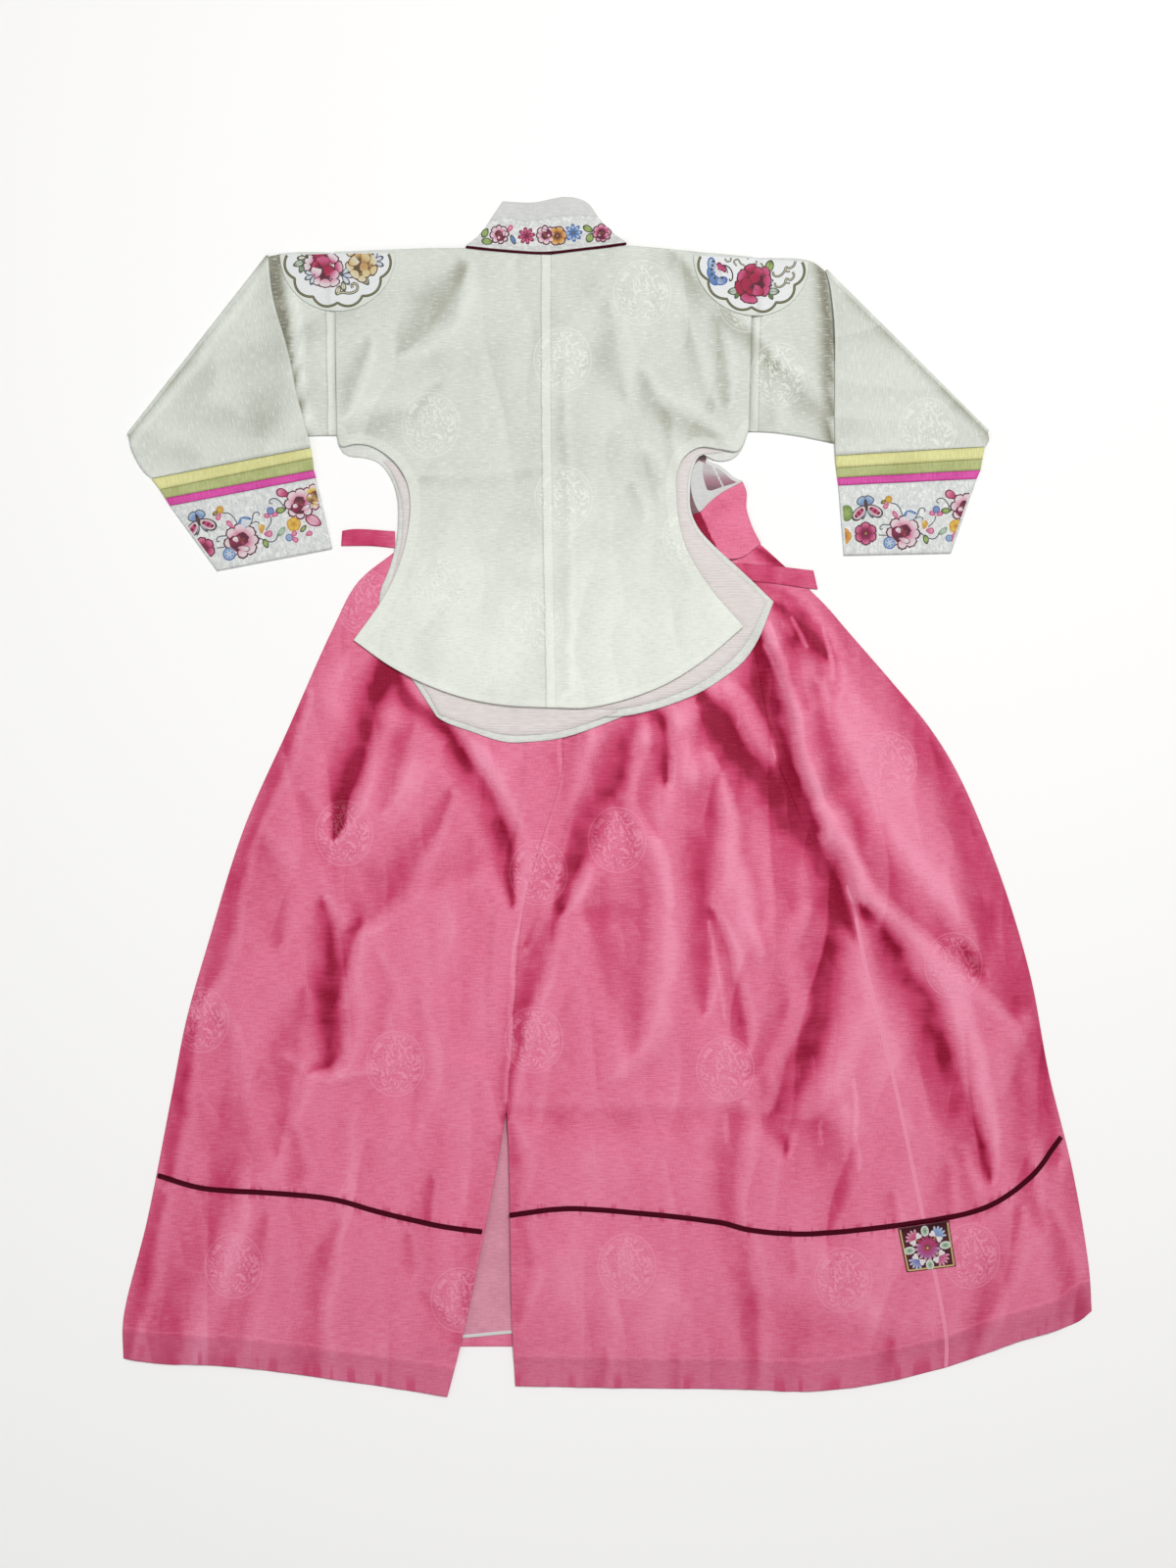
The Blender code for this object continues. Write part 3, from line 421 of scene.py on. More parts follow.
class Paint:
    """Writes one material's nodes."""

    def __init__(self, name):
        self.material = bpy.data.materials.new(name)
        self.material.use_nodes = True
        self.tree = self.material.node_tree
        self.shader = self.tree.nodes["Principled BSDF"]

    def node(self, kind, settings=(), **values):
        """Any node: settings first, then values or wires of its sockets by name or place."""
        made = self.tree.nodes.new(kind)
        for key, value in dict(settings).items():
            setattr(made, key, value)
        for key, value in values.items():
            key = key.replace("_", " ")
            self.plug(made.inputs[int(key[1:]) if key[0] == "i" and key[1:].isdigit() else key], value)
        return made

    def plug(self, socket, value):
        if isinstance(value, Wire):
            self.tree.links.new(value.socket, socket)
        elif hasattr(value, "links"):
            self.tree.links.new(value, socket)
        else:
            socket.default_value = value

    def math(self, operation, *values):
        made = self.tree.nodes.new("ShaderNodeMath")
        made.operation = operation
        for socket, value in zip(made.inputs, values):
            self.plug(socket, value)
        return Wire(self, made.outputs[0])

    def step(self, value, low, high):
        """0 below low, 1 above high, smooth between."""
        made = self.node("ShaderNodeMapRange", {"interpolation_type": "SMOOTHSTEP"},
                         Value=value, From_Min=low, From_Max=high)
        return Wire(self, made.outputs["Result"])

    def near(self, value, centre, width):
        """A soft line where value is close to centre."""
        return 1 - self.step(self.math("ABSOLUTE", value - centre), width * 0.45, width * 0.75)

    def mix(self, share, first, second):
        made = self.node("ShaderNodeMix", {"data_type": "RGBA"}, i0=share)
        self.plug(made.inputs[6], first)
        self.plug(made.inputs[7], second)
        return made.outputs[2]

    def layers(self, base, *coats):
        """A base colour under coats of (share, colour)."""
        for share, colour in coats:
            base = self.mix(share, base, colour)
        return base

    def attribute(self, name, output="Fac"):
        made = self.node("ShaderNodeAttribute", {"attribute_name": name})
        return Wire(self, made.outputs[output]) if output == "Fac" else made.outputs[output]

    def cloth(self):
        return self.node("ShaderNodeUVMap", {"uv_map": "Cloth"}).outputs["UV"]

    def noise(self, vector, across, along, detail=3.0, turn=0.0):
        """Streaky noise on cloth coordinates: repeats in a metre across and along."""
        made = self.node("ShaderNodeMapping", (), Vector=vector, Scale=(across, along, 1.0),
                         Rotation=(0.0, 0.0, turn))
        made = self.node("ShaderNodeTexNoise", (), Vector=made.outputs["Vector"], Scale=1.0, Detail=detail)
        return Wire(self, made.outputs[0])

    def crease(self, vector, across, along, turn):
        """Painted creases: a painted highlight on one side and painted shade on the other of wandering
        lines.
        """
        made = [self.node("ShaderNodeMapping", (), Vector=vector, Scale=(across, along, 1.0),
                          Rotation=(0.0, 0.0, turn), Location=(shift, 0.0, 0.0)) for shift in (0.0, 0.04)]
        first, second = (self.node("ShaderNodeTexNoise", (), Vector=place.outputs["Vector"], Scale=1.0,
                                   Detail=1.0) for place in made)
        return (self.math("ABSOLUTE", Wire(self, first.outputs[0]) - 0.5)
                - self.math("ABSOLUTE", Wire(self, second.outputs[0]) - 0.5))

    def finish(self, colour, roughness, bump=None, bump_height=0.0004, strength=1.0, sheen=0.0,
               specular=0.5, gloss=(1.0, 1.0, 1.0)):
        self.plug(self.shader.inputs["Base Color"], colour)
        self.plug(self.shader.inputs["Roughness"], roughness)
        self.shader.inputs["Sheen Weight"].default_value = sheen
        self.shader.inputs["Sheen Roughness"].default_value = 0.4
        self.shader.inputs["Specular Tint"].default_value = opaque(gloss)
        self.shader.inputs["Specular IOR Level"].default_value = specular
        if bump is not None:
            made = self.node("ShaderNodeBump", (), Strength=strength, Distance=bump_height, Height=bump)
            self.plug(self.shader.inputs["Normal"], made.outputs["Normal"])
        return self.material


def opaque(colour):
    return (*colour, 1.0)


# ================================================================ finishes
class Finishes:
    """One material for each cloth or thread, made once."""

    def __init__(self, colours):
        self.colours = colours
        self.made = {}

    def get(self, name):
        if name not in self.made:
            paint = Paint(name)
            self.made[name] = (self.plain_silk(paint, PLAIN_SILKS[name]) if name in PLAIN_SILKS
                               else getattr(self, name)(paint))
        return self.made[name]

    # -- what the woven silks share
    def ring_figure(self, paint):
        """Woven medallion: two rings round a scrolling cloud figure."""
        place = paint.attribute("ring", "Vector")
        radius = Wire(paint, paint.node("ShaderNodeVectorMath", {"operation": "LENGTH"},
                                        i0=place).outputs["Value"])
        rings = paint.near(radius, 0.97, 0.05) * 0.6 + paint.near(radius, 0.88, 0.04) * 0.35
        warp = paint.node("ShaderNodeTexNoise", (), Vector=place, Scale=2.3, Detail=2.0)
        bent = paint.node("ShaderNodeVectorMath", {"operation": "MULTIPLY_ADD"}, i0=warp.outputs[1],
                          i1=(1.1, 1.1, 0.0), i2=place)
        cloud = paint.node("ShaderNodeTexNoise", (), Vector=bent.outputs[0], Scale=3.9, Detail=0.5)
        level = Wire(paint, cloud.outputs[0])
        scroll = paint.step(paint.math("SINE", level * 23.0), -0.1, 0.7)
        inside = 1 - paint.step(radius, 0.82, 0.88)
        return paint.math("MINIMUM", rings + scroll * inside, 1.0)

    def cream_silk(self, paint):
        cloth = paint.cloth()
        slub = paint.noise(cloth, 130.0, 750.0)
        warp = paint.noise(cloth, 1100.0, 110.0, 2.0)
        patch = paint.noise(cloth, 12.0, 18.0, 3.0)
        figure = self.ring_figure(paint)
        pucker = paint.noise(cloth, 140.0, 60.0, 2.0)
        allowance = paint.attribute("allowance") + (pucker - 0.5) * 2.5
        band = 1 - paint.step(allowance, 7.4, 8.6)
        turned = 1 - paint.step(paint.attribute("hem"), 8.5, 9.5)
        # Painted shading: the tone attribute's painted shade and highlights of the creases, with random
        # patches and painted creases.
        tone = paint.attribute("tone") + (patch - 0.5) * 0.35 + paint.crease(cloth, 15.0, 6.0, 0.2) * 2.4
        fleck = slub * 0.7 + warp * 0.3
        # Paler and deeper copies of the jacket silk chosen by tone: painted shadow, painted shade, the silk
        # and a painted highlight; then its real slubs, dark flecks, seam allowance and woven figures.
        base = paint.layers(self.colours.cream_dark,
                            (paint.step(tone, -0.25, 0.2), self.colours.cream_deep),
                            (paint.step(tone, -0.05, 0.6), self.colours.cream),
                            (paint.step(tone, 0.5, 1.1), self.colours.cream_light),
                            (paint.step(fleck, 0.52, 0.68) * 0.5, self.colours.cream_light),
                            (0.16 - paint.step(fleck, 0.36, 0.5) * 0.16, self.colours.cream_deep),
                            (band * 0.4 + turned * 0.25, self.colours.cream_band),
                            (paint.near(allowance, 8.6, 1.4) * 0.25, self.colours.cream_deep),
                            (figure * 0.42, self.colours.cream_light))
        rough = 0.6 - paint.step(slub, 0.5, 0.8) * 0.14 - figure * 0.12
        bump = slub * 0.8 + warp * 0.5 + figure * 0.4 + band * 0.3 + pucker * band * 0.8
        return paint.finish(base, rough, bump, 0.0005, 0.8, sheen=0.05, specular=0.35)

    def pink_satin(self, paint):
        cloth = paint.cloth()
        weft = paint.noise(cloth, 90.0, 1000.0, 2.0)
        warp = paint.noise(cloth, 900.0, 200.0, 2.0)
        patch = paint.noise(cloth, 22.0, 9.0, 4.0)
        mottle = paint.noise(cloth, 60.0, 400.0, 3.0)
        figure = self.ring_figure(paint)
        # Painted shading: the tone attribute's painted shade and highlights of the folds, with random
        # patches and mottle, and painted creases.
        tone = (paint.attribute("tone") + (patch - 0.5) * 0.5 + (mottle - 0.5) * 0.16
                + paint.crease(cloth, 13.0, 4.0, 0.12) * 3.4 + paint.crease(cloth, 34.0, 14.0, -0.3) * 1.2)
        grain = weft * 0.65 + warp * 0.35
        # Share of painted light.
        painted_lit = paint.step(tone, 0.0, 0.6)
        hem = paint.attribute("hem")
        # Painted shade: short dark marks of gathers above the hem and beside the piping.
        painted_pucker_ticks = (paint.step(paint.noise(cloth, 74.0, 8.0, 1.0), 0.56, 0.64)
                 * (1 - paint.step(hem, 5.0, 19.0))
                 + paint.step(paint.noise(cloth, 150.0, 20.0, 1.0), 0.54, 0.63)
                 * (1 - paint.step(paint.attribute("piping"), 3.0, 9.0)))
        # Painted highlight on the side seam's fold line, shown only where the painted shading is light.
        seam = paint.near(paint.attribute("allowance"), 0.5, 1.8) * paint.step(tone, 0.25, 0.5)
        # Paler and deeper copies of the satin chosen by tone: painted shadow, painted shade, the satin and
        # a painted highlight; pale grain and woven figures brighter where light is painted; dark grain, the
        # turned hem, the painted gather marks and the seam's painted highlight.
        base = paint.layers(self.colours.pink_deep,
                            (paint.step(tone, -0.05, 0.24), self.colours.pink_dusk),
                            (paint.step(tone, 0.12, 0.66), self.colours.pink),
                            (paint.step(tone, 0.58, 1.05), self.colours.pink_light),
                            (paint.step(grain, 0.46, 0.62) * painted_lit * 0.3, self.colours.pink_light),
                            (0.22 - paint.step(grain, 0.38, 0.5) * 0.22, self.colours.pink_dusk),
                            (figure * (painted_lit * 0.52 + 0.14), self.colours.pink_light),
                            (0.32 - paint.step(hem, 24.0, 28.0) * 0.32, self.colours.pink_mauve),
                            (paint.near(hem, 29.0, 2.0) * 0.14, self.colours.pink_light),
                            (paint.math("MINIMUM", painted_pucker_ticks * 0.6, 1.0), self.colours.pink_dusk),
                            (seam * 0.85, self.colours.pink_light))
        rough = 0.46 - figure * 0.06 - (weft - 0.5) * 0.12
        bump = weft * 0.6 + warp * 0.5 + figure * 0.5 + mottle * 0.4
        return paint.finish(base, rough, bump, 0.0004, 0.8, specular=0.35, gloss=(0.9, 0.25, 0.42))

    def plain_silk(self, paint, tone, strength=0.4, bound=None):
        cloth = paint.cloth()
        weft = paint.noise(cloth, 120.0, 900.0, 2.0)
        warp = paint.noise(cloth, 900.0, 90.0, 2.0)
        patch = paint.noise(cloth, 30.0, 30.0, 2.0)
        base = paint.mix(paint.step(weft * 0.5 + warp * 0.2 + patch * 0.3, 0.38, 0.66),
                         getattr(self.colours, tone + "_deep"), getattr(self.colours, tone))
        if bound:
            base = paint.mix(1 - paint.step(paint.attribute("hem"), 2.6, 3.4), base, bound)
        rough = 0.6 - (weft - 0.5) * 0.2
        return paint.finish(base, rough, weft * 0.6 + warp * 0.4, 0.0004, strength, sheen=0.1,
                            specular=0.35)

    def lilac_lining(self, paint):
        """Thin silk with fine crosswise ribs."""
        cloth = paint.cloth()
        split = paint.node("ShaderNodeSeparateXYZ", (), Vector=cloth)
        wobble = paint.noise(cloth, 25.0, 25.0, 2.0)
        rib = paint.math("SINE", (Wire(paint, split.outputs["Y"]) + wobble * 0.002) * 2600.0)
        weft = paint.noise(cloth, 90.0, 700.0, 2.0)
        base = paint.mix(paint.step(rib * 0.06 + weft, 0.2, 0.8), self.colours.lining_deep,
                         self.colours.lining)
        return paint.finish(base, 0.6 - rib * 0.04, rib * 0.3 + weft * 0.4, 0.0004, 0.5, specular=0.3)

    def mauve_lining(self, paint):
        """Dull lining silk, bound in white along its hem."""
        return self.plain_silk(paint, "mauve", 0.5, self.colours.white)

    def shaded_lining(self, paint):
        """The lining inside the bodice in painted shade, with a painted shadow under the jacket, and pale
        along its rim.
        """
        tone = paint.attribute("tone") + (paint.noise(paint.cloth(), 60.0, 200.0) - 0.5) * 0.3
        rim = 1 - paint.step(paint.attribute("hem"), 2.2, 3.2)
        # Painted shadow, painted shade and a paler copy chosen by tone, then the white bound rim.
        base = paint.layers(self.colours.shade_deep, (paint.step(tone, -0.1, 0.5), self.colours.shade),
                            (paint.step(tone, 0.4, 1.1), self.colours.white_deep),
                            (rim, self.colours.white))
        return paint.finish(base, 0.6, specular=0.3)

    def cuff_silk(self, paint):
        """White silk with a small scrolling figure all over."""
        cloth = paint.cloth()
        weft = paint.noise(cloth, 200.0, 600.0, 2.0)
        scroll = paint.step(paint.math("SINE", paint.noise(cloth, 120.0, 120.0, 1.0) * 36.0), -0.6, 0.9)
        patch = paint.noise(cloth, 160.0, 220.0, 3.0)
        base = paint.mix(paint.step(scroll * 0.09 + weft * 0.45 + patch * 0.5, 0.34, 0.74),
                         self.colours.cuff_deep, self.colours.cuff)
        return paint.finish(base, 0.55 - scroll * 0.1, weft * 0.5 + scroll * 0.5, 0.0004, 0.6, specular=0.3)

    def badge_silk(self, paint):
        """Bluish white within the scalloped line, cream outside it."""
        cloth = paint.cloth()
        weft = paint.noise(cloth, 200.0, 900.0, 2.0)
        inside = paint.step(paint.attribute("allowance"), -0.4, 0.4)
        base = paint.mix(inside, self.colours.cream, self.colours.badge)
        base = paint.mix(paint.step(weft, 0.3, 0.6) * -0.25 + 0.25, base, self.colours.cuff_deep)
        return paint.finish(base, 0.5, weft, 0.0003, 0.4, sheen=0.1, specular=0.4)

    def piping_cord(self, paint):
        """Bias-covered cord: fine slanting ribs along its run."""
        cloth = paint.cloth()
        split = paint.node("ShaderNodeSeparateXYZ", (), Vector=cloth)
        twist = Wire(paint, split.outputs["X"]) + Wire(paint, split.outputs["Y"])
        rib = paint.math("SINE", twist * 5200.0)
        base = paint.mix(paint.step(rib, -1.0, 1.0), self.colours.maroon_deep, self.colours.maroon)
        return paint.finish(base, 0.55, rib, 0.0003, 0.6, specular=0.3, gloss=(0.8, 0.2, 0.3))

    def silk_thread(self, paint):
        """Satin stitch: the thread's own colour, with a lay of fine parallel strands."""
        colour = paint.attribute("thread", "Color")
        strand = paint.math("SINE", paint.attribute("strand") * 12.0)
        base = paint.mix(paint.step(strand, -1.0, 1.0) * 0.08, colour, opaque((1.0, 1.0, 1.0)))
        base = paint.mix(paint.step(strand, -1.0, 0.2) * -0.16 + 0.16, base, opaque((0.05, 0.02, 0.03)))
        return paint.finish(base, 0.45, strand, 0.0003, 0.6, specular=0.25)

    def floor_card(self, paint):
        place = paint.node("ShaderNodeTexCoord").outputs["Object"]
        grain = Wire(paint, paint.node("ShaderNodeTexNoise", (), Vector=place, Scale=3.0).outputs[0])
        base = paint.mix(grain * 0.05, opaque((0.98, 0.98, 0.98)), opaque((0.94, 0.94, 0.94)))
        return paint.finish(base, 0.9, specular=0.1)


# Finishes that are plain silk in one colour and its hollows.
PLAIN_SILKS = {"front_facing": "front", "white_facing": "white", "yellow_silk": "yellow",
               "green_silk": "green", "magenta_silk": "magenta", "maroon_ground": "maroon"}


class Colours:
    """The named colours, taken from the sidebar's settings."""

    def __init__(self, settings):
        for name in COLOURS:
            setattr(self, name, opaque(getattr(settings, name)))


# The sidebar's colours: label and 0-255 display values.
COLOURS = {
    "cream": ("Jacket silk", (211, 216, 208)),
    # The next three: the jacket silk's painted highlight, also its slubs and woven figures; its painted
    # shade, also its dark flecks and seam edges; its painted shadow.
    "cream_light": ("Slubs and woven figures of the jacket silk", (238, 242, 233)),
    "cream_deep": ("Hollows of the jacket silk", (152, 152, 136)),
    "cream_dark": ("Deepest hollows of the jacket silk", (116, 115, 101)),
    "cream_band": ("Seam allowances showing through the jacket silk", (239, 242, 232)),
    "pink": ("Skirt satin", (222, 117, 148)),
    # The next three: the satin's painted highlight, also its pale grain and woven figures; its painted
    # shade on fold flanks and gather marks, also its dark grain; its painted shadow in hollows.
    "pink_light": ("Crests and woven figures of the satin", (238, 150, 178)),
    "pink_dusk": ("Flanks of the satin's folds", (192, 58, 98)),
    "pink_deep": ("Hollows of the satin", (134, 8, 40)),
    "pink_mauve": ("Turned-up hem seen through the satin", (170, 84, 112)),
    "lining": ("Jacket lining", (227, 221, 220)),
    "lining_deep": ("Jacket lining, between ribs", (212, 204, 202)),
    "mauve": ("Skirt lining", (222, 152, 172)),
    "mauve_deep": ("Skirt lining, hollows", (204, 132, 154)),
    # The bodice lining in painted shade, and in painted shadow under the jacket.
    "shade": ("Lining inside the bodice", (158, 116, 128)),
    "shade_deep": ("Lining inside the bodice, under the jacket", (66, 46, 46)),
    "front": ("Inside of the jacket fronts", (228, 230, 226)),
    "front_deep": ("Inside of the jacket fronts, hollows", (206, 208, 202)),
    "white": ("Facings and collar strip", (214, 214, 212)),
    "white_deep": ("Facings, hollows", (198, 199, 198)),
    "cuff": ("Cuff and collar ground", (230, 232, 228)),
    "cuff_deep": ("Cuff and collar ground, hollows", (196, 199, 200)),
    "badge": ("Badge ground", (222, 225, 226)),
    "yellow": ("First sleeve stripe", (226, 225, 160)),
    "yellow_deep": ("First sleeve stripe, hollows", (206, 204, 138)),
    "green": ("Second sleeve stripe", (186, 193, 134)),
    "green_deep": ("Second sleeve stripe, hollows", (162, 170, 108)),
    "magenta": ("Third sleeve stripe", (222, 84, 172)),
    "magenta_deep": ("Third sleeve stripe, hollows", (196, 62, 148)),
    "maroon": ("Piping", (84, 6, 28)),
    "maroon_deep": ("Piping, hollows", (48, 2, 14)),
}


class Dressing:
    """What the operators share: the bed and the finishes."""

    def __init__(self):
        self.bed = Bed()
        self.finishes = None


work = Dressing()


# ================================================================ mesh making
def make(name, points, faces, finish, uv=None, floats=(), vectors=()):
    """A mesh object from millimetre points, with its maps and attributes."""
    mesh = bpy.data.meshes.new(name)
    mesh.from_pydata((np.asarray(points) * MM).tolist(), [], faces)
    mesh.materials.append(work.finishes.get(finish))
    mesh.shade_smooth()
    if uv is not None:
        corner = np.zeros(len(mesh.loops), int)
        mesh.loops.foreach_get("vertex_index", corner)
        layer = mesh.uv_layers.new(name="Cloth")
        layer.data.foreach_set("uv", (np.asarray(uv)[corner] * MM).ravel())
    for label, values in dict(floats).items():
        mesh.attributes.new(label, "FLOAT", "POINT").data.foreach_set(
            "value", np.asarray(values, np.float32).ravel())
    for label, values in dict(vectors).items():
        mesh.attributes.new(label, "FLOAT_VECTOR", "POINT").data.foreach_set(
            "vector", np.asarray(values, np.float32).ravel())
    piece = bpy.data.objects.new(name + CLOTH, mesh)
    bpy.context.collection.objects.link(piece)
    return piece


def plain_floats(count):
    """Attributes of cloth with no edge near and no folds."""
    return {"allowance": np.full(count, FAR), "hem": np.full(count, FAR), "tone": np.full(count, TONE)}


def hand_over(piece):
    """Ride on the one body and stand for the solid of the same name."""
    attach(piece, BODY)
    if piece.name.endswith(CLOTH):
        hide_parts(piece.name.removesuffix(CLOTH))


# Woven medallions: centre of each ring, on the jacket and on the skirt.
RING_RADIUS = 27.0
RING_TALL = 1.13     # they are taller than wide
RING_REACH = 1.15    # radii within which a point belongs to a medallion
JACKET_RINGS = [
    (33, 461), (-161, 340), (-39, 272), (-66, 160), (-152, 191), (128, 455), (294, 335), (-40, 400),
    (78, 236), (158, 386),
]
SKIRT_RINGS = [(-240, -34), (-193, -245), (-372, -205), (109, -250), (258, 29), (318, -155),
               (-62, -70), (-66, -223), (19, -430), (217, -443), (334, -421), (-341, -430),
               (-134, -461), (-222, 178), (10, -40)]


def ring_vectors(points, rings):
    """Place of each point from its nearest medallion's centre, in ring radii, lifted outside it."""
    centres = np.array(rings, float)
    flat = points.reshape(-1, 2)
    gaps = flat[:, None] - centres[None]
    closest = np.argmin((gaps**2).sum(axis=2), axis=1)
    chosen = gaps[np.arange(len(flat)), closest] / (RING_RADIUS, RING_RADIUS * RING_TALL)
    return np.column_stack([chosen, np.where(np.hypot(*chosen.T) > RING_REACH, NO_RING, 0.0)])


def slopes(grid, height):
    """x and y slope of a sheet at its grid points."""
    dr = np.gradient(grid, axis=0)
    dc = np.gradient(grid, axis=1)
    hr = np.gradient(height, axis=0)
    hc = np.gradient(height, axis=1)
    area = dc[..., 0] * dr[..., 1] - dc[..., 1] * dr[..., 0]
    area = np.where(np.abs(area) < 1e-6, 1e-6, area)
    return ((hc * dr[..., 1] - hr * dc[..., 1]) / area,
            (hr * dc[..., 0] - hc * dr[..., 0]) / area)


def grid_faces(plan):
    """Faces of a grid of plan points that look up, and the points round its rim in the same turn."""
    rows, columns = plan.shape[:2]
    index = np.arange(rows * columns).reshape(rows, columns)
    up = np.stack([index[:-1, :-1], index[:-1, 1:], index[1:, 1:], index[1:, :-1]], axis=-1).reshape(-1, 4)
    rim = np.concatenate([index[0], index[1:, -1], index[-1, -2::-1], index[-2:0:-1, 0]])
    if np.cross(plan[0, 1] - plan[0, 0], plan[1, 0] - plan[0, 0]) < 0:
        return up[:, ::-1], rim[::-1]
    return up, rim


def shell(name, grid, underside, thickness, finish, rings=None, floats=()):
    """A closed wall on a grid of plan points, with a rounded rim."""
    rows, columns = grid.shape[:2]
    count = rows * columns
    under = np.dstack([grid, underside]).reshape(-1, 3)
    thick = np.broadcast_to(thickness, (rows, columns)).ravel()
    over = under + thick[:, None] * (0, 0, 1)
    up, rim = grid_faces(grid)
    ring = grid.reshape(-1, 2)[rim]
    along = np.roll(ring, -1, axis=0) - np.roll(ring, 1, axis=0)
    outward = np.column_stack([along[:, 1], -along[:, 0]])
    outward /= np.maximum(np.linalg.norm(outward, axis=1), 1e-9)[:, None]
    bulge = under[rim] + np.column_stack([outward, np.full(len(rim), 1.25)]) * thick[rim, None] * 0.4
    points = np.vstack([under, over, bulge])
    middle = 2 * count + np.arange(len(rim))
    after = np.roll(rim, -1)
    middle_after = np.roll(middle, -1)
    faces = np.vstack([up[:, ::-1], up + count,
                       np.column_stack([rim, after, middle_after, middle]),
                       np.column_stack([middle, middle_after, count + after, count + rim])])

    def spreadout(values):
        values = values.reshape(count, -1)
        return np.vstack([values, values, values[rim]])

    given = {**plain_floats(count), "piping": np.full(count, FAR)}
    given.update({key: np.asarray(value).ravel() for key, value in dict(floats).items()})
    rings = ring_vectors(grid, rings) if rings else np.full((count, 3), NO_RING)
    return make(name, points, faces.tolist(), finish, uv=spreadout(grid),
                floats={key: spreadout(value) for key, value in given.items()},
                vectors={"ring": spreadout(rings)})


def declare(piece, grid):
    """Hand a sheet over; the size it was cut to is measured but not used."""
    hand_over(piece)
    wide = np.linalg.norm(np.diff(grid, axis=1), axis=2).sum(axis=1).max() * MM
    long = np.linalg.norm(np.diff(grid, axis=0), axis=2).sum(axis=0).max() * MM
    wide = max(wide, SHORTEST)
    long = max(long, SHORTEST)
    return piece


# ================================================================ needlework
THREAD = {name: tint(*value) for name, value in {
    "crimson": (150, 22, 78), "wine": (98, 14, 48), "rose": (222, 96, 146), "blush": (244, 186, 208),
    "snow": (250, 238, 242), "magenta": (196, 48, 118), "orchid": (176, 92, 160), "gold": (206, 160, 72),
    "yellow": (240, 208, 84), "orange": (236, 158, 62), "peach": (232, 192, 126), "honey": (214, 172, 110),
    "leaf": (116, 150, 74), "lime": (170, 196, 112), "olive": (84, 90, 62), "sage": (150, 178, 150),
    "pale_leaf": (206, 222, 206), "sky": (132, 170, 216), "blue": (74, 118, 190), "ice": (206, 224, 244),
    "lavender": (150, 146, 204), "slate": (96, 104, 120), "scallop": (158, 148, 104), "ink": (52, 34, 44),
    "bark": (112, 74, 46), "white": (246, 246, 246), "cherry": (186, 26, 76), "cerise": (208, 62, 110),
    "cream": (240, 234, 208), "straw": (240, 216, 160),
}.items()}
THREAD_LIFT = 0.35   # height of a patch of stitches
THREAD_BASE = 0.04   # air between the cloth and the stitches
OUTLINE = 1.7        # both outlines of a patch together, in table units


def blend_colours(names, share):
    """Thread colours by share along a row of named stops."""
    stops = np.array([THREAD[name] for name in names])
    marks = np.linspace(0, 1, len(stops))
    return np.stack([np.interp(share, marks, stops[:, k]) for k in range(3)], axis=-1)


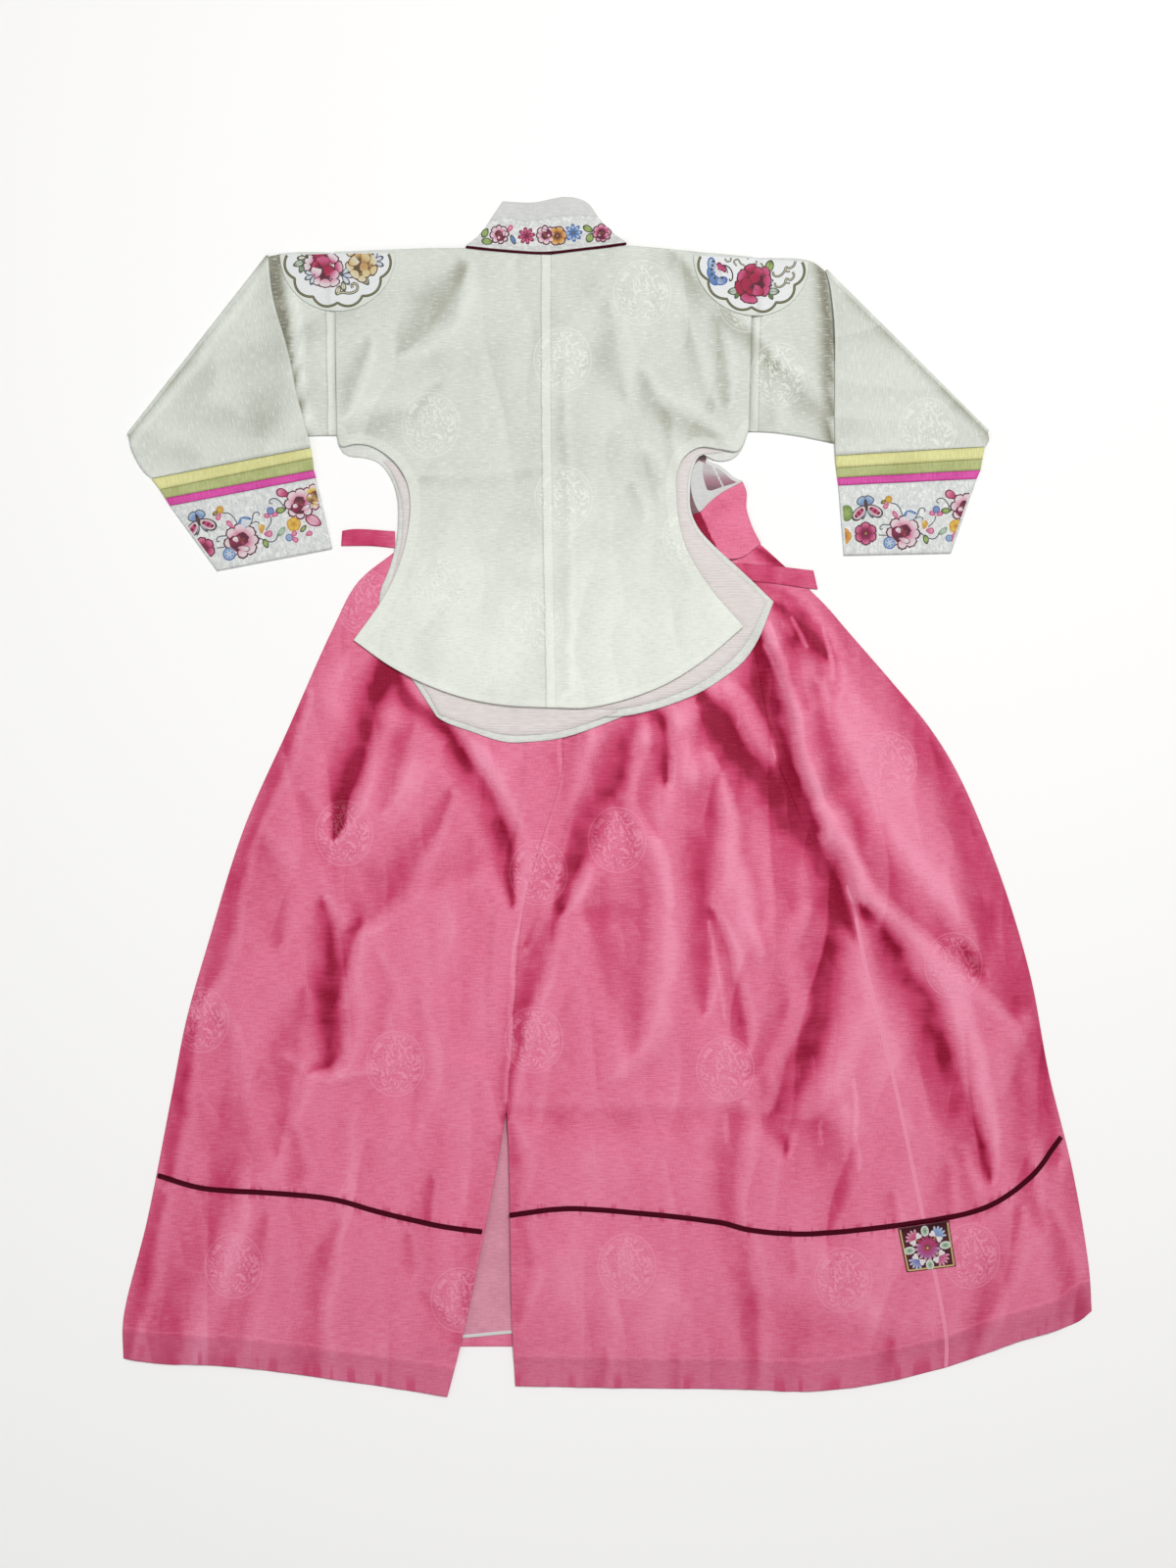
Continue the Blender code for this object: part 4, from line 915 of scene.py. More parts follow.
class Needlework:
    """Satin-stitched motifs gathered into one mesh for each embroidered place."""

    def __init__(self, name, grounds, clip):
        self.name = name
        self.trees = [BVHTree.FromPolygons([v.co for v in g.data.vertices],
                                           [f.vertices for f in g.data.polygons]) for g in grounds]
        self.clip = clip
        self.points, self.faces, self.colours, self.strands = [], [], [], []
        self.count = 0
        self.level = 0.0
        self.put((0, 0))

    def put(self, origin, scale=1.0, turn=0.0):
        """Motifs that follow are drawn from this origin, at this scale and turn."""
        self.origin = np.array(origin, float)
        self.scale = scale
        c, s = heading(turn)
        self.turn = np.array([[c, s], [-s, c]])

    def ground(self, points):
        """Height of the cloth under each point; beyond the cloth, that of the nearest known."""
        heights = []
        last = None
        for x, y in points:
            best = None
            for tree in self.trees:
                hit = tree.ray_cast(Vector((x * MM, y * MM, DROP)), DOWN)[0]
                if hit is not None and (best is None or hit.z > best):
                    best = hit.z
            if best is not None:
                last = best / MM
            heights.append(last)
        known = [h for h in heights if h is not None]
        return np.array([known[0] if h is None else h for h in heights]) if known else None

    def add(self, grid, height, colour, strand):
        """One closed patch of stitches on a grid of local points."""
        plan = self.origin + (grid * self.scale) @ self.turn
        flat = plan.reshape(-1, 2)
        ground = self.ground(flat)
        if ground is None:
            return
        count = len(flat)
        low = np.column_stack([flat, ground + THREAD_BASE])
        high = np.column_stack([flat, ground + THREAD_BASE + self.level + np.ravel(height) * self.scale])
        up, rim = grid_faces(plan)
        after = np.roll(rim, -1)
        faces = np.vstack([up[:, ::-1], up + count,
                           np.column_stack([rim, after, count + after, count + rim])])
        self.faces += (faces + self.count).tolist()
        self.points += [low, high]
        self.colours += [colour.reshape(-1, 3)] * 2
        self.strands += [np.ravel(strand)] * 2
        self.count += 2 * count

    def patch(self, x, y, angle, length, width, names, edge="", point=1.0, full=0.0, waves=0, depth=0.08,
              around=False, lift=THREAD_LIFT):
        """A patch centred at (x, y) with its length along angle, colours from base to tip or centre to rim.

        A point above 1 sharpens its ends, full widens it towards the tip, waves ruffle its edge."""
        rim = min(0.4, OUTLINE / min(length, width))
        half = [1.0, 1 - rim, 0.92 - rim, (0.92 - rim) * 0.5]
        marks = [-mark for mark in half] + [0.0] + half[::-1]
        s, t = np.meshgrid(marks, marks, indexing="ij")
        wide = np.abs(s) >= np.abs(t)
        major, minor = np.where(wide, s, t), np.where(wide, t, s)
        lean = math.pi / 4 * minor / (major + 1e-9)
        turn = np.where(wide, lean, math.pi / 2 - lean) + np.where(major < 0, math.pi, 0.0)
        share = np.maximum(np.abs(s), np.abs(t))
        ahead, aside = np.cos(turn), np.sin(turn)
        ruffle = 1 + (depth * share**2 * (0.6 + 0.4 * ahead) * np.cos(waves * turn) if waves else 0)
        along = length / 2 * share * ahead * ruffle
        side = width / 2 * share * aside * np.abs(aside)**(point - 1) * (1 + full * ahead) * ruffle
        c, d = heading(angle)
        grid = np.stack([x + along * c - side * d, y + along * d + side * c], axis=-1)
        height = lift * (0.3 + 0.7 * np.sqrt(np.clip(1 - share**2, 0, 1)))
        colour = blend_colours(names, share if around else np.clip(0.5 + along / length, 0, 1))
        if edge:
            colour = np.where((share > 0.99 - rim)[..., None], np.array(THREAD[edge]), colour)
        self.add(grid, height, colour, side)

    def petal(self, x, y, angle, length, width, names, edge="", point=1.0, full=0.35, waves=0, depth=0.08):
        """A petal that starts at (x, y) and points along angle."""
        c, s = heading(angle)
        self.patch(x + c * length / 2, y + s * length / 2, angle, length, width, names, edge, point, full,
                   waves, depth)

    def disc(self, x, y, radius, names, edge="", lift=THREAD_LIFT, squash=1.0, angle=0.0):
        """A round dot, its colours from the centre to the rim."""
        self.patch(x, y, angle, radius * 2, radius * 2 * squash, list(names), edge, around=True, lift=lift)

    def line(self, knots, width, name, lift=0.3, cells=None):
        """A stem or outline: a narrow raised row of short stitches."""
        length = running(dense_curve(knots))[-1]
        strip = ribbon(knots, width, cells or max(4, int(length / 1.6)), 2)
        swell = np.array([0.4, 1.0, 0.4])[:, None] * np.ones(strip.shape[1])
        colour = np.broadcast_to(np.array(THREAD[name]), strip.shape[:2] + (3,))
        strand = np.linspace(0, length, strip.shape[1])[None] * np.ones((3, 1))
        self.add(strip, lift * swell, colour, strand)

    def vine(self, knots, width=2.6, dark="olive", light="cream", cells=None):
        """A dark stem with a pale core."""
        self.line(knots, width, dark, 0.3, cells)
        self.level += 0.12
        self.line(knots, width * 0.3, light, 0.3, cells)
        self.level -= 0.12

    def leaf(self, x, y, angle, length, width, dark="leaf", light="lime", edge="olive"):
        """A leaf centred at (x, y), pale along its outline, with a dark vein."""
        c, s = heading(angle)
        self.patch(x, y, angle, length, width, [dark, light, light, dark], edge, 1.35, -0.15)
        self.level += 0.12
        foot, tip = length * 0.36, length * 0.3
        self.line([(x - c * foot, y - s * foot), (x + c * tip, y + s * tip)], 0.7, dark, 0.28)
        self.level -= 0.12

    def sprig(self, x, y, angle, size, dark="slate", light="ice"):
        """Three open leaves in outline, from a dark point."""
        for side in (-46, 46, 0):
            self.petal(x, y, angle + side, size, size * 0.42, [light, "white"], dark, 1.2)
            self.level += 0.015
        self.disc(x, y, size * 0.12, ["ink", dark])
        self.level -= 0.045

    def berry(self, x, y, radius, names=("ice", "ice", "sky"), edge="blue", squash=1.0):
        self.disc(x, y, radius, names, edge, 0.6, squash)
        self.level += 0.35
        for angle in range(20, 380, 60):
            c, s = heading(angle)
            self.disc(x + radius * 0.5 * c, y + radius * 0.5 * s * squash, radius * 0.13, [edge, edge])
        self.level -= 0.35

    def daisy(self, x, y, radius, count, names, centre=("gold", "bark"), edge="", turn=0.0, wide=0.84):
        """A flat flower of equal petals round a small centre."""
        for k in range(count):
            angle = turn + 360 * k / count
            c, s = heading(angle)
            self.petal(x + c * radius * 0.08, y + s * radius * 0.08, angle, radius * 0.92,
                       radius * wide * 2 * math.sin(math.pi / count), names, edge, 1.0, 0.4, 7, 0.06)
            self.level += 0.01
        self.level += 0.2
        self.disc(x, y, radius * 0.16, centre)
        self.level -= 0.2 + 0.01 * count

    def flower(self, x, y, radius, table, names, edge, turn=0.0):
        """Ruffled petals from a table: tones by number, centre, angle, length and width as shares."""
        c, s = heading(turn)
        for tones, px, py, angle, length, width in table:
            self.patch(x + radius * (px * c - py * s), y + radius * (px * s + py * c), turn + angle,
                       radius * length, radius * width, [names[int(tone)] for tone in tones], edge,
                       1.0, 0.25, 9, 0.05)
            self.level += 0.02
        return 0.02 * len(table)

    def peony(self, x, y, radius, names=("wine", "crimson", "rose", "blush", "snow"), edge="wine",
              turn=0.0):
        """An open flower: pale ruffled petals round a deep cup with pale tongues and stamens."""
        rise = self.flower(x, y, radius, PEONY, names, edge, turn)
        for k in range(6):
            angle = math.radians(turn + 150 - 42 * k)
            near, far = radius * 0.05, radius * (0.24 + 0.06 * math.sin(k * 2.0))
            self.line([(x + near * math.cos(angle), y + near * math.sin(angle)),
                       (x + far * math.cos(angle), y + far * math.sin(angle))], 0.9,
                      "gold" if k % 2 else "bark", cells=3)
        self.level -= rise

    def cabbage(self, x, y, radius, names, edge, turn=0.0):
        """A heavy double flower of ruffled petals, packed close."""
        self.level -= self.flower(x, y, radius, CABBAGE, names, edge, turn)

    def butterfly(self, x, y, size, angle):
        """Two broad spotted wings and two small ones about a slim body that points along angle."""
        for mirror in (-1, 1):
            self.petal(x, y, angle + mirror * 36, size * 0.36, size * 0.34, ["lavender", "sky", "ice"],
                       "slate")
            self.petal(x, y, angle + mirror * 158, size * 0.5, size * 0.14, ["white", "slate"], "slate",
                       1.3)
            way = angle + mirror * 130
            c, s = heading(way)
            self.level += 0.05
            self.patch(x + c * size * 0.33, y + s * size * 0.33, way, size * 0.66, size * 0.36,
                       ["cerise", "cerise", "rose", "snow", "snow"], "ink", 1.0, 0.2, around=True)
            self.level += 0.2
            for share in (0.2, 0.36, 0.5):
                self.patch(x + c * size * share, y + s * size * share, way + 70, size * 0.13, size * 0.09,
                           ["wine", "crimson"])
            self.level -= 0.25
        self.level += 0.3
        self.disc(x, y + size * 0.02, size * 0.2, ["bark", "ink"], squash=0.3, angle=angle)
        self.level -= 0.3

    def finish(self, slot):
        """Make the mesh, cut it off at the clip's sides and hand it over."""
        mesh = bpy.data.meshes.new(self.name)
        mesh.from_pydata((np.vstack(self.points) * MM).tolist(), [], self.faces)
        colours = np.vstack(self.colours)
        mesh.attributes.new("thread", "FLOAT_COLOR", "POINT").data.foreach_set(
            "color", np.column_stack([colours, np.ones(len(colours))]).astype(np.float32).ravel())
        mesh.attributes.new("strand", "FLOAT", "POINT").data.foreach_set(
            "value", np.concatenate(self.strands).astype(np.float32))
        clip = np.array(self.clip, float)
        if np.cross(clip[1] - clip[0], clip[2] - clip[1]) < 0:
            clip = clip[::-1]
        shape = bmesh.new()
        shape.from_mesh(mesh)
        for a, b in zip(clip, np.roll(clip, -1, axis=0)):
            along = b - a
            outward = Vector((along[1], -along[0], 0)).normalized()
            bmesh.ops.bisect_plane(shape, geom=shape.verts[:] + shape.edges[:] + shape.faces[:], dist=1e-7,
                                   plane_co=(a[0] * MM, a[1] * MM, 0), plane_no=outward, clear_outer=True)
            open_edges = [e for e in shape.edges if e.is_boundary]
            if open_edges:
                bmesh.ops.holes_fill(shape, edges=open_edges, sides=0)
        shape.to_mesh(mesh)
        shape.free()
        mesh.materials.append(work.finishes.get("silk_thread"))
        mesh.shade_smooth()
        mesh.set_sharp_from_angle(angle=math.radians(50))
        piece = bpy.data.objects.new(self.name, mesh)
        bpy.context.collection.objects.link(piece)
        hand_over(piece)
        return piece


# Flowers as shares of their radius: tones by number, centre, angle, length and width of each petal.
PEONY = [("12344", 0.56 * heading(way)[0], 0.56 * heading(way)[1], way, 0.9, wide)
         for way, wide in ((222, 0.6), (180, 0.62), (132, 0.66), (84, 0.74), (36, 0.74), (-6, 0.6),
                           (-50, 0.74), (-94, 0.6))] + [
    ("1100", 0.08, 0.06, 40, 0.9, 0.8), ("0011", -0.3, -0.12, 105, 1.05, 0.72),
    ("1344", -0.28, 0.08, 110, 0.56, 0.42), ("0344", 0.04, -0.44, -18, 0.94, 0.36)]
CABBAGE = [
    ("0011", 0.0, -0.05, 90, 1.6, 1.5), ("2344", -0.72, 0.42, 150, 0.62, 0.72),
    ("344", -0.86, 0.08, 190, 0.5, 0.5), ("0112", -0.13, 0.7, 90, 0.7, 0.9),
    ("1244", 0.5, 0.5, 60, 0.64, 0.78), ("1234", 0.88, 0.04, 10, 0.52, 0.72),
    ("2344", -0.38, -0.62, 235, 0.6, 0.7), ("2344", 0.13, -0.8, 265, 0.56, 0.8),
    ("2344", 0.64, -0.78, 300, 0.5, 0.62), ("1234", 0.6, -0.34, 330, 0.7, 0.6),
    ("0122", 0.0, 0.3, 90, 0.84, 0.86), ("0112", 0.3, -0.1, 300, 0.84, 0.64),
    ("0012", -0.3, 0.12, 150, 0.7, 0.6), ("1344", -0.38, -0.22, 70, 0.86, 0.68),
]
# The cuff's spray, from the heart of its first peony.
CUFF_SPRAY = [
    ("line", [(-13, 30), (-7, 28.6), (-3, 23.6), (-0.7, 16), (-0.4, 12)], 1.1, "slate"),
    ("line", [(7, 9), (11.4, 13.6), (14.3, 18), (16.4, 23.6), (19.3, 25), (22.6, 22.9), (21.4, 21)],
     1.1, "slate"),
    ("line", [(12.5, 14.5), (17, 15.7), (20.4, 14.3), (19.3, 12)], 1.0, "slate"),
    ("line", [(-14, 7.5), (-20.7, 8), (-23.6, 5.7), (-23.2, 2.9), (-21, 3.9)], 1.1, "slate"),
    ("line", [(-11, -2.9), (-17, -2.9), (-25, -2.6)], 1.0, "slate"),
    ("line", [(25.5, 5.6), (31.4, 11.4), (33.2, 17.1)], 1.0, "slate"),
    ("line", [(17, 0), (25.7, -5.7), (31.4, -6.4), (35, -3.6), (36.6, 0)], 1.1, "slate"),
    ("line", [(47, 25), (45, 30), (40, 34.6), (35, 33.9), (33.9, 31), (36.4, 30)], 1.1, "slate"),
    ("line", [(-14, 13), (-19, 17), (-26, 16)], 0.8, "pale_leaf"), ("butterfly", -38, 27.4, 30, 98),
    ("disc", -15, 33.6, 3.9, ["yellow", "gold"], "orange"),
    ("leaf", -20, 31.2, 30, 7, 4, "leaf", "gold"),
    ("petal", -15, 30, 228, 7.5, 5, ["rose", "blush"], "rose"),
    ("daisy", -38.2, -1.1, 12, 6, ["wine", "crimson", "crimson", "rose", "rose", "blush"],
     ("gold", "crimson"), "wine", 32, 0.78),
    ("berry", -13.9, -10.6, 6.4), ("petal", -5, 13, 122, 10.5, 4.6, ["rose", "blush"], "rose", 1.3),
    ("patch", 6.6, 16, 60, 12, 11, ["ice", "white"], "", 1.0),
    ("patch", 2.4, 18.6, 60, 9.5, 3.6, ["blue", "sky"], ""),
    ("patch", 9, 20.6, -18, 9.5, 3.4, ["sky", "sky"], "blue"),
    ("petal", 20.6, 3.4, 74, 9, 5.4, ["gold", "yellow"], "orange"),
    ("petal", 22, 8, 120, 6, 4, ["yellow", "cream"]),
    ("petal", 23, 2.4, -8, 8.6, 6.2, ["rose", "blush"], "rose"), ("leaf", 23.2, -7.1, -78, 10, 6),
    ("petal", 33, 18, 160, 7, 4.6, ["rose", "blush"], "rose"),
    ("petal", 33.6, 18, 15, 7, 4.6, ["rose", "blush"], "rose"),
    ("disc", 33.6, 23.4, 3.8, ["sky", "lavender"], "blue"), ("leaf", 43.6, 22.1, 5, 11, 6.4),
    ("leaf", 40.7, 1.6, 42, 11.5, 5.6, "sage", "pale_leaf", "sage"),
    ("petal", 54.5, 35, 151, 13.5, 8.6, ["crimson", "rose", "blush"], "crimson", 1.2),
    ("daisy", 53.6, 6.4, 7, 5, ["orange", "yellow", "yellow"], ("leaf", "orange"), "orange", 10),
    ("disc", 46.8, -5.7, 3.6, ["sky", "ice"], "blue"),
    ("petal", 49, -5, 35, 7, 5, ["rose", "blush"], "rose"),
    ("petal", 49, -6, -40, 7.5, 5, ["rose", "blush"], "rose"),
    ("leaf", 62, 0.5, 40, 9, 4.5, "gold", "lime"),
    ("petal", 63, -6, 10, 7, 5, ["rose", "blush"], "rose"),
    ("leaf", 73, 6.5, -38, 18, 11, "rose", "blush", "crimson"),
    ("berry", -57.6, 19.6, 6.6, ("lime", "lime", "leaf"), "leaf", 1.25),
    ("daisy", -61, -3.8, 8.4, 5, ["bark", "orange", "yellow"], ("leaf", "bark"), "orange", 0, 0.8),
    ("peony", 0, 0, 17.6, ("wine", "crimson", "rose", "blush", "snow"), "wine", 0),
    ("peony", 78, 29, 13, ("bark", "honey", "orange", "yellow", "snow"), "crimson", 0),
    ("peony", 63, 25, 15.5, ("wine", "crimson", "rose", "blush", "snow"), "wine", 40),
]
# Heart of the spray on each cuff, its scale and its turn in degrees.
CUFF_HEARTS = {"left": ((-334.6, 234.3), 1.04, 10.6), "right": ((272.4, 241.9), 1.0, 0.0)}
PX = 0.9             # one unit of the sprays' tables, in millimetres
CORNER_REACH = 1.4   # a square's corner moves this much further than its sides


def draw(stitches, table):
    """Work each row of a spray's table: the name of a motif and what it takes."""
    for kind, *given in table:
        getattr(stitches, kind)(*given)


def inset_polygon(corners, margin):
    """A convex outline moved in by a margin."""
    corners = np.array(corners, float)
    centre = corners.mean(axis=0)
    return [tuple(corner + (centre - corner) / np.linalg.norm(centre - corner) * margin * CORNER_REACH)
            for corner in corners]


COLLAR_SPRAY = [
    ("leaf", -123.5, 19, 60, 11, 7), ("leaf", -121.5, 10, -8, 12, 8),
    ("petal", -100, 20, 62, 8, 5, ["rose", "blush"], "rose"),
    ("patch", -95, 12, -66, 11, 5, ["sky", "blue"], "slate"),
    ("peony", -108.8, 17.2, 10.2, ("wine", "crimson", "rose", "blush", "snow"), "wine", 100),
    ("daisy", -81.2, 16, 9, 8, ["crimson", "rose", "rose", "blush"], ("wine", "crimson"), "crimson", 10,
     0.56),
    ("daisy", -49.8, 16, 10.4, 6, ["crimson", "bark", "orange", "peach", "cream"], ("gold", "bark"),
     "wine", 10, 0.82),
    ("peony", -61.6, 16.9, 10.2, ("wine", "crimson", "crimson", "blush", "snow"), "wine", 190),
    ("daisy", -33.4, 19, 9.4, 8, ["blue", "sky", "ice", "sky"], ("leaf", "slate"), "blue", 5, 0.54),
    ("leaf", -18.5, 23.2, -28, 12, 7), ("leaf", -16.7, 14, 70, 11, 8),
    ("peony", -4.4, 18.6, 10, ("wine", "wine", "crimson", "rose", "blush"), "wine", 60),
]
SHOULDER_LEFT = [
    ("leaf", -39.6, -10.3, 200, 13, 7, "olive", "pale_leaf"),
    ("leaf", -37, -16, 250, 9, 6, "olive", "sage"), ("sprig", -31, -4, 140, 11, "olive", "cream"),
    ("sprig", -24, -22, 205, 11), ("sprig", 4, -22.4, -5, 13), ("sprig", 36, -9, 25, 12),
    ("patch", 19.8, -16.5, -60, 8, 7, ["olive", "olive"], "olive"),
    ("leaf", 26.6, -26, -52, 17, 9, "olive", "cream"),
    ("vine", [(-0.8, -42), (4.8, -40.2), (12.3, -41), (19.2, -38.4), (20.4, -34), (17.3, -30.9),
              (14.2, -32.7), (15.4, -35.6)], 2.8),
    ("leaf", 0.6, -38, 72, 11, 6, "olive", "cream"), ("leaf", 6, -34, 100, 11, 5.6, "olive", "cream"),
    ("cabbage", 24, -9.5, 16.6, ("bark", "honey", "straw", "straw", "cream"), "bark", -36),
    ("cabbage", -15.2, -15.2, 18.6, ("wine", "cherry", "rose", "blush", "snow"), "wine", 0),
]
SHOULDER_RIGHT = [
    ("vine", [(-15, -8.4), (-18, -4), (-14, -1.5), (-11, -6), (-7, -8)], 1.8),
    ("vine", [(-27, -1), (-25, -4), (-21, -3), (-21, 0)], 1.8),
    ("vine", [(5, -3), (5, -9), (9, -12), (11.6, -8), (9.4, -5)], 1.8),
    ("vine", [(22.4, -13.6), (22, -16), (25, -18.6), (30, -17.6), (34, -13), (35.6, -9), (38.4, -10.4),
              (43, -8), (45.4, -2)], 2.4),
    ("vine", [(35.6, -9), (35.4, -13.6), (39.4, -13.6)], 1.8),
    ("vine", [(24, -25), (24.6, -28.6), (29.4, -29.4), (34, -26), (35.8, -20.8), (40, -22.4),
              (43.6, -18), (42, -14)], 2.4),
    ("vine", [(35.8, -20.8), (35.4, -25), (39.4, -25.4)], 1.8),
    ("leaf", 18.2, -9, 252, 15, 9, "olive", "lime"), ("sprig", -3.7, -0.6, 90, 9, "olive", "leaf"),
    ("leaf", -18.7, -34.6, 190, 12, 8, "olive", "pale_leaf"),
    ("leaf", -15, -39, 240, 8, 5, "olive", "leaf"), ("leaf", 22.6, -34, 0, 13, 8, "olive", "pale_leaf"),
    ("leaf", 20, -39, 300, 8, 5, "olive", "leaf"), ("leaf", 15, -20, 70, 9, 7, "sage", "ice", "leaf"),
    ("sprig", 15, -24, 10, 8), ("patch", -40.6, -7, 95, 15, 8.6, ["sky", "ice"], "blue"),
    ("patch", -41, -16, 100, 14, 9, ["blue", "sky"], "blue"),
    ("patch", -38, -23, 130, 13, 10, ["blue", "sky"], "blue"),
    ("patch", -30.4, -24, 200, 13, 9, ["blue", "ice"], "blue"),
    *[("disc", x, y, 1.5, ["ink", "slate"], "", 0.8) for x, y in
      ((-39, -4), (-39.6, -8), (-40.8, -12.2), (-40.4, -17.2), (-37.4, -21.2), (-30, -21))],
    *[("petal", -32.4, -11, way, 9, 1.7, ["white", "white"]) for way in (150, 178, 205, 232, 258, 284)],
    ("patch", -32.6, -9.6, 100, 10, 6.6, ["rose", "magenta"], "crimson"),
    ("patch", -28.6, -11.4, 120, 9, 4.6, ["rose", "magenta"], "crimson"),
    ("line", [(-27.4, -7.6), (-22.4, -10.4), (-19.3, -16.6), (-20, -23), (-22.6, -24), (-22, -21.6)],
     1.3, "ink"),
    ("line", [(-29, -7), (-25.4, -11), (-24.4, -16)], 1.0, "ink"),
    ("cabbage", 1.4, -27, 18.4, ("wine", "cherry", "cherry", "cerise", "rose"), "wine", 96),
]


# ================================================================ skirt
SKIRT_LEFT = [(-193, 225), (-228, 196), (-251, 153), (-292, 61), (-332, -29), (-366, -138),
              (-385, -205), (-399, -277), (-421, -389), (-443, -480), (-443, -516)]
SKIRT_RIGHT = [
    (141.5, 231), (151, 222.5), (186, 190), (203, 173), (221, 152), (261, 106), (298, 61), (325, 16),
    (362, -74), (389, -164), (406, -254), (428, -344), (443, -434), (445.5, -472.5),
]
SLIT_LEFT_PANEL = [(-53, 220), (-40, 52), (-42, 16), (-63, -52), (-77, -110), (-85, -205),
                   (-91, -281), (-112, -400), (-132, -496), (-146, -551)]
SLIT_RIGHT_PANEL = [(-71, 220), (-66, 52), (-75, -34), (-95, -110), (-100, -205), (-94, -268),
                    (-90, -304), (-86, -486), (-83, -541)]
SIDE_SEAM = [(118, 216), (132, 155), (144, 92), (155, 38), (169, 2), (189, -43), (220, -84),
             (238, -159), (263, -259), (290, -386), (312, -499), (312, -524)]
HEM_LEFT = [(-443, -516), (-411, -520.5), (-373, -521.5), (-335, -524), (-247, -535.5),
            (-170, -547), (-146, -551)]
HEM_RIGHT = [(-83, -541), (26, -543), (128, -544), (178, -546), (229, -542), (267, -535), (312, -524)]
HEM_SIDE = [(312, -524), (342, -513.5), (380, -499.5), (409, -491), (433, -482), (445.5, -472.5)]
HEM_FRONT = [(-436, -509), (-287, -507), (-134, -505), (73, -505), (253, -500), (343, -484),
             (436, -461)]
LINING_HEM = [(-172, -500), (-131, -497), (-86, -493), (-40, -491)]
FRONT_INSET = 9.0    # the front stays hidden by this much under the back's sides
FULLNESS = 4.5       # how far the back stands off the front in the middle
FULL_SIDE = 45.0     # it rises to that over this width from the sides
FULL_HEM = (-545.0, 130.0)      # and from this height of the hem, over this length
WAIST_DIP = (118.0, 60.0)       # folds are pressed flat above this height, over this length
LIGHT_RISE = 4.0     # height of the crests that catch the light
HOLLOW_DEPTH = 4.5

# Two great folds below the right waist: knots, half width, height, fade of both ends.
SKIRT_CRESTS = [
    ([(142, 143), (170, 120), (190, 62), (194, 12), (194, -10)], 19, 9, 0.2),
    ([(194, 5), (212, -25), (232, -55), (246, -95), (258, -150)], 22, 8, 0.25),
]
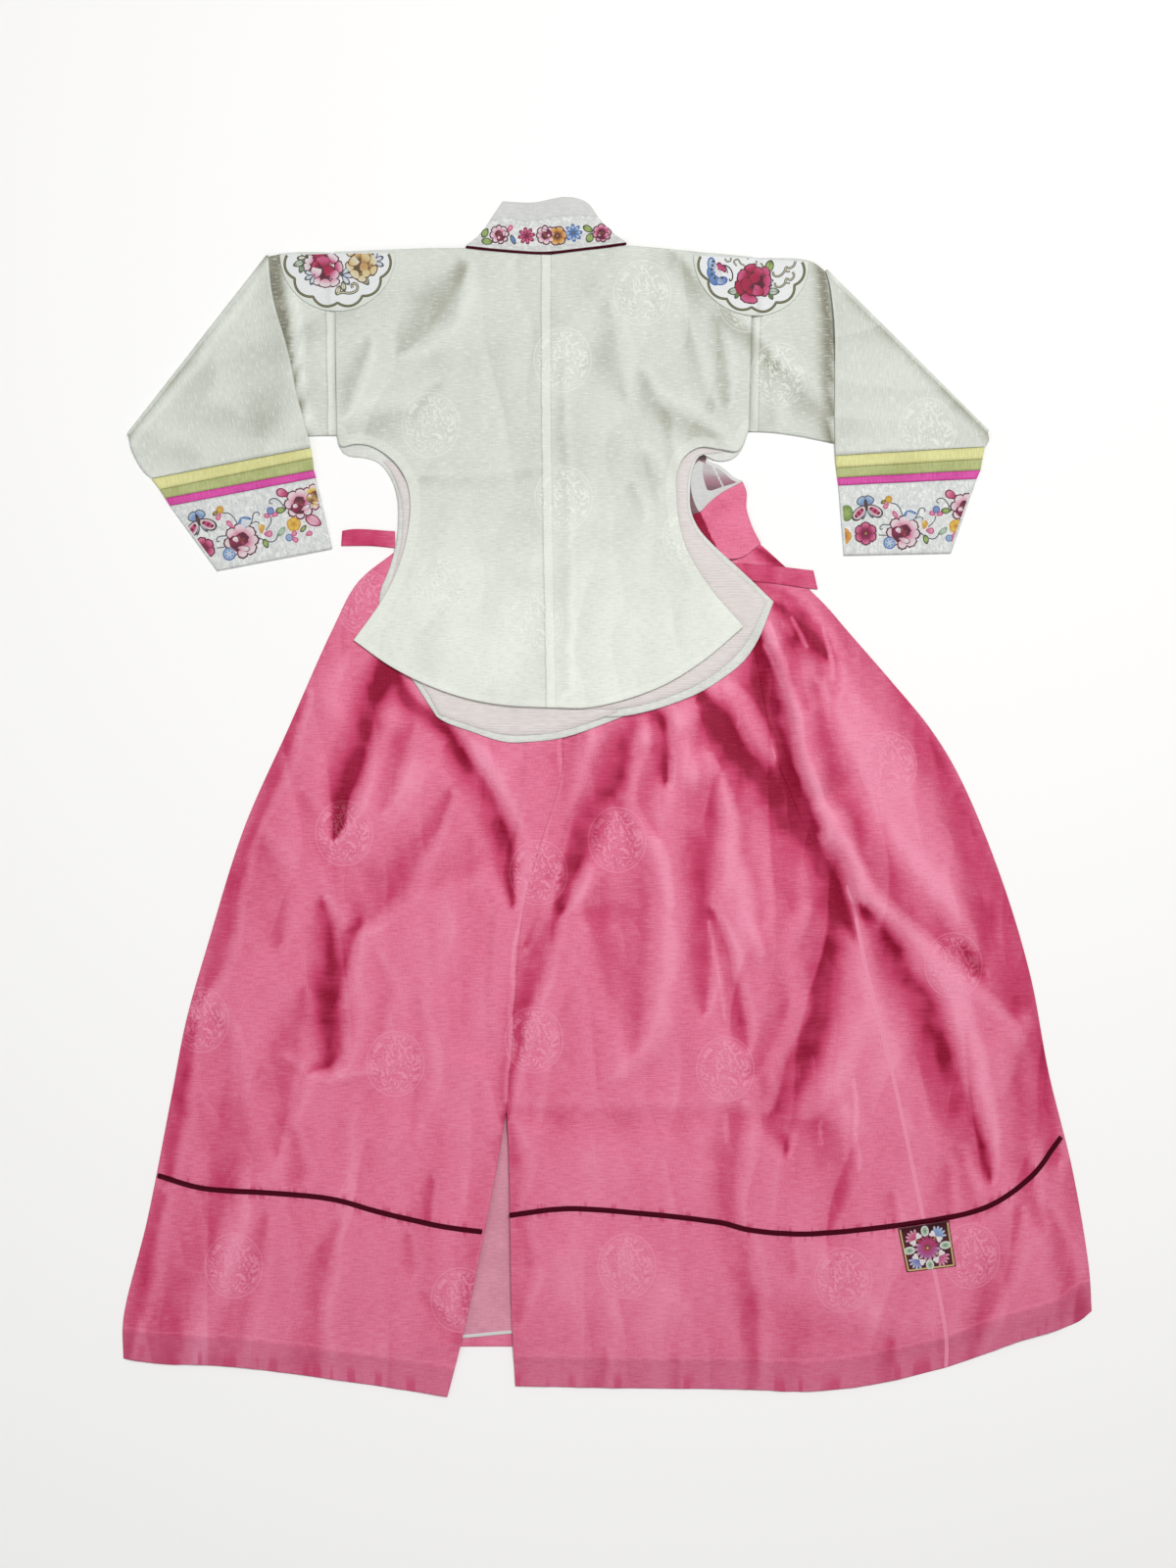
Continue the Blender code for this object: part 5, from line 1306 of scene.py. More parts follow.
# Hollows of the satin, which sink the cloth and are painted as shade: depth from 0 to 1, then knots of x, y
# and half width.
SKIRT_HOLLOWS = [
    (0.5, [(34, 40, 8), (62, 48, 13), (90, 62, 16), (120, 84, 16), (147, 112, 14), (167, 142, 7)]),
    (0.3, [(-212, 66, 6), (-186, 58, 15), (-160, 42, 6)]),
    (0.6, [(128, 198, 3), (150, 190, 6), (172, 176, 7), (186, 164, 3)]),
    (0.8, [(141, 226, 3), (150, 219, 4), (161, 212, 3)]),
    (0.45, [(178, 168, 3), (190, 142, 6), (198, 112, 3)]),
    (1.0, [(-197, 122, 8), (-213, 85, 12), (-222, 50, 12), (-233, 15, 11), (-242, -15, 8),
           (-247, -36, 2)]),
    (1.0, [(-196, 118, 10), (-178, 86, 9), (-152, 66, 7), (-130, 36, 8), (-112, 8, 9), (-97, -22, 10),
           (-88, -58, 9), (-85, -98, 2)]),
    (0.5, [(-178, 62, 2), (-190, 38, 8), (-197, 15, 7), (-203, -10, 2)]),
    (0.35, [(-278, 2, 2), (-268, -22, 6), (-256, -52, 3)]),
    (0.45, [(-316, -38, 5), (-306, -78, 16), (-300, -132, 5)]),
    (0.2, [(-250, -50, 8), (-215, -78, 18), (-170, -75, 8)]),
    (0.6, [(-142, 2, 2), (-160, -32, 6), (-190, -73, 14), (-214, -106, 9), (-234, -124, 2)]),
    (0.35, [(-122, -42, 3), (-126, -66, 10), (-146, -68, 7), (-160, -84, 3)]),
    (0.9, [(-259, -98, 3), (-254, -125, 9), (-250, -165, 13), (-248, -215, 13), (-254, -243, 8),
           (-272, -252, 2)]),
    (0.7, [(-226, -115, 2), (-237, -140, 7), (-245, -180, 7)]),
    (0.55, [(-277, -180, 2), (-284, -212, 10), (-292, -262, 13), (-298, -305, 6), (-301, -326, 2)]),
    (0.3, [(-172, -188, 2), (-171, -228, 9), (-176, -264, 14), (-176, -296, 5)]),
    (0.3, [(-209, -148, 3), (-203, -180, 7), (-206, -212, 2)]),
    (0.5, [(-352, -205, 6), (-352, -245, 15), (-345, -285, 22), (-334, -318, 24), (-340, -350, 10)]),
    (0.6, [(-350, -362, 14), (-362, -398, 17), (-377, -440, 18), (-390, -490, 15), (-398, -520, 10)]),
    (0.4, [(-310, -385, 2), (-322, -430, 7), (-332, -470, 9), (-347, -520, 9)]),
    (0.5, [(-246, -392, 2), (-258, -430, 7), (-267, -470, 8), (-268, -528, 11)]),
    (0.35, [(-286, -305, 3), (-280, -345, 6)]), (0.25, [(-240, -300, 4), (-243, -352, 5)]),
    (0.5, [(-159, -352, 2), (-165, -384, 4)]), (0.4, [(-181, -403, 2), (-177, -432, 4)]),
    (0.45, [(-97, -316, 3), (-106, -352, 6), (-116, -405, 4), (-133, -498, 4)]),
    (0.35, [(-167, -455, 2), (-146, -480, 5), (-134, -498, 6)]),
    (0.6, [(-274, 92, 2), (-297, 30, 7), (-322, -28, 4), (-344, -98, 7), (-356, -150, 8),
           (-372, -188, 3)]),
    (0.55, [(-377, -208, 3), (-386, -262, 6), (-393, -305, 7), (-400, -350, 4)]),
    (0.5, [(-407, -366, 4), (-424, -450, 6), (-440, -518, 3)]),
    (0.65, [(-26, 62, 6), (-32, 30, 14), (-37, 2, 10), (-48, -42, 6), (-64, -98, 6), (-72, -135, 3)]),
    (0.8, [(26, 72, 5), (13, 30, 14), (0, -2, 15), (-18, -42, 15), (-33, -76, 10), (-42, -106, 2)]),
    (0.55, [(12, -10, 8), (22, -60, 20), (28, -105, 26), (26, -160, 20), (28, -205, 10),
            (26, -232, 2)]),
    (0.9, [(36, 82, 10), (50, 72, 8), (55, 45, 5), (56, 15, 3)]),
    (0.6, [(50, 24, 4), (38, 2, 12), (35, -16, 10), (44, -30, 3)]),
    (0.7, [(-44, -102, 4), (-56, -134, 8), (-72, -184, 8), (-84, -232, 6), (-92, -294, 2)]),
    (0.3, [(-16, -106, 3), (0, -104, 7), (20, -104, 7)]),
    (0.65, [(103, 16, 3), (91, -15, 15), (87, -55, 16), (87, -100, 9), (90, -150, 9), (90, -196, 2)]),
    (1.0, [(84, 98, 10), (104, 76, 14), (124, 42, 15), (150, 12, 17), (174, -18, 18), (195, -52, 15),
           (212, -84, 13), (228, -126, 3)]),
    (1.0, [(139, 146, 7), (147, 112, 16), (155, 72, 15), (166, 34, 13), (178, 4, 12), (192, -30, 8)]),
    (0.75, [(97, -106, 2), (108, -132, 5), (117, -175, 6), (124, -206, 7), (128, -228, 2)]),
    (0.4, [(121, 32, 2), (127, -20, 8), (133, -62, 8), (142, -112, 4)]),
    (0.35, [(148, -10, 8), (160, -60, 16), (173, -102, 6)]),
    (0.8, [(206, -96, 12), (206, -142, 22), (198, -185, 26), (188, -225, 24), (172, -262, 18),
           (160, -298, 9), (164, -324, 2)]),
    (0.4, [(167, -190, 2), (150, -225, 7), (133, -254, 3)]),
    (0.55, [(121, -294, 8), (114, -335, 10), (114, -378, 8), (127, -435, 10), (136, -495, 6),
            (137, -540, 4)]),
    (0.5, [(172, -298, 5), (200, -306, 16), (212, -335, 18), (211, -366, 12), (202, -398, 4)]),
    (0.65, [(192, 100, 4), (200, 60, 12), (212, 25, 15), (236, -22, 13), (264, -68, 14),
            (300, -114, 16), (340, -156, 6)]),
    (0.9, [(236, -102, 5), (255, -130, 12), (278, -165, 16), (300, -202, 18), (318, -250, 15),
           (334, -296, 13), (352, -348, 3)]),
    (0.5, [(262, 108, 3), (292, 55, 8), (322, 0, 10), (346, -60, 15), (372, -130, 20), (392, -200, 13),
           (402, -275, 12), (412, -330, 5)]),
    (0.4, [(348, -104, 8), (360, -155, 12), (378, -198, 10)]),
    (0.5, [(373, -232, 6), (380, -284, 14), (382, -330, 8), (399, -392, 3)]),
    (0.45, [(379, -382, 3), (366, -424, 9), (350, -470, 8), (331, -522, 2)]),
    (0.4, [(407, -380, 3), (420, -425, 7), (438, -480, 8)]),
    (0.9, [(158, 175, 4), (176, 157, 8), (192, 143, 9), (200, 130, 3)]),
    (0.55, [(162, 152, 3), (173, 120, 7), (182, 85, 4)]),
    (0.35, [(187, 168, 3), (206, 132, 4), (211, 95, 3)]),
    (0.25, [(-90, -288, 4), (10, -293, 9), (134, -290, 6)]),
    (0.45, [(-89, -298, 3), (-82, -334, 8), (-84, -374, 3)]),
    (0.35, [(-77, -386, 6), (-73, -430, 8), (-79, -478, 3)]), (0.35, [(166, -400, 2), (173, -434, 4)]),
    (0.4, [(314, -342, 3), (311, -388, 5)]), (0.35, [(323, -326, 3), (340, -380, 5)]),
    (0.5, [(263, -366, 2), (263, -388, 4)]), (0.45, [(262, -500, 3), (260, -536, 8)]),
    (0.45, [(0, -512, 2), (-5, -540, 5)]), (0.4, [(66, -518, 2), (64, -542, 4)]),
    (0.2, [(150, -470, 20), (230, -500, 20), (310, -505, 14)]),
]
# Crests that rise and are painted as highlights, given in the same way.
SKIRT_LIGHTS = [
    (0.45, [(-238, 122, 4), (-250, 95, 8), (-240, 74, 3)]),
    (0.35, [(-158, 34, 10), (-182, 2, 14), (-196, -24, 5)]),
    (0.25, [(-112, 40, 8), (-92, 16, 12), (-72, -10, 6)]),
    (0.2, [(-130, -110, 18), (-150, -185, 22), (-150, -240, 8)]),
    (0.5, [(32, 72, 8), (36, 42, 5), (26, 12, 3), (32, -22, 4), (50, -48, 5), (62, -98, 3)]),
    (0.55, [(-6, 56, 6), (-25, 15, 8), (-44, -30, 6), (-62, -88, 5), (-73, -130, 3)]),
    (0.65, [(80, 82, 8), (74, 50, 11), (82, 18, 5)]),
    (0.65, [(118, 104, 4), (134, 78, 8), (148, 56, 6), (154, 34, 2)]),
    (0.6, [(94, 38, 3), (111, 2, 5), (119, -45, 7), (131, -95, 8), (143, -144, 3)]),
    (0.5, [(184, -104, 4), (172, -138, 8), (181, -190, 7), (162, -240, 5), (150, -286, 3)]),
    (0.7, [(147, 158, 2), (160, 125, 3), (173, 80, 3), (186, 25, 4), (196, -8, 3)]),
    (0.65, [(198, -10, 4), (215, -22, 12), (223, -42, 6)]),
    (0.65, [(222, -42, 4), (240, -80, 6), (278, -118, 6), (320, -157, 6), (378, -212, 4)]),
    (0.35, [(232, -118, 3), (250, -190, 9), (268, -255, 14), (276, -305, 8)]),
    (0.4, [(218, 114, 6), (246, 50, 20), (278, -15, 24), (302, -65, 18), (337, -130, 5)]),
    (0.45, [(306, -146, 4), (328, -186, 12), (345, -250, 9), (356, -314, 5)]),
    (0.5, [(-14, -66, 3), (-18, -88, 8)]), (0.3, [(-16, -122, 6), (-10, -160, 10), (0, -205, 3)]),
    (0.3, [(56, -115, 8), (60, -165, 14), (46, -225, 12), (16, -255, 6)]),
    (0.25, [(-40, -430, 24), (30, -430, 30), (70, -470, 16)]),
    (0.2, [(205, -425, 16), (245, -470, 12)]), (0.4, [(388, -204, 5), (370, -242, 8), (364, -268, 3)]),
    (0.15, [(-50, -335, 20), (60, -335, 25)]), (0.35, [(-390, -200, 3), (-396, -240, 3)]),
    (0.4, [(-206, -250, 3), (-262, -258, 3), (-292, -240, 2)]),
]

# Painted highlights of thin crisp creases; they are not raised.
SKIRT_PAINTED_GLINTS = [
    (0.8, [(170, 163, 2), (176, 151, 2.6), (182, 137, 2)]),
    (0.8, [(199, 154, 2), (205, 128, 2.6), (208, 105, 2)]),
    (0.7, [(145, 138, 2.2), (159, 110, 2.6), (170, 83, 2.4), (174, 64, 2)]),
    (0.5, [(122, 92, 2), (121, 64, 2)]), (0.6, [(95, -116, 2), (103, -160, 2.4), (110, -203, 2)]),
    (0.6, [(227, -261, 2), (230, -341, 2.2)]), (0.5, [(109, -292, 2), (111, -314, 2)]),
    (0.5, [(196, -299, 2), (198, -318, 2)]),
    (0.7, [(-42, 53, 2.2), (-44, 6, 2.2), (-63, -56, 2.4), (-79, -112, 2.4), (-87, -210, 2.4),
           (-92, -278, 2.2)]),
]

PIPING_WIDTH = 4.4   # width of the skirt's cord
PIPING_LEFT = [(-411, -348), (-366, -359.4), (-310, -362.6), (-249, -368.8), (-207, -380.4),
               (-156, -392), (-114, -398.2)]
PIPING_RIGHT = [(-88, -383.3), (-44, -377.3), (27, -381), (103, -389.9), (128, -396.1), (179, -400.4),
                (257, -393.7), (289.8, -388.8)]
PIPING_SIDE = [(290.2, -388.8), (314, -385.1), (348, -375.7), (387, -350), (417, -312.8)]
HEM_BADGE = [(267, -395), (313, -388), (319.3, -429.6), (275.3, -435)]


def ribbon(knots, width, cells, rows=1):
    """A strip of even width along a line."""
    line = curve(knots, cells)
    step = np.gradient(line, axis=0)
    across = np.column_stack([-step[:, 1], step[:, 0]])
    across /= np.linalg.norm(across, axis=1)[:, None]
    offsets = np.linspace(width / 2, -width / 2, rows + 1)
    return np.array([line + across * offset for offset in offsets])


def dome(grid, low, high):
    """Thickness that swells from low at the two long sides to high in the middle."""
    share = np.linspace(-1, 1, len(grid))
    swell = low + (high - low) * np.sqrt(np.clip(1 - share**2, 0, 1))
    return np.broadcast_to(swell[:, None], grid.shape[:2])


def puckers(bed, line, spacing, height, above, below, seed):
    """Small gathers square to a stitched line, running out above and below it."""
    knots = dense_curve(line, 8)
    best, along, side = nearest(bed.plan(), knots)
    marks = np.arange(0, running(knots)[-1] + 2 * spacing, spacing / 4)
    waves = np.array([noise.noise(Vector((m / spacing, seed * 9.1, 0.5))) for m in marks])
    wave = np.interp(along, marks, waves)
    reach = np.where(side > 0, above, below)
    return height * np.maximum(0, wave + 0.15) * np.exp(-(best / reach) ** 2)


def skirt_folds(bed):
    """How far the skirt back stands off the front: fullness, folds and creases."""
    left = np.interp(-bed.y, [-y for x, y in SKIRT_LEFT], [x for x, y in SKIRT_LEFT])
    right = np.interp(-bed.y, [-y for x, y in SKIRT_RIGHT], [x for x, y in SKIRT_RIGHT])
    from_side = np.minimum(bed.x[None] - left[:, None], right[:, None] - bed.x[None])
    full = FULLNESS * smoothstep(from_side / FULL_SIDE)
    full = full * smoothstep((bed.y - FULL_HEM[0]) / FULL_HEM[1])[:, None]
    hollows = bed.marks(SKIRT_HOLLOWS, bed.plan())[0]
    lights = bed.marks(SKIRT_LIGHTS, bed.plan())[0]
    folds = full + bed.ridges(SKIRT_CRESTS) + blur(LIGHT_RISE * lights - HOLLOW_DEPTH * hollows, 6)
    pressed = smoothstep((WAIST_DIP[0] - bed.y) / WAIST_DIP[1])[:, None]
    pressed = np.maximum(pressed, smoothstep((bed.x - 120) / 40)[None])
    folds = blur(np.maximum(0, folds), 2) * pressed
    folds += bed.ripple(46, 1.6, 1) * pressed + bed.ripple(17, 0.7, 2)
    for seed, line in ((3, HEM_LEFT), (4, HEM_RIGHT[:-1] + HEM_SIDE)):
        folds += puckers(bed, line, 11, 1.3, 26, 30, seed)
    for seed, line in ((5, PIPING_LEFT), (6, PIPING_RIGHT[:-1] + PIPING_SIDE)):
        folds += puckers(bed, line, 9, 1.0, 16, 9, seed)
    return blur(folds, 1)


def satin_painted_shading(grid, height):
    """Painted shading of the satin: painted highlights on crests, painted shade in hollows and on steep
    flanks.
    """
    hollows, painted_glint = work.bed.marks(SKIRT_HOLLOWS, grid)
    lights = np.maximum(work.bed.marks(SKIRT_LIGHTS, grid)[0], work.bed.marks(SKIRT_PAINTED_GLINTS, grid, 0.15)[0])
    along_x, along_y = slopes(grid, height)
    # Painted shade on steep flanks.
    steep = np.minimum(1.0, np.hypot(along_x, along_y) * 1.6)
    # Painted shade towards the rolled left and right sides.
    painted_side_shade = (0.07 * (1 - smoothstep(away(grid, SKIRT_LEFT) / 40))
            + 0.16 * (1 - smoothstep(away(grid, SKIRT_RIGHT) / 45)))
    depth = 0.5 * hollows + 0.16 * hollows**6 + 0.08 * steep + painted_side_shade
    return np.clip(0.62 + 0.5 * lights + 0.26 * painted_glint * (1 - hollows) - depth, 0.0, 1.2)


def lay(name, finish, grid, field, thickness=WALL, rolled=None, **kept):
    """Lay a shell on a height field; a rolled side comes down to the floor."""
    underside = work.bed.sample(field, grid)
    if rolled:
        side = grid[:, :1] if rolled == "left" else grid[:, -1:]
        underside = underside * np.sqrt(smoothstep(np.linalg.norm(grid - side, axis=2) / ROLL))
    return shell(name, grid, underside, thickness, finish, **kept), underside


def set_down(name, finish, grid, field, slot, rests_on=(), thickness=WALL, held="laid", **kept):
    """Lay a sheet, remember its height and hand it over."""
    piece, height = lay(name, finish, grid, field, thickness, **kept)
    work.bed.take(piece)
    return declare(piece, grid)


class HANBOK_OT_skirt_front(bpy.types.Operator):
    """Spread the front of the skirt on the floor"""
    bl_idname = "hanbok.skirt_front"
    bl_label = "Skirt front"

    def execute(self, context):
        left = [(-182, 228.7)] + shifted(SKIRT_LEFT[1:-1], FRONT_INSET) + [HEM_FRONT[0]]
        right = [(136, 230.9)] + shifted(SKIRT_RIGHT[1:-1], -FRONT_INSET) + [HEM_FRONT[-1]]
        grid = panel([(-182, 228.7), (136, 230.9)], HEM_FRONT, left, right, 60, 60)
        set_down("skirt_front", "pink_satin", grid, work.bed.floor(), "skirt_pink", rings=SKIRT_RINGS)
        return {"FINISHED"}


class HANBOK_OT_slit_lining(bpy.types.Operator):
    """Lay the lining that shows in the open back"""
    bl_idname = "hanbok.slit_lining"
    bl_label = "Slit lining"

    def execute(self, context):
        bed = work.bed
        grid = panel([(-130, -250), (-65, -250)], LINING_HEM, None, None, 26, 60)
        field = bed.surface(REACH, 2) + bed.ripple(30, 1.2, 11)
        set_down("skirt_lining", "mauve_lining", grid, field, "skirt_lining", ["skirt_front"], THIN,
                 floats={"hem": away(grid, LINING_HEM)})
        return {"FINISHED"}


class HANBOK_OT_skirt_back(bpy.types.Operator):
    """Lay the three panels of the skirt's back in their folds"""
    bl_idname = "hanbok.skirt_back"
    bl_label = "Skirt back"

    def cloth(self, name, grid, field, hem, piping, rolled=None):
        floats = {"tone": satin_painted_shading(grid, work.bed.sample(field, grid)), "hem": away(grid, hem),
                  "piping": away(grid, piping)}
        if name != "skirt_back_left":
            floats["allowance"] = away(grid, SIDE_SEAM)
        return lay(name, "pink_satin", grid, field, SATIN, rolled, rings=SKIRT_RINGS, floats=floats)

    def execute(self, context):
        bed = work.bed
        field = bed.surface() + skirt_folds(bed)
        right_grid = panel([(-71, 220), (30, 217), (118 - SEAM, 216)],
                           HEM_RIGHT[:-1] + [(312 - SEAM, -524)],
                           SLIT_RIGHT_PANEL, shifted(SIDE_SEAM, -SEAM), 138, 280)
        side_grid = panel([(118 + SEAM, 216), SKIRT_RIGHT[0]], [(312 + SEAM, -524)] + HEM_SIDE[1:],
                          shifted(SIDE_SEAM, SEAM), SKIRT_RIGHT, 60, 280)
        right, right_height = self.cloth("skirt_back_right", right_grid, field, HEM_RIGHT, PIPING_RIGHT)
        flank, flank_height = self.cloth("skirt_side_right", side_grid, field, HEM_SIDE, PIPING_SIDE,
                                         "right")
        bed.take(right)
        left_grid = panel([(-193, 225), (-120, 223), (-53, 220)], HEM_LEFT, SKIRT_LEFT,
                          SLIT_LEFT_PANEL, 124, 280)
        lapped = np.maximum(field, bed.surface(REACH, 10))
        left, left_height = self.cloth("skirt_back_left", left_grid, lapped, HEM_LEFT, PIPING_LEFT, "left")
        bed.take(left, flank)
        for piece, grid, height in ((right, right_grid, right_height), (flank, side_grid, flank_height),
                                    (left, left_grid, left_height)):
            declare(piece, grid)
        return {"FINISHED"}


class HANBOK_OT_skirt_trim(bpy.types.Operator):
    """Set the piping round the skirt and the square badge above the hem"""
    bl_idname = "hanbok.skirt_trim"
    bl_label = "Skirt trim"

    def badge_flower(self, ground):
        """A many-petalled flower between four leaves and four corner blossoms, in a gold frame."""
        stitches = Needlework("hem_badge_needlework", [ground], HEM_BADGE)
        corners = inset_polygon(HEM_BADGE, 1.2)
        for a, b in zip(corners[1:], corners[2:] + corners[:1]):
            stitches.vine([a, b], 1.6, "gold", "cream", 12)
        stitches.put(np.mean(HEM_BADGE, axis=0) - (0, 1), 1.0, 9)
        for angle, names in ((45, ["lavender", "sky", "ice"]), (135, ["magenta", "rose", "blush"]),
                             (225, ["blue", "lavender", "ice"]), (315, ["orchid", "rose", "blush"])):
            c, s = heading(angle)
            for fan in (-104, 104, -74, 74, -46, 46, -22, 22, 0):
                white = abs(fan) > 60
                stitches.petal(c * 13.0, s * 13.0, angle + fan, 6.6 if white else 9.8,
                               2.7 if white else 2.2, ["white", "snow"] if white else names, "", 1.2,
                               0.9 if white else 0.5)
            stitches.line([(c * 9, s * 9), (c * 14, s * 14)], 0.9, "gold")
        for angle in (0, 90, 180, 270):
            c, s = heading(angle)
            stitches.patch(c * 16.6, s * 15.8, angle, 10.6, 7.2, ["leaf", "sage", "pale_leaf", "white"],
                           around=True)
            stitches.line([(c * 13, s * 12.5), (c * 19.5, s * 18.7)], 0.9, "leaf")
        stitches.level = 0.15
        for k in range(15):
            names = (["wine", "magenta", "crimson"] if 2 < k < 9
                     else ["crimson", "magenta", "orchid", "blush"])
            stitches.petal(0, 0, 24 * k - 60, 11.6, 2.8, names, "", 1.1, 0.6)
        stitches.disc(0, 0, 1.9, ["yellow", "gold"], "bark", 0.9)
        return stitches.finish("maroon_braid")

    def execute(self, context):
        bed = work.bed
        field = bed.surface(CELL, 1)
        for name, knots in (("hem_piping_left", PIPING_LEFT), ("hem_piping_right", PIPING_RIGHT),
                            ("hem_piping_side", PIPING_SIDE)):
            cells = int(running(dense_curve(knots))[-1] / 2.5)
            strip = ribbon(knots, PIPING_WIDTH, cells, 6)
            set_down(name, "piping_cord", strip, field, "maroon_braid",
                     ["skirt_back_left", "skirt_back_right", "skirt_side_right"],
                     dome(strip, 0.5, 1.9), "stretched")
        a, b, c, d = HEM_BADGE
        grid = panel([a, b], [d, c], None, None, 20, 18)
        piece, height = lay("hem_badge", "maroon_ground", grid, bed.surface(CELL, 2))
        bed.take(piece)
        flower = self.badge_flower(piece)
        declare(piece, grid)
        return {"FINISHED"}


# ================================================================ bodice
ARMHOLE_RIM = [(94, 307.5), (104, 303.2), (111, 298), (117, 292.8), (125, 289)]
ARMHOLE_FOLD = [(97, 305), (103, 293), (107.5, 284)]
BODICE_TOP_FRONT = [(-179, 283), (-60, 292), (70, 311), (86, 317)] + ARMHOLE_RIM
BODICE_SIDE_RIGHT = [(125, 289), (127.6, 279), (127.6, 264), (133, 247), (140, 233)]
BODICE_TOP_BACK = [(125, 288), (118, 284.6), (108, 279.2), (100, 273.6), (94, 268.4), (85.5, 260.3)]
# Edge of a painted shadow strip on the bodice back.
BODICE_SHADE = [(85.5, 261), (95, 240), (104, 222.5), (110, 216)]
STRAP = 32.0         # width of a shoulder strap
STRAP_TOP = 470.0


class HANBOK_OT_bodice_front(bpy.types.Operator):
    """Spread the bodice front with its armhole facing and straps"""
    bl_idname = "hanbok.bodice_front"
    bl_label = "Bodice front"

    def execute(self, context):
        bed = work.bed
        grid = panel(BODICE_TOP_FRONT, [(-187, 229), (140, 233)], None, BODICE_SIDE_RIGHT, 160, 36)
        # Painted shade: the lining darkens downwards, and a painted shadow of the jacket lies where its
        # armhole hangs over.
        painted_jacket_shadow = smoothstep((grid[..., 1] - 305) / 4) * smoothstep((98 - grid[..., 0]) / 4)
        tone = (0.2 + 0.7 * smoothstep((grid[..., 1] - 280) / 22)) * (1 - painted_jacket_shadow)
        pale = np.minimum(away(grid, ARMHOLE_RIM), away(grid, ARMHOLE_FOLD) + 1.8)
        set_down("bodice_front", "shaded_lining", grid, bed.floor(), "skirt_lining",
                 floats={"tone": tone, "hem": pale})
        outside = [shifted(BODICE_TOP_BACK, 0.5, -1),
                   [(86, 259.3), (81.5, 268), (78.5, 278), (77.5, 290), (80, 302), (85, 308)]]
        inside = [[(124.5, 290), (117, 287), (105, 283.4), (96, 280.4), (92.6, 281.2)],
                  [(92.6, 281.2), (90.4, 288), (88.8, 296), (89.5, 306)]]
        grid = panel(outside, inside, [(125.5, 287), (124.5, 290)], [(85, 308), (89.5, 306)], 40, 6)
        set_down("bodice_facing", "white_facing", grid, bed.surface(CELL, 1), "facing_white",
                 ["bodice_front"], THIN)
        for name, low_left, low_right, x in (("bodice_strap_left", 290.0, 292.0, -150.0),
                                             ("bodice_strap_right", 305.0, 309.0, 42.0)):
            grid = panel([(x, STRAP_TOP), (x + STRAP, STRAP_TOP)],
                         [(x, low_left), (x + STRAP, low_right)], None, None, 8, 30)
            set_down(name, "pink_satin", grid, bed.floor(), "skirt_pink", thickness=TIE)
        return {"FINISHED"}


class HANBOK_OT_bodice_back(bpy.types.Operator):
    """Lay the two halves of the bodice back and the waist ties"""
    bl_idname = "hanbok.bodice_back"
    bl_label = "Bodice back"

    def execute(self, context):
        bed = work.bed
        right = panel([(-62, 262), (60, 256)] + BODICE_TOP_BACK[::-1],
                      [(-70, 220.6), (30, 217.6), (111, 217.3), (125, 219.5), (141.5, 231.6)],
                      None, [(125, 288)] + shifted(BODICE_SIDE_RIGHT[1:4], 0.8) + [(141.5, 231.6)],
                      110, 28)
        left = panel([(-180, 284), (-45, 262)], [(-188, 225.6), (-52, 220.8)], None, None, 36, 14)
        for name, grid, seed in (("bodice_back_right", right, 21), ("bodice_back_left", left, 22)):
            field = bed.surface() + bed.ripple(20, 0.8, seed)
            tone = 0.3 + bed.sample(bed.ripple(18, 0.6, seed + 1), grid)
            # Painted shadow: left of BODICE_SHADE the bodice back's colour is painted deep.
            shade = np.interp(-grid[..., 1], *zip(*((-y, x) for x, y in BODICE_SHADE)))
            tone -= smoothstep((shade - grid[..., 0]) / 2 + 0.5)
            set_down(name, "pink_satin", grid, field, "skirt_pink", ["bodice_front"],
                     floats={"tone": tone})
        left = panel([(-242, 243.5), (-231, 245), (-194, 243)], [(-243, 230), (-215, 230), (-194, 228)],
                     None, None, 14, 6)
        right = panel([(112, 214), (163, 210), (190, 207)], [(112, 200), (154, 195), (194, 190)],
                      None, None, 20, 6)
        for name, grid, seed in (("waist_tie_left", left, 23), ("waist_tie_right", right, 24)):
            field = bed.surface(CELL, 2) + bed.ripple(12, 0.9, seed)
            tone = 0.05 + bed.sample(bed.ripple(16, 0.4, seed + 1), grid)
            set_down(name, "pink_satin", grid, field, "skirt_pink", thickness=TIE, floats={"tone": tone})
        return {"FINISHED"}


# ================================================================ jacket
LEFT_SEAM = [(-249, 498.5), (-246.5, 332)]
RIGHT_SEAM = [(134, 494), (130.5, 336)]
BACK_LEFT_SIDE = [(-246.5, 332), (-243, 321), (-231, 323), (-218, 322), (-204, 315), (-191, 303),
                  (-182, 287), (-179, 268), (-181, 243), (-189, 212), (-204, 181), (-231, 143)]
BACK_RIGHT_SIDE = [(130.5, 336), (121, 317), (105, 318), (87, 320), (76, 315), (68, 306), (64, 292),
                   (64, 277), (66, 254), (73, 227), (93, 193), (125, 155)]
FRONT_LEFT_SIDE = [
    (-246.5, 332), (-243.5, 318), (-236, 312.5), (-222, 311), (-208, 306), (-197, 291), (-191, 273),
    (-190, 254), (-192, 232), (-199, 207), (-207, 186), (-204, 144), (-178, 108), (-155, 73),
]
FRONT_RIGHT_SIDE = [
    (130.5, 336), (124, 318), (117, 310.5), (108, 307.8), (98, 309), (92, 312.3), (88, 313.4),
    (83.5, 310), (80, 303), (77.6, 292), (76.6, 278), (77.4, 262), (83, 248), (93, 235), (125, 205),
    (153, 178),
]
HOOK_TURNS = 400     # smoothing turns of a sheet whose side hooks round the armhole
CENTRE_SEAM = [(-51, 496.3), (-51, 371), (-49, 227), (-46, 81)]
NECK = [(-128, 503), (-80, 499), (-57, 498), (-17, 502), (18, 506)]
PIPING_NECK = 2.1    # width of the neck's cord
BESIDE_NECK = PIPING_NECK / 2 + GAP
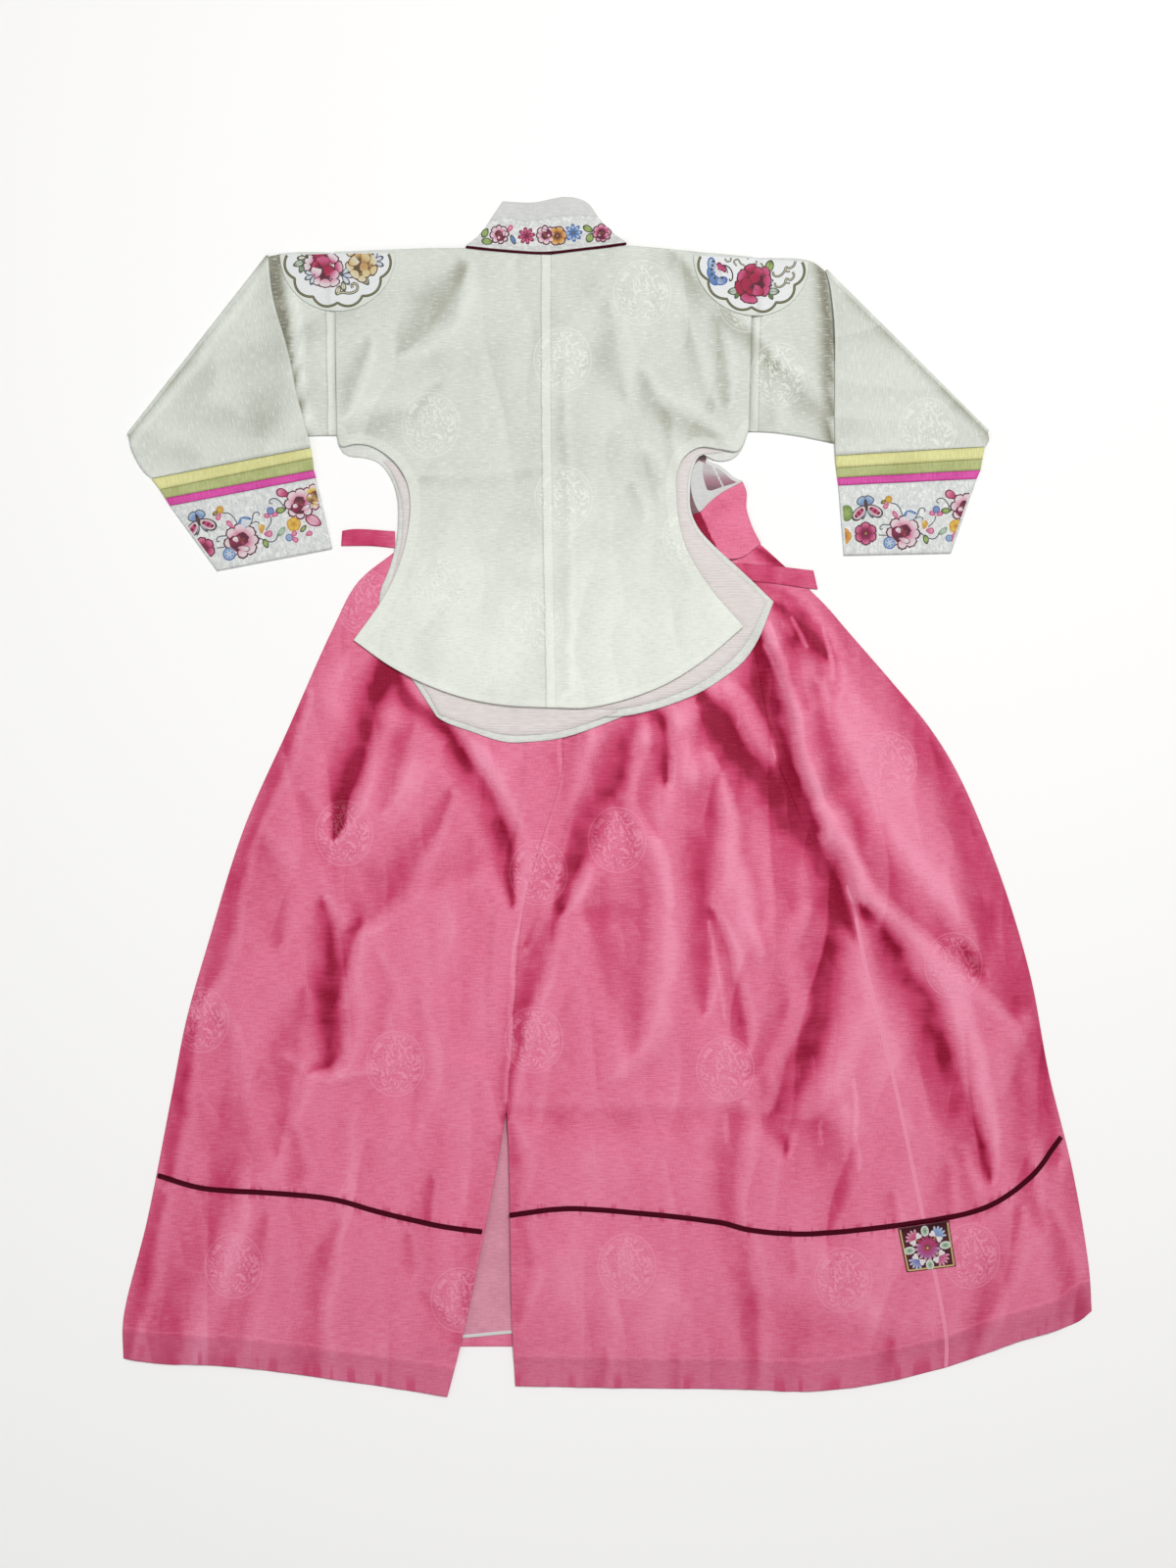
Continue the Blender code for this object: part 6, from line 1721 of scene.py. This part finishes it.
FACING_WIDTH = 10.0  # of the jacket fronts, outside their lining
BACK_HEM_LEFT = [(-231, 143), (-197, 119), (-161, 101), (-125, 89), (-89, 83), (-46, 81)]
BACK_HEM_RIGHT = [(-46, 81), (-17, 81), (19, 89), (55, 103), (91, 126), (125, 155)]
JACKET_FOLDS = [
    ([(78, 488), (118, 430), (150, 380)], 16, 3.0, 0.4),
    ([(112, 420), (108, 385), (100, 350)], 14, 2.0, 0.4),
    ([(-228, 420), (-236, 380), (-243, 350)], 14, 2.0, 0.4),
    ([(60, 350), (58, 325), (50, 300)], 14, 2.0, 0.4),
    ([(20, 285), (28, 265), (36, 245)], 14, 1.5, 0.4),
    ([(-160, 350), (-161, 335), (-158, 300)], 12, 0.8, 0.4),
]


# Soft creases of the jacket and of the sleeves' first halves, given in the same way: on the jacket back
# they sink the cloth and are painted as shade, on the sleeves they are only painted shade; the strongest
# rows, beside the turned sleeves' free edges, are painted shadows.
JACKET_HOLLOWS = [
    (1.0, [(-302, 506, 8), (-299, 470, 9), (-294, 430, 7), (-286, 388, 3), (-275, 325, 2)]),
    (0.3, [(-290, 420, 4), (-264, 434, 9), (-228, 462, 3)]),
    (0.5, [(-217, 416, 2), (-230, 386, 6), (-240, 352, 2)]),
    (0.55, [(-130, 482, 4), (-148, 456, 13), (-168, 430, 12), (-186, 410, 3)]),
    (0.35, [(-133, 488, 3), (-140, 436, 5)]),
    (0.35, [(-246, 332, 6), (-214, 343, 12), (-180, 350, 8), (-154, 376, 2)]),
    (0.2, [(-182, 291, 2), (-110, 289, 4), (-55, 299, 2)]),
    (0.35, [(-42, 400, 2), (-38, 240, 4), (-39, 100, 4)]), (0.25, [(-57, 170, 2), (-55, 104, 3)]),
    (0.55, [(63, 496, 3), (84, 466, 7), (106, 444, 7), (130, 422, 6), (156, 396, 3)]),
    (0.55, [(156, 396, 4), (180, 370, 9), (200, 345, 7), (211, 325, 4)]),
    (1.0, [(195, 496, 3), (202, 455, 6), (206, 410, 6), (208, 365, 5), (207, 325, 4)]),
    (0.45, [(99, 436, 2), (105, 402, 5), (112, 362, 2)]),
    (0.3, [(73, 436, 2), (84, 392, 5), (97, 356, 2)]),
    (0.5, [(35, 386, 3), (46, 360, 8), (72, 343, 9), (106, 326, 4)]),
    (0.35, [(54, 352, 3), (63, 294, 3)]), (0.4, [(3, 446, 4), (5, 402, 10), (16, 368, 3)]),
    (0.35, [(35, 308, 6), (43, 288, 10)]), (0.35, [(23, 284, 2), (32, 260, 4)]),
    (0.3, [(148, 400, 3), (154, 346, 4)]), (0.12, [(-60, 400, 16), (-65, 240, 14)]),
]
# The same for the halves that are turned over, painted as shade only.
OVER_HOLLOWS = [
    (0.35, [(-297, 430, 10), (-304, 385, 24), (-308, 345, 16)]),
    (0.7, [(-308, 500, 4), (-374, 412, 5), (-440, 328, 4)]),
    (0.25, [(-362, 390, 4), (-370, 362, 14), (-345, 350, 6)]),
    (0.85, [(201, 492, 4), (278, 412, 5), (354, 332, 4)]),
    (0.3, [(228, 460, 4), (250, 438, 14), (270, 420, 5)]), (0.2, [(-430, 335, 9), (-380, 310, 9)]),
]
JACKET_DEPTH = 1.6   # the jacket's creases sink this much


def jacket_painted_shading(points, table):
    """Painted shading of the jacket silk: painted shade in its creases and painted highlights beside them,
    paler towards the hem.
    """
    lower = smoothstep((330 - points[..., 1]) / 180)
    hollows, painted_glint = work.bed.marks(table, points)
    depth = 0.46 * hollows + 0.2 * hollows**6
    return np.clip(0.52 + 0.3 * lower + 0.3 * painted_glint * (1 - hollows) - depth, -0.3, 1.0)


class HANBOK_OT_jacket_fronts(bpy.types.Operator):
    """Lay the two jacket fronts, right over left, and their linings"""
    bl_idname = "hanbok.jacket_fronts"
    bl_label = "Jacket fronts"

    def execute(self, context):
        bed = work.bed
        left = panel([(-249, 498.2), (-200, 499), (-128, 500)],
                     [(-155, 73), (-147, 68), (-125, 60), (-93, 50), (-71, 50), (-39, 54), (19, 75),
                      (63, 96)],
                     [[(-249, 498.2), (-246.5, 332)], FRONT_LEFT_SIDE],
                     [(-128, 500), (-26, 362), (19, 299), (45, 241), (63, 96)], 40, 80, HOOK_TURNS)
        right = panel([(18, 504), (80, 498.7), (134, 493.6)],
                      [(-155, 119), (-80, 84), (-38, 77), (-8, 73), (19, 74), (55, 83), (87, 96),
                       (109, 110), (125, 123), (137, 140), (153, 178)],
                      [(18, 504), (-75, 362), (-116, 299), (-141, 241), (-155, 119)],
                      [[(134, 493.6), (130.5, 336)], FRONT_RIGHT_SIDE], 48, 80, HOOK_TURNS)
        for name, grid in (("front_left", left), ("front_right", right)):
            field = bed.surface() + bed.ripple(34, 0.5, 31)
            set_down(name, "front_facing", grid, field, "jacket_cream",
                     ["skirt_back_left", "skirt_back_right"])
        for name, grid, inset in (("front_left_lining", left, (FACING_WIDTH, 60)),
                                  ("front_right_lining", right, (60, FACING_WIDTH))):
            low = inner(grid[36:], *inset, 8, FACING_WIDTH, 30, 50)
            set_down(name, "lilac_lining", low, bed.surface(CELL, 3), "jacket_lining",
                     [name.removesuffix("_lining")], THIN)
        return {"FINISHED"}


class HANBOK_OT_jacket_back(bpy.types.Operator):
    """Lay the two halves of the jacket back, seamed down the middle"""
    bl_idname = "hanbok.jacket_back"
    bl_label = "Jacket back"

    def execute(self, context):
        bed = work.bed
        hollows = bed.marks(JACKET_HOLLOWS, bed.plan())[0]
        relief = JACKET_DEPTH * (1 - blur(hollows, 3)) + bed.ripple(40, 1.0, 41) + bed.ripple(14, 0.3, 42)
        field = bed.surface() + bed.ridges(JACKET_FOLDS) + relief
        neck_left = shifted(NECK[:3], 0, -BESIDE_NECK)
        neck_right = shifted(NECK[3:], 0, -BESIDE_NECK)
        left = panel([[(-249, 498.5), (-161, 502), (-131, 502.2)],
                      [(-131, 502.2)] + neck_left[1:] + [(-51 - SEAM, 496.3)]],
                     BACK_HEM_LEFT[:-1] + [(-46 - SEAM, 81)],
                     [LEFT_SEAM, BACK_LEFT_SIDE], shifted(CENTRE_SEAM, -SEAM), 80, 160, HOOK_TURNS)
        right = panel([[(-51 + SEAM, 496.3)] + neck_right[:-1] + [(20, 504.5)],
                       [(20, 504.5), (55, 501.5), (90, 498), (134, 494)]],
                      [(-46 + SEAM, 81)] + BACK_HEM_RIGHT[1:], shifted(CENTRE_SEAM, SEAM),
                      [RIGHT_SEAM, BACK_RIGHT_SIDE], 80, 160, HOOK_TURNS)
        made = []
        for name, grid, side, hem in (("back_left", left, BACK_LEFT_SIDE, BACK_HEM_LEFT),
                                      ("back_right", right, BACK_RIGHT_SIDE, BACK_HEM_RIGHT)):
            seam = away(grid, CENTRE_SEAM) if name == "back_left" else np.full(grid.shape[:2], FAR)
            turned = np.minimum(away(grid, side), away(grid, hem) + 3)
            tone = jacket_painted_shading(grid, JACKET_HOLLOWS)
            piece, height = lay(name, "cream_silk", grid, field, rings=JACKET_RINGS,
                                floats={"allowance": seam, "hem": turned, "tone": tone})
            declare(piece, grid)
            made.append(piece)
        bed.take(*made)
        return {"FINISHED"}


class HANBOK_OT_collar(bpy.types.Operator):
    """Set the embroidered band, its piping and the white strip on the neck"""
    bl_idname = "hanbok.collar"
    bl_label = "Collar"

    def execute(self, context):
        bed = work.bed
        field = bed.surface(CELL * 2, 6)
        seam = [(-107, 528), (-89, 531), (-75, 527.5), (-53, 531), (-30, 533.5), (-8, 532)]
        cord = ribbon(NECK, PIPING_NECK, 70, 6)
        band = panel(shifted(seam, 0, -SEAM), shifted(NECK, 0, BESIDE_NECK),
                     [(-107, 528 - SEAM), (-116, 516), (-128, 503 + BESIDE_NECK)],
                     [(-8, 532 - SEAM), (3, 520), (18, 506 + BESIDE_NECK)], 60, 12)
        strip = panel([(-95, 546), (-80, 545), (-66, 545), (-39, 550), (-27, 548.8), (-20.5, 546.6)],
                      shifted(seam, 0, SEAM), None,
                      [(-20.5, 546.6), (-15.5, 543), (-11.5, 537.6), (-8, 532 + SEAM)], 50, 8)
        piping, height = lay("neck_piping", "piping_cord", cord, field, dome(cord, 0.5, 1.7))
        declare(piping, cord)
        collar_band, height = lay("collar_band", "cuff_silk", band, field, BRAID)
        stitches = Needlework("collar_needlework", [collar_band],
                              [(-127, 506), (-107, 527), (-8, 530), (17, 509.5), (-55, 500.5)])
        stitches.put((0, 500), PX)
        draw(stitches, COLLAR_SPRAY)
        flowers = stitches.finish("embroidered_white")
        declare(collar_band, band)
        white, height = lay("collar_white_strip", "white_facing", strip, field, BRAID)
        declare(white, strip)
        bed.take(piping, collar_band, white)
        return {"FINISHED"}


# ================================================================ sleeves
class Sleeve:
    """A flattened sleeve turned back over itself along a slanting fold."""

    def __init__(self, mark, root_top, root_bottom, over_top, over_bottom, edge_y, outward, bands):
        self.mark = mark
        self.root_top = root_top
        self.root_bottom = root_bottom
        self.over_top = over_top
        self.over_bottom = over_bottom
        self.edge_y = edge_y
        self.outward = np.array(outward, float) / np.linalg.norm(outward)
        self.bands = bands
        self.relief = None

    def base(self, y):
        """Height under the turned-back half: on the first half, then the floor."""
        return (TUBE + 2 * LINK) * (1 - smoothstep((self.edge_y - STEP_START - y) / STEP_WIDTH))

    def lifted(self, plan):
        return work.bed.sample(self.relief, plan)

    def on_floor(self, plan, height):
        return plan[..., 0], plan[..., 1], height + self.lifted(plan)

    def turned(self, plan, height):
        return plan[..., 0], plan[..., 1], self.base(plan[..., 1]) + TUBE - height + self.lifted(plan)

    def rolled(self, angle):
        """Round the fold, at an angle from straight down to straight up."""
        fold_height = TUBE + LINK

        def place(plan, height):
            radius = fold_height - height
            moved = plan + (radius * math.cos(angle))[..., None] * self.outward
            return moved[..., 0], moved[..., 1], fold_height + radius * math.sin(angle) + self.lifted(plan)

        return place

    def unfolded(self, plan):
        """Where a point of the turned-back half lay before the fold."""
        return plan + 2 * ((np.array(self.root_top[-1]) - plan) @ self.outward)[..., None] * self.outward


def tube_loop(cells):
    """Outer and inner skins of a flattened tube: shares across, bulges, heights."""
    even = np.linspace(0, 1, cells + 1)
    shares = (1 - np.cos(even * math.pi)) / 2 * 0.25 + even * 0.75
    round_over = [(math.sin(a) * EDGE_ROUND, TUBE / 2 * (1 - math.cos(a)))
                  for a in np.linspace(0, math.pi, 5)[1:-1]]
    outer = ([(s, 0.0, 0.0) for s in shares] + [(1.0, b, z) for b, z in round_over]
             + [(s, 0.0, TUBE) for s in shares[::-1]] + [(0.0, -b, z) for b, z in round_over[::-1]])
    inside = []
    for s, bulge, height in outer:
        inset = (1 - 2 * s) * 0.6
        level = TUBE / 2 + (height - TUBE / 2) * (TUBE_AIR / TUBE)
        inside.append((s, inset if not bulge else inset * 0.1, level))
    return np.array(outer), np.array(inside)


def tube(name, finish, sections, cells, curl=None, seam=None):
    """A flattened, open-ended tube; sections are (top, bottom, place, cloth place).

    With seam, the distance of cloth from the shoulder seam, it takes the seam allowance and the jacket's
    painted shading."""
    loops = tube_loop(cells)
    points, cloths, plans = [], [], []
    for index, (top, bottom, place, unfold) in enumerate(sections):
        top = np.asarray(top, float)
        bottom = np.asarray(bottom, float)
        length = np.linalg.norm(bottom - top)
        along = (bottom - top) / length
        lift = 0.0 if curl is None else curl[index]
        for loop in loops:
            plan = top + (bottom - top) * loop[:, :1] + along * loop[:, 1:2]
            x, y, z = place(plan, loop[:, 2])
            z = z + lift * np.maximum(0.0, 1 - loop[:, 0] * length / CURL_WIDTH) ** 2
            points.append(np.column_stack([x, y, z]))
            cloths.append(unfold(plan))
            plans.append(plan)
    size = len(loops[0])
    points = np.vstack(points)
    cloths = np.vstack(cloths)
    plans = np.vstack(plans)
    faces = []
    last = len(sections) - 1
    for i in range(last):
        a = 2 * i * size
        b = 2 * (i + 1) * size
        for k in range(size):
            n = (k + 1) % size
            faces.append((a + k, b + k, b + n, a + n))
            faces.append((a + size + n, b + size + n, b + size + k, a + size + k))
    for a, flip in ((0, False), (2 * last * size, True)):
        for k in range(size):
            n = (k + 1) % size
            ring = (a + n, a + size + n, a + size + k, a + k)
            faces.append(ring[::-1] if flip else ring)
    volume = 0.0
    for face in faces[:2 * size * last]:
        p = points[list(face)]
        volume += np.dot(p[0], np.cross(p[1], p[2])) + np.dot(p[0], np.cross(p[2], p[3]))
    if volume < 0:
        faces = [face[::-1] for face in faces]
    floats = plain_floats(len(points))
    if seam is not None:
        floats["allowance"] = seam(cloths)
        first = np.all(np.abs(plans - cloths) < 0.01, axis=1)
        # Painted shading: the first half's painted shade and shadows of its creases, then the turned half's
        # own.
        floats["tone"] = np.where(first, jacket_painted_shading(plans, JACKET_HOLLOWS),
                                  jacket_painted_shading(plans, OVER_HOLLOWS))
    return make(name, points, faces, finish, uv=cloths, floats=floats,
                vectors={"ring": ring_vectors(plans, JACKET_RINGS)})


def sleeve_body(sleeve):
    """The cream part: root half, roll at the fold, turned-back half."""
    def same(plan):
        return plan

    top = curve(sleeve.root_top, 20)
    bottom = curve(sleeve.root_bottom, 20)
    sections = [(t, b, sleeve.on_floor, same) for t, b in zip(top, bottom)]
    for step in range(1, ROLL_STEPS):
        angle = -math.pi / 2 + math.pi * step / ROLL_STEPS
        sections.append((top[-1], bottom[-1], sleeve.rolled(angle), same))
    plain = len(sections)
    sections += [(t, b, sleeve.turned, sleeve.unfolded)
                 for t, b in zip(curve(sleeve.over_top, OVER_STEPS), curve(sleeve.over_bottom, OVER_STEPS))]
    curl = [0.0] * plain + [CURL * math.sin(math.pi * min(1.0, i / OVER_STEPS / CURL_END))
                            for i in range(OVER_STEPS + 1)]
    root = [sleeve.root_top[0], sleeve.root_bottom[0]]
    return tube(f"sleeve_{sleeve.mark}", "cream_silk", sections, 44, curl, lambda cloth: away(cloth, root))


def sleeve_band(name, finish, sleeve, start, end, cells):
    """A band of the turned-back half between two sections, each (top, bottom)."""
    start = np.asarray(start, float)
    end = np.asarray(end, float)
    run = end - start
    step = run / np.linalg.norm(run, axis=1)[:, None] * SEAM
    marks = np.linspace(0, 1, cells + 1)[:, None, None]
    rails = (start + step) * (1 - marks) + (end - step) * marks
    return tube(name, finish, [(rail[0], rail[1], sleeve.turned, sleeve.unfolded) for rail in rails], 36)


SLEEVE_LEFT = Sleeve(
    "left",
    root_top=[(-249.3, 498.0), (-290, 498.2), (-310, 494.5)],
    root_bottom=[(-246.8, 332), (-340, 331), (-437, 332)],
    over_top=[(-310, 494.5), (-309, 481), (-304.7, 452), (-295.7, 421), (-290, 398), (-284, 367),
              (-277.7, 344), (-274, 330), (-271.6, 319.4)],
    over_bottom=[(-437, 332), (-433.5, 317.5), (-424, 299), (-416.2, 291.8)],
    edge_y=329.0, outward=(-162.5, 127.0),
    bands=[((-271.5, 319), (-416, 291.5)), ((-270, 310), (-408.5, 281.5)), ((-269, 299), (-403.5, 273.5)),
           ((-267, 292), (-399, 266.5)), ((-252, 227), (-356, 207))])
SLEEVE_RIGHT = Sleeve(
    "right",
    root_top=[(134.4, 493.5), (187, 490.5), (201.5, 481)],
    root_bottom=[(130.9, 335.5), (150, 335), (170, 332.5), (190, 329), (212, 324.5), (280, 326),
                 (349, 334)],
    over_top=[(201.5, 481), (204.8, 470), (208, 445), (209.5, 425), (210, 380), (210, 345),
              (210.5, 326), (211, 312.3)],
    over_bottom=[(349, 334), (350, 327), (346.2, 320.3)],
    edge_y=323.0, outward=(147.0, 147.5),
    bands=[((211, 312), (346, 320)), ((212, 301), (344, 309)), ((213, 292), (342.5, 299)),
           ((214, 285), (339, 291)), ((219, 221), (315.5, 223))])
BANDS = [("stripe_yellow", "yellow_silk", 4), ("stripe_green", "green_silk", 4),
         ("stripe_magenta", "magenta_silk", 4), ("cuff", "cuff_silk", 30)]
SLEEVE_FOLDS = [
    ([(150, 440), (190, 400), (230, 360)], 18, 2.0, 0.4),
    ([(235, 430), (255, 390), (262, 345)], 14, 1.6, 0.4),
    ([(-300, 440), (-320, 400), (-335, 350)], 16, 1.6, 0.4),
    ([(-262, 450), (-270, 410), (-275, 350)], 10, 1.2, 0.4),
    ([(-375, 370), (-370, 330), (-365, 290)], 14, 1.5, 0.4),
    ([(240, 330), (245, 290), (250, 240)], 14, 1.2, 0.4),
    ([(300, 340), (300, 300), (296, 250)], 12, 1.0, 0.4),
    ([(-310, 320), (-305, 280), (-290, 225)], 12, 1.2, 0.4),
]


def declare_tube(piece):
    """Hand a tube over."""
    hand_over(piece)


class HANBOK_OT_sleeves(bpy.types.Operator):
    """Turn both sleeves back over themselves, with their stripes and cuffs"""
    bl_idname = "hanbok.sleeves"
    bl_label = "Sleeves"

    def spray(self, sleeve, cuff):
        """The flowering spray across a cuff."""
        (a, b), (c, d) = sleeve.bands[-2:]
        stitches = Needlework(f"cuff_{sleeve.mark}_needlework", [cuff], inset_polygon([a, b, d, c], 1.2))
        heart, scale, turn = CUFF_HEARTS[sleeve.mark]
        stitches.put(heart, PX * scale, turn)
        draw(stitches, CUFF_SPRAY)
        return stitches.finish("embroidered_white")

    def execute(self, context):
        bed = work.bed
        relief = bed.ridges(SLEEVE_FOLDS) + bed.ripple(36, 1.0, 51) + bed.ripple(13, 0.3, 52)
        for sleeve in (SLEEVE_LEFT, SLEEVE_RIGHT):
            sleeve.relief = relief
            body = sleeve_body(sleeve)
            bed.take(body)
            declare_tube(body)
            for (kind, finish, cells), start, end in zip(BANDS, sleeve.bands[:-1], sleeve.bands[1:]):
                piece = sleeve_band(f"{kind}_{sleeve.mark}", finish, sleeve, start, end, cells)
                bed.take(piece)
                sprays = [self.spray(sleeve, piece)] if kind == "cuff" else []
                declare_tube(piece)
        return {"FINISHED"}


# ================================================================ shoulder badges
BADGE_RADIUS = 53.0
BADGES = (("left", (-246.0, 497.6), 0.006, SHOULDER_LEFT),
          ("right", (133.0, 493.2), -0.05, SHOULDER_RIGHT))


def lobes(turn):
    """Reach of a badge's scalloped line, twelve lobes round."""
    return 45.3 + 4.6 * np.abs(np.sin(6 * turn)) ** 0.8


def half_round(turns, reach, centre, slope):
    """Points at angles round a badge, level with the shoulder line's slope."""
    return np.column_stack([centre[0] + reach * np.cos(turns),
                            centre[1] + reach * (np.sin(turns) + slope * np.cos(turns))])


class HANBOK_OT_shoulder_badges(bpy.types.Operator):
    """Set the round badges over the shoulder line"""
    bl_idname = "hanbok.shoulder_badges"
    bl_label = "Shoulder badges"

    def execute(self, context):
        bed = work.bed
        field = bed.surface(CELL * 2, 5)
        for side, centre, slope, spray in BADGES:
            name = f"shoulder_badge_{side}"
            rim = half_round(np.linspace(1, 2, 161) * math.pi, BADGE_RADIUS, centre, slope)
            grid = coons(curve([rim[0], rim[-1]], 80), rim[40:121], rim[:41], rim[120:][::-1])
            arm = grid - centre
            within = lobes(np.arctan2(arm[..., 1], arm[..., 0])) - np.linalg.norm(arm, axis=2)
            piece, height = lay(name, "badge_silk", grid, field, BRAID, floats={"allowance": within})
            stitches = Needlework(f"{name}_needlework", [piece],
                                  [tuple(point - (0, 0.8)) for point in rim[::10]])
            turns = np.linspace(1.01, 1.99, 140) * math.pi
            stitches.vine(half_round(turns, lobes(turns), centre, slope), 2.3, "olive", "scallop", 150)
            stitches.put(centre, PX)
            draw(stitches, spray)
            flowers = stitches.finish("embroidered_white")
            bed.take(piece)
            declare(piece, grid)
        return {"FINISHED"}


# ================================================================ stage
CAMERA_PLACE = (-0.01665, 0.01125, 2.0)
FLOOR_SIZE = 8.0
FLOOR_LEVEL = -0.0004


class HANBOK_OT_stage(bpy.types.Operator):
    """Put down the floor, the lights and the camera"""
    bl_idname = "hanbok.stage"
    bl_label = "Stage"

    def lamp(self, name, place, size, power, colour):
        light = bpy.data.lights.new(name, "AREA")
        light.shape = "DISK"
        light.size = size
        light.energy = power
        light.color = colour
        lamp = bpy.data.objects.new(name, light)
        lamp.location = place
        lamp.rotation_euler = (-Vector(place)).to_track_quat("-Z", "Y").to_euler()
        bpy.context.collection.objects.link(lamp)

    def execute(self, context):
        settings = context.scene.hanbok_stage
        bpy.ops.object.select_all(action="DESELECT")
        bpy.ops.mesh.primitive_plane_add(size=FLOOR_SIZE, location=(0, 0, FLOOR_LEVEL))
        floor = context.object
        bpy.ops.object.transform_apply(location=True, rotation=True, scale=True)
        floor.name = "floor"
        floor.data.materials.append(work.finishes.get("floor_card"))
        self.lamp("key", (0.5, 0.9, 2.9), 1.1, settings.key, (1.0, 0.99, 0.97))
        self.lamp("fill", (-1.5, -0.9, 2.4), 2.5, settings.fill, (0.97, 0.98, 1.0))
        context.scene.view_settings.view_transform = "Standard"
        world = bpy.data.worlds.new("studio")
        world.use_nodes = True
        background = world.node_tree.nodes["Background"]
        background.inputs["Color"].default_value = (1.0, 1.0, 1.0, 1.0)
        background.inputs["Strength"].default_value = settings.sky
        context.scene.world = world
        camera = bpy.data.cameras.new("camera")
        camera.lens = 50.0
        camera.sensor_width = 36.0
        holder = bpy.data.objects.new("camera", camera)
        holder.location = CAMERA_PLACE
        context.collection.objects.link(holder)
        context.scene.camera = holder
        return {"FINISHED"}


# ================================================================ add-on
class HANBOK_PG_stage(bpy.types.PropertyGroup):
    """Strength of the studio light"""
    key: bpy.props.FloatProperty(name="Key light", description="Power of the key lamp", default=62.0,
                                 min=0.0, unit="POWER")
    fill: bpy.props.FloatProperty(name="Fill light", description="Power of the fill lamp", default=12.0,
                                  min=0.0, unit="POWER")
    sky: bpy.props.FloatProperty(name="Room light", description="Strength of the light all round",
                                 default=0.3, min=0.0)


def colour_property(label, value):
    return bpy.props.FloatVectorProperty(name=label, description=f"Colour: {label.lower()}",
                                         default=tint(*value), size=3, min=0.0, max=1.0, subtype="COLOR")


class HANBOK_PG_colours(bpy.types.PropertyGroup):
    """Colours of the cloths and trimmings"""
    __annotations__ = {name: colour_property(*value) for name, value in COLOURS.items()}


class HANBOK_PT_panel(bpy.types.Panel):
    """Lists the steps, colours and lights of the hanbok"""
    bl_idname = "HANBOK_PT_panel"
    bl_label = "Hanbok"
    bl_space_type = "VIEW_3D"
    bl_region_type = "UI"
    bl_category = "Hanbok"

    def draw(self, context):
        for operator in OPERATORS:
            self.layout.operator(operator.bl_idname)
        for group in (context.scene.hanbok_stage, context.scene.hanbok_colours):
            for name in group.__annotations__:
                self.layout.prop(group, name)


OPERATORS = (HANBOK_OT_stage, HANBOK_OT_skirt_front, HANBOK_OT_slit_lining, HANBOK_OT_skirt_back,
             HANBOK_OT_skirt_trim, HANBOK_OT_bodice_front, HANBOK_OT_bodice_back,
             HANBOK_OT_jacket_fronts, HANBOK_OT_jacket_back, HANBOK_OT_collar, HANBOK_OT_sleeves,
             HANBOK_OT_shoulder_badges)
CLASSES = (HANBOK_PG_stage, HANBOK_PG_colours, *OPERATORS, HANBOK_PT_panel)


def register():
    for each in CLASSES:
        bpy.utils.register_class(each)
    bpy.types.Scene.hanbok_stage = bpy.props.PointerProperty(type=HANBOK_PG_stage)
    bpy.types.Scene.hanbok_colours = bpy.props.PointerProperty(type=HANBOK_PG_colours)


def unregister():
    del bpy.types.Scene.hanbok_colours
    del bpy.types.Scene.hanbok_stage
    for each in reversed(CLASSES):
        bpy.utils.unregister_class(each)


def main():
    register()
    work.finishes = Finishes(Colours(bpy.context.scene.hanbok_colours))
    for operator in OPERATORS:
        getattr(bpy.ops.hanbok, operator.bl_idname.split(".")[1])()


if __name__ == "__main__":
    main()
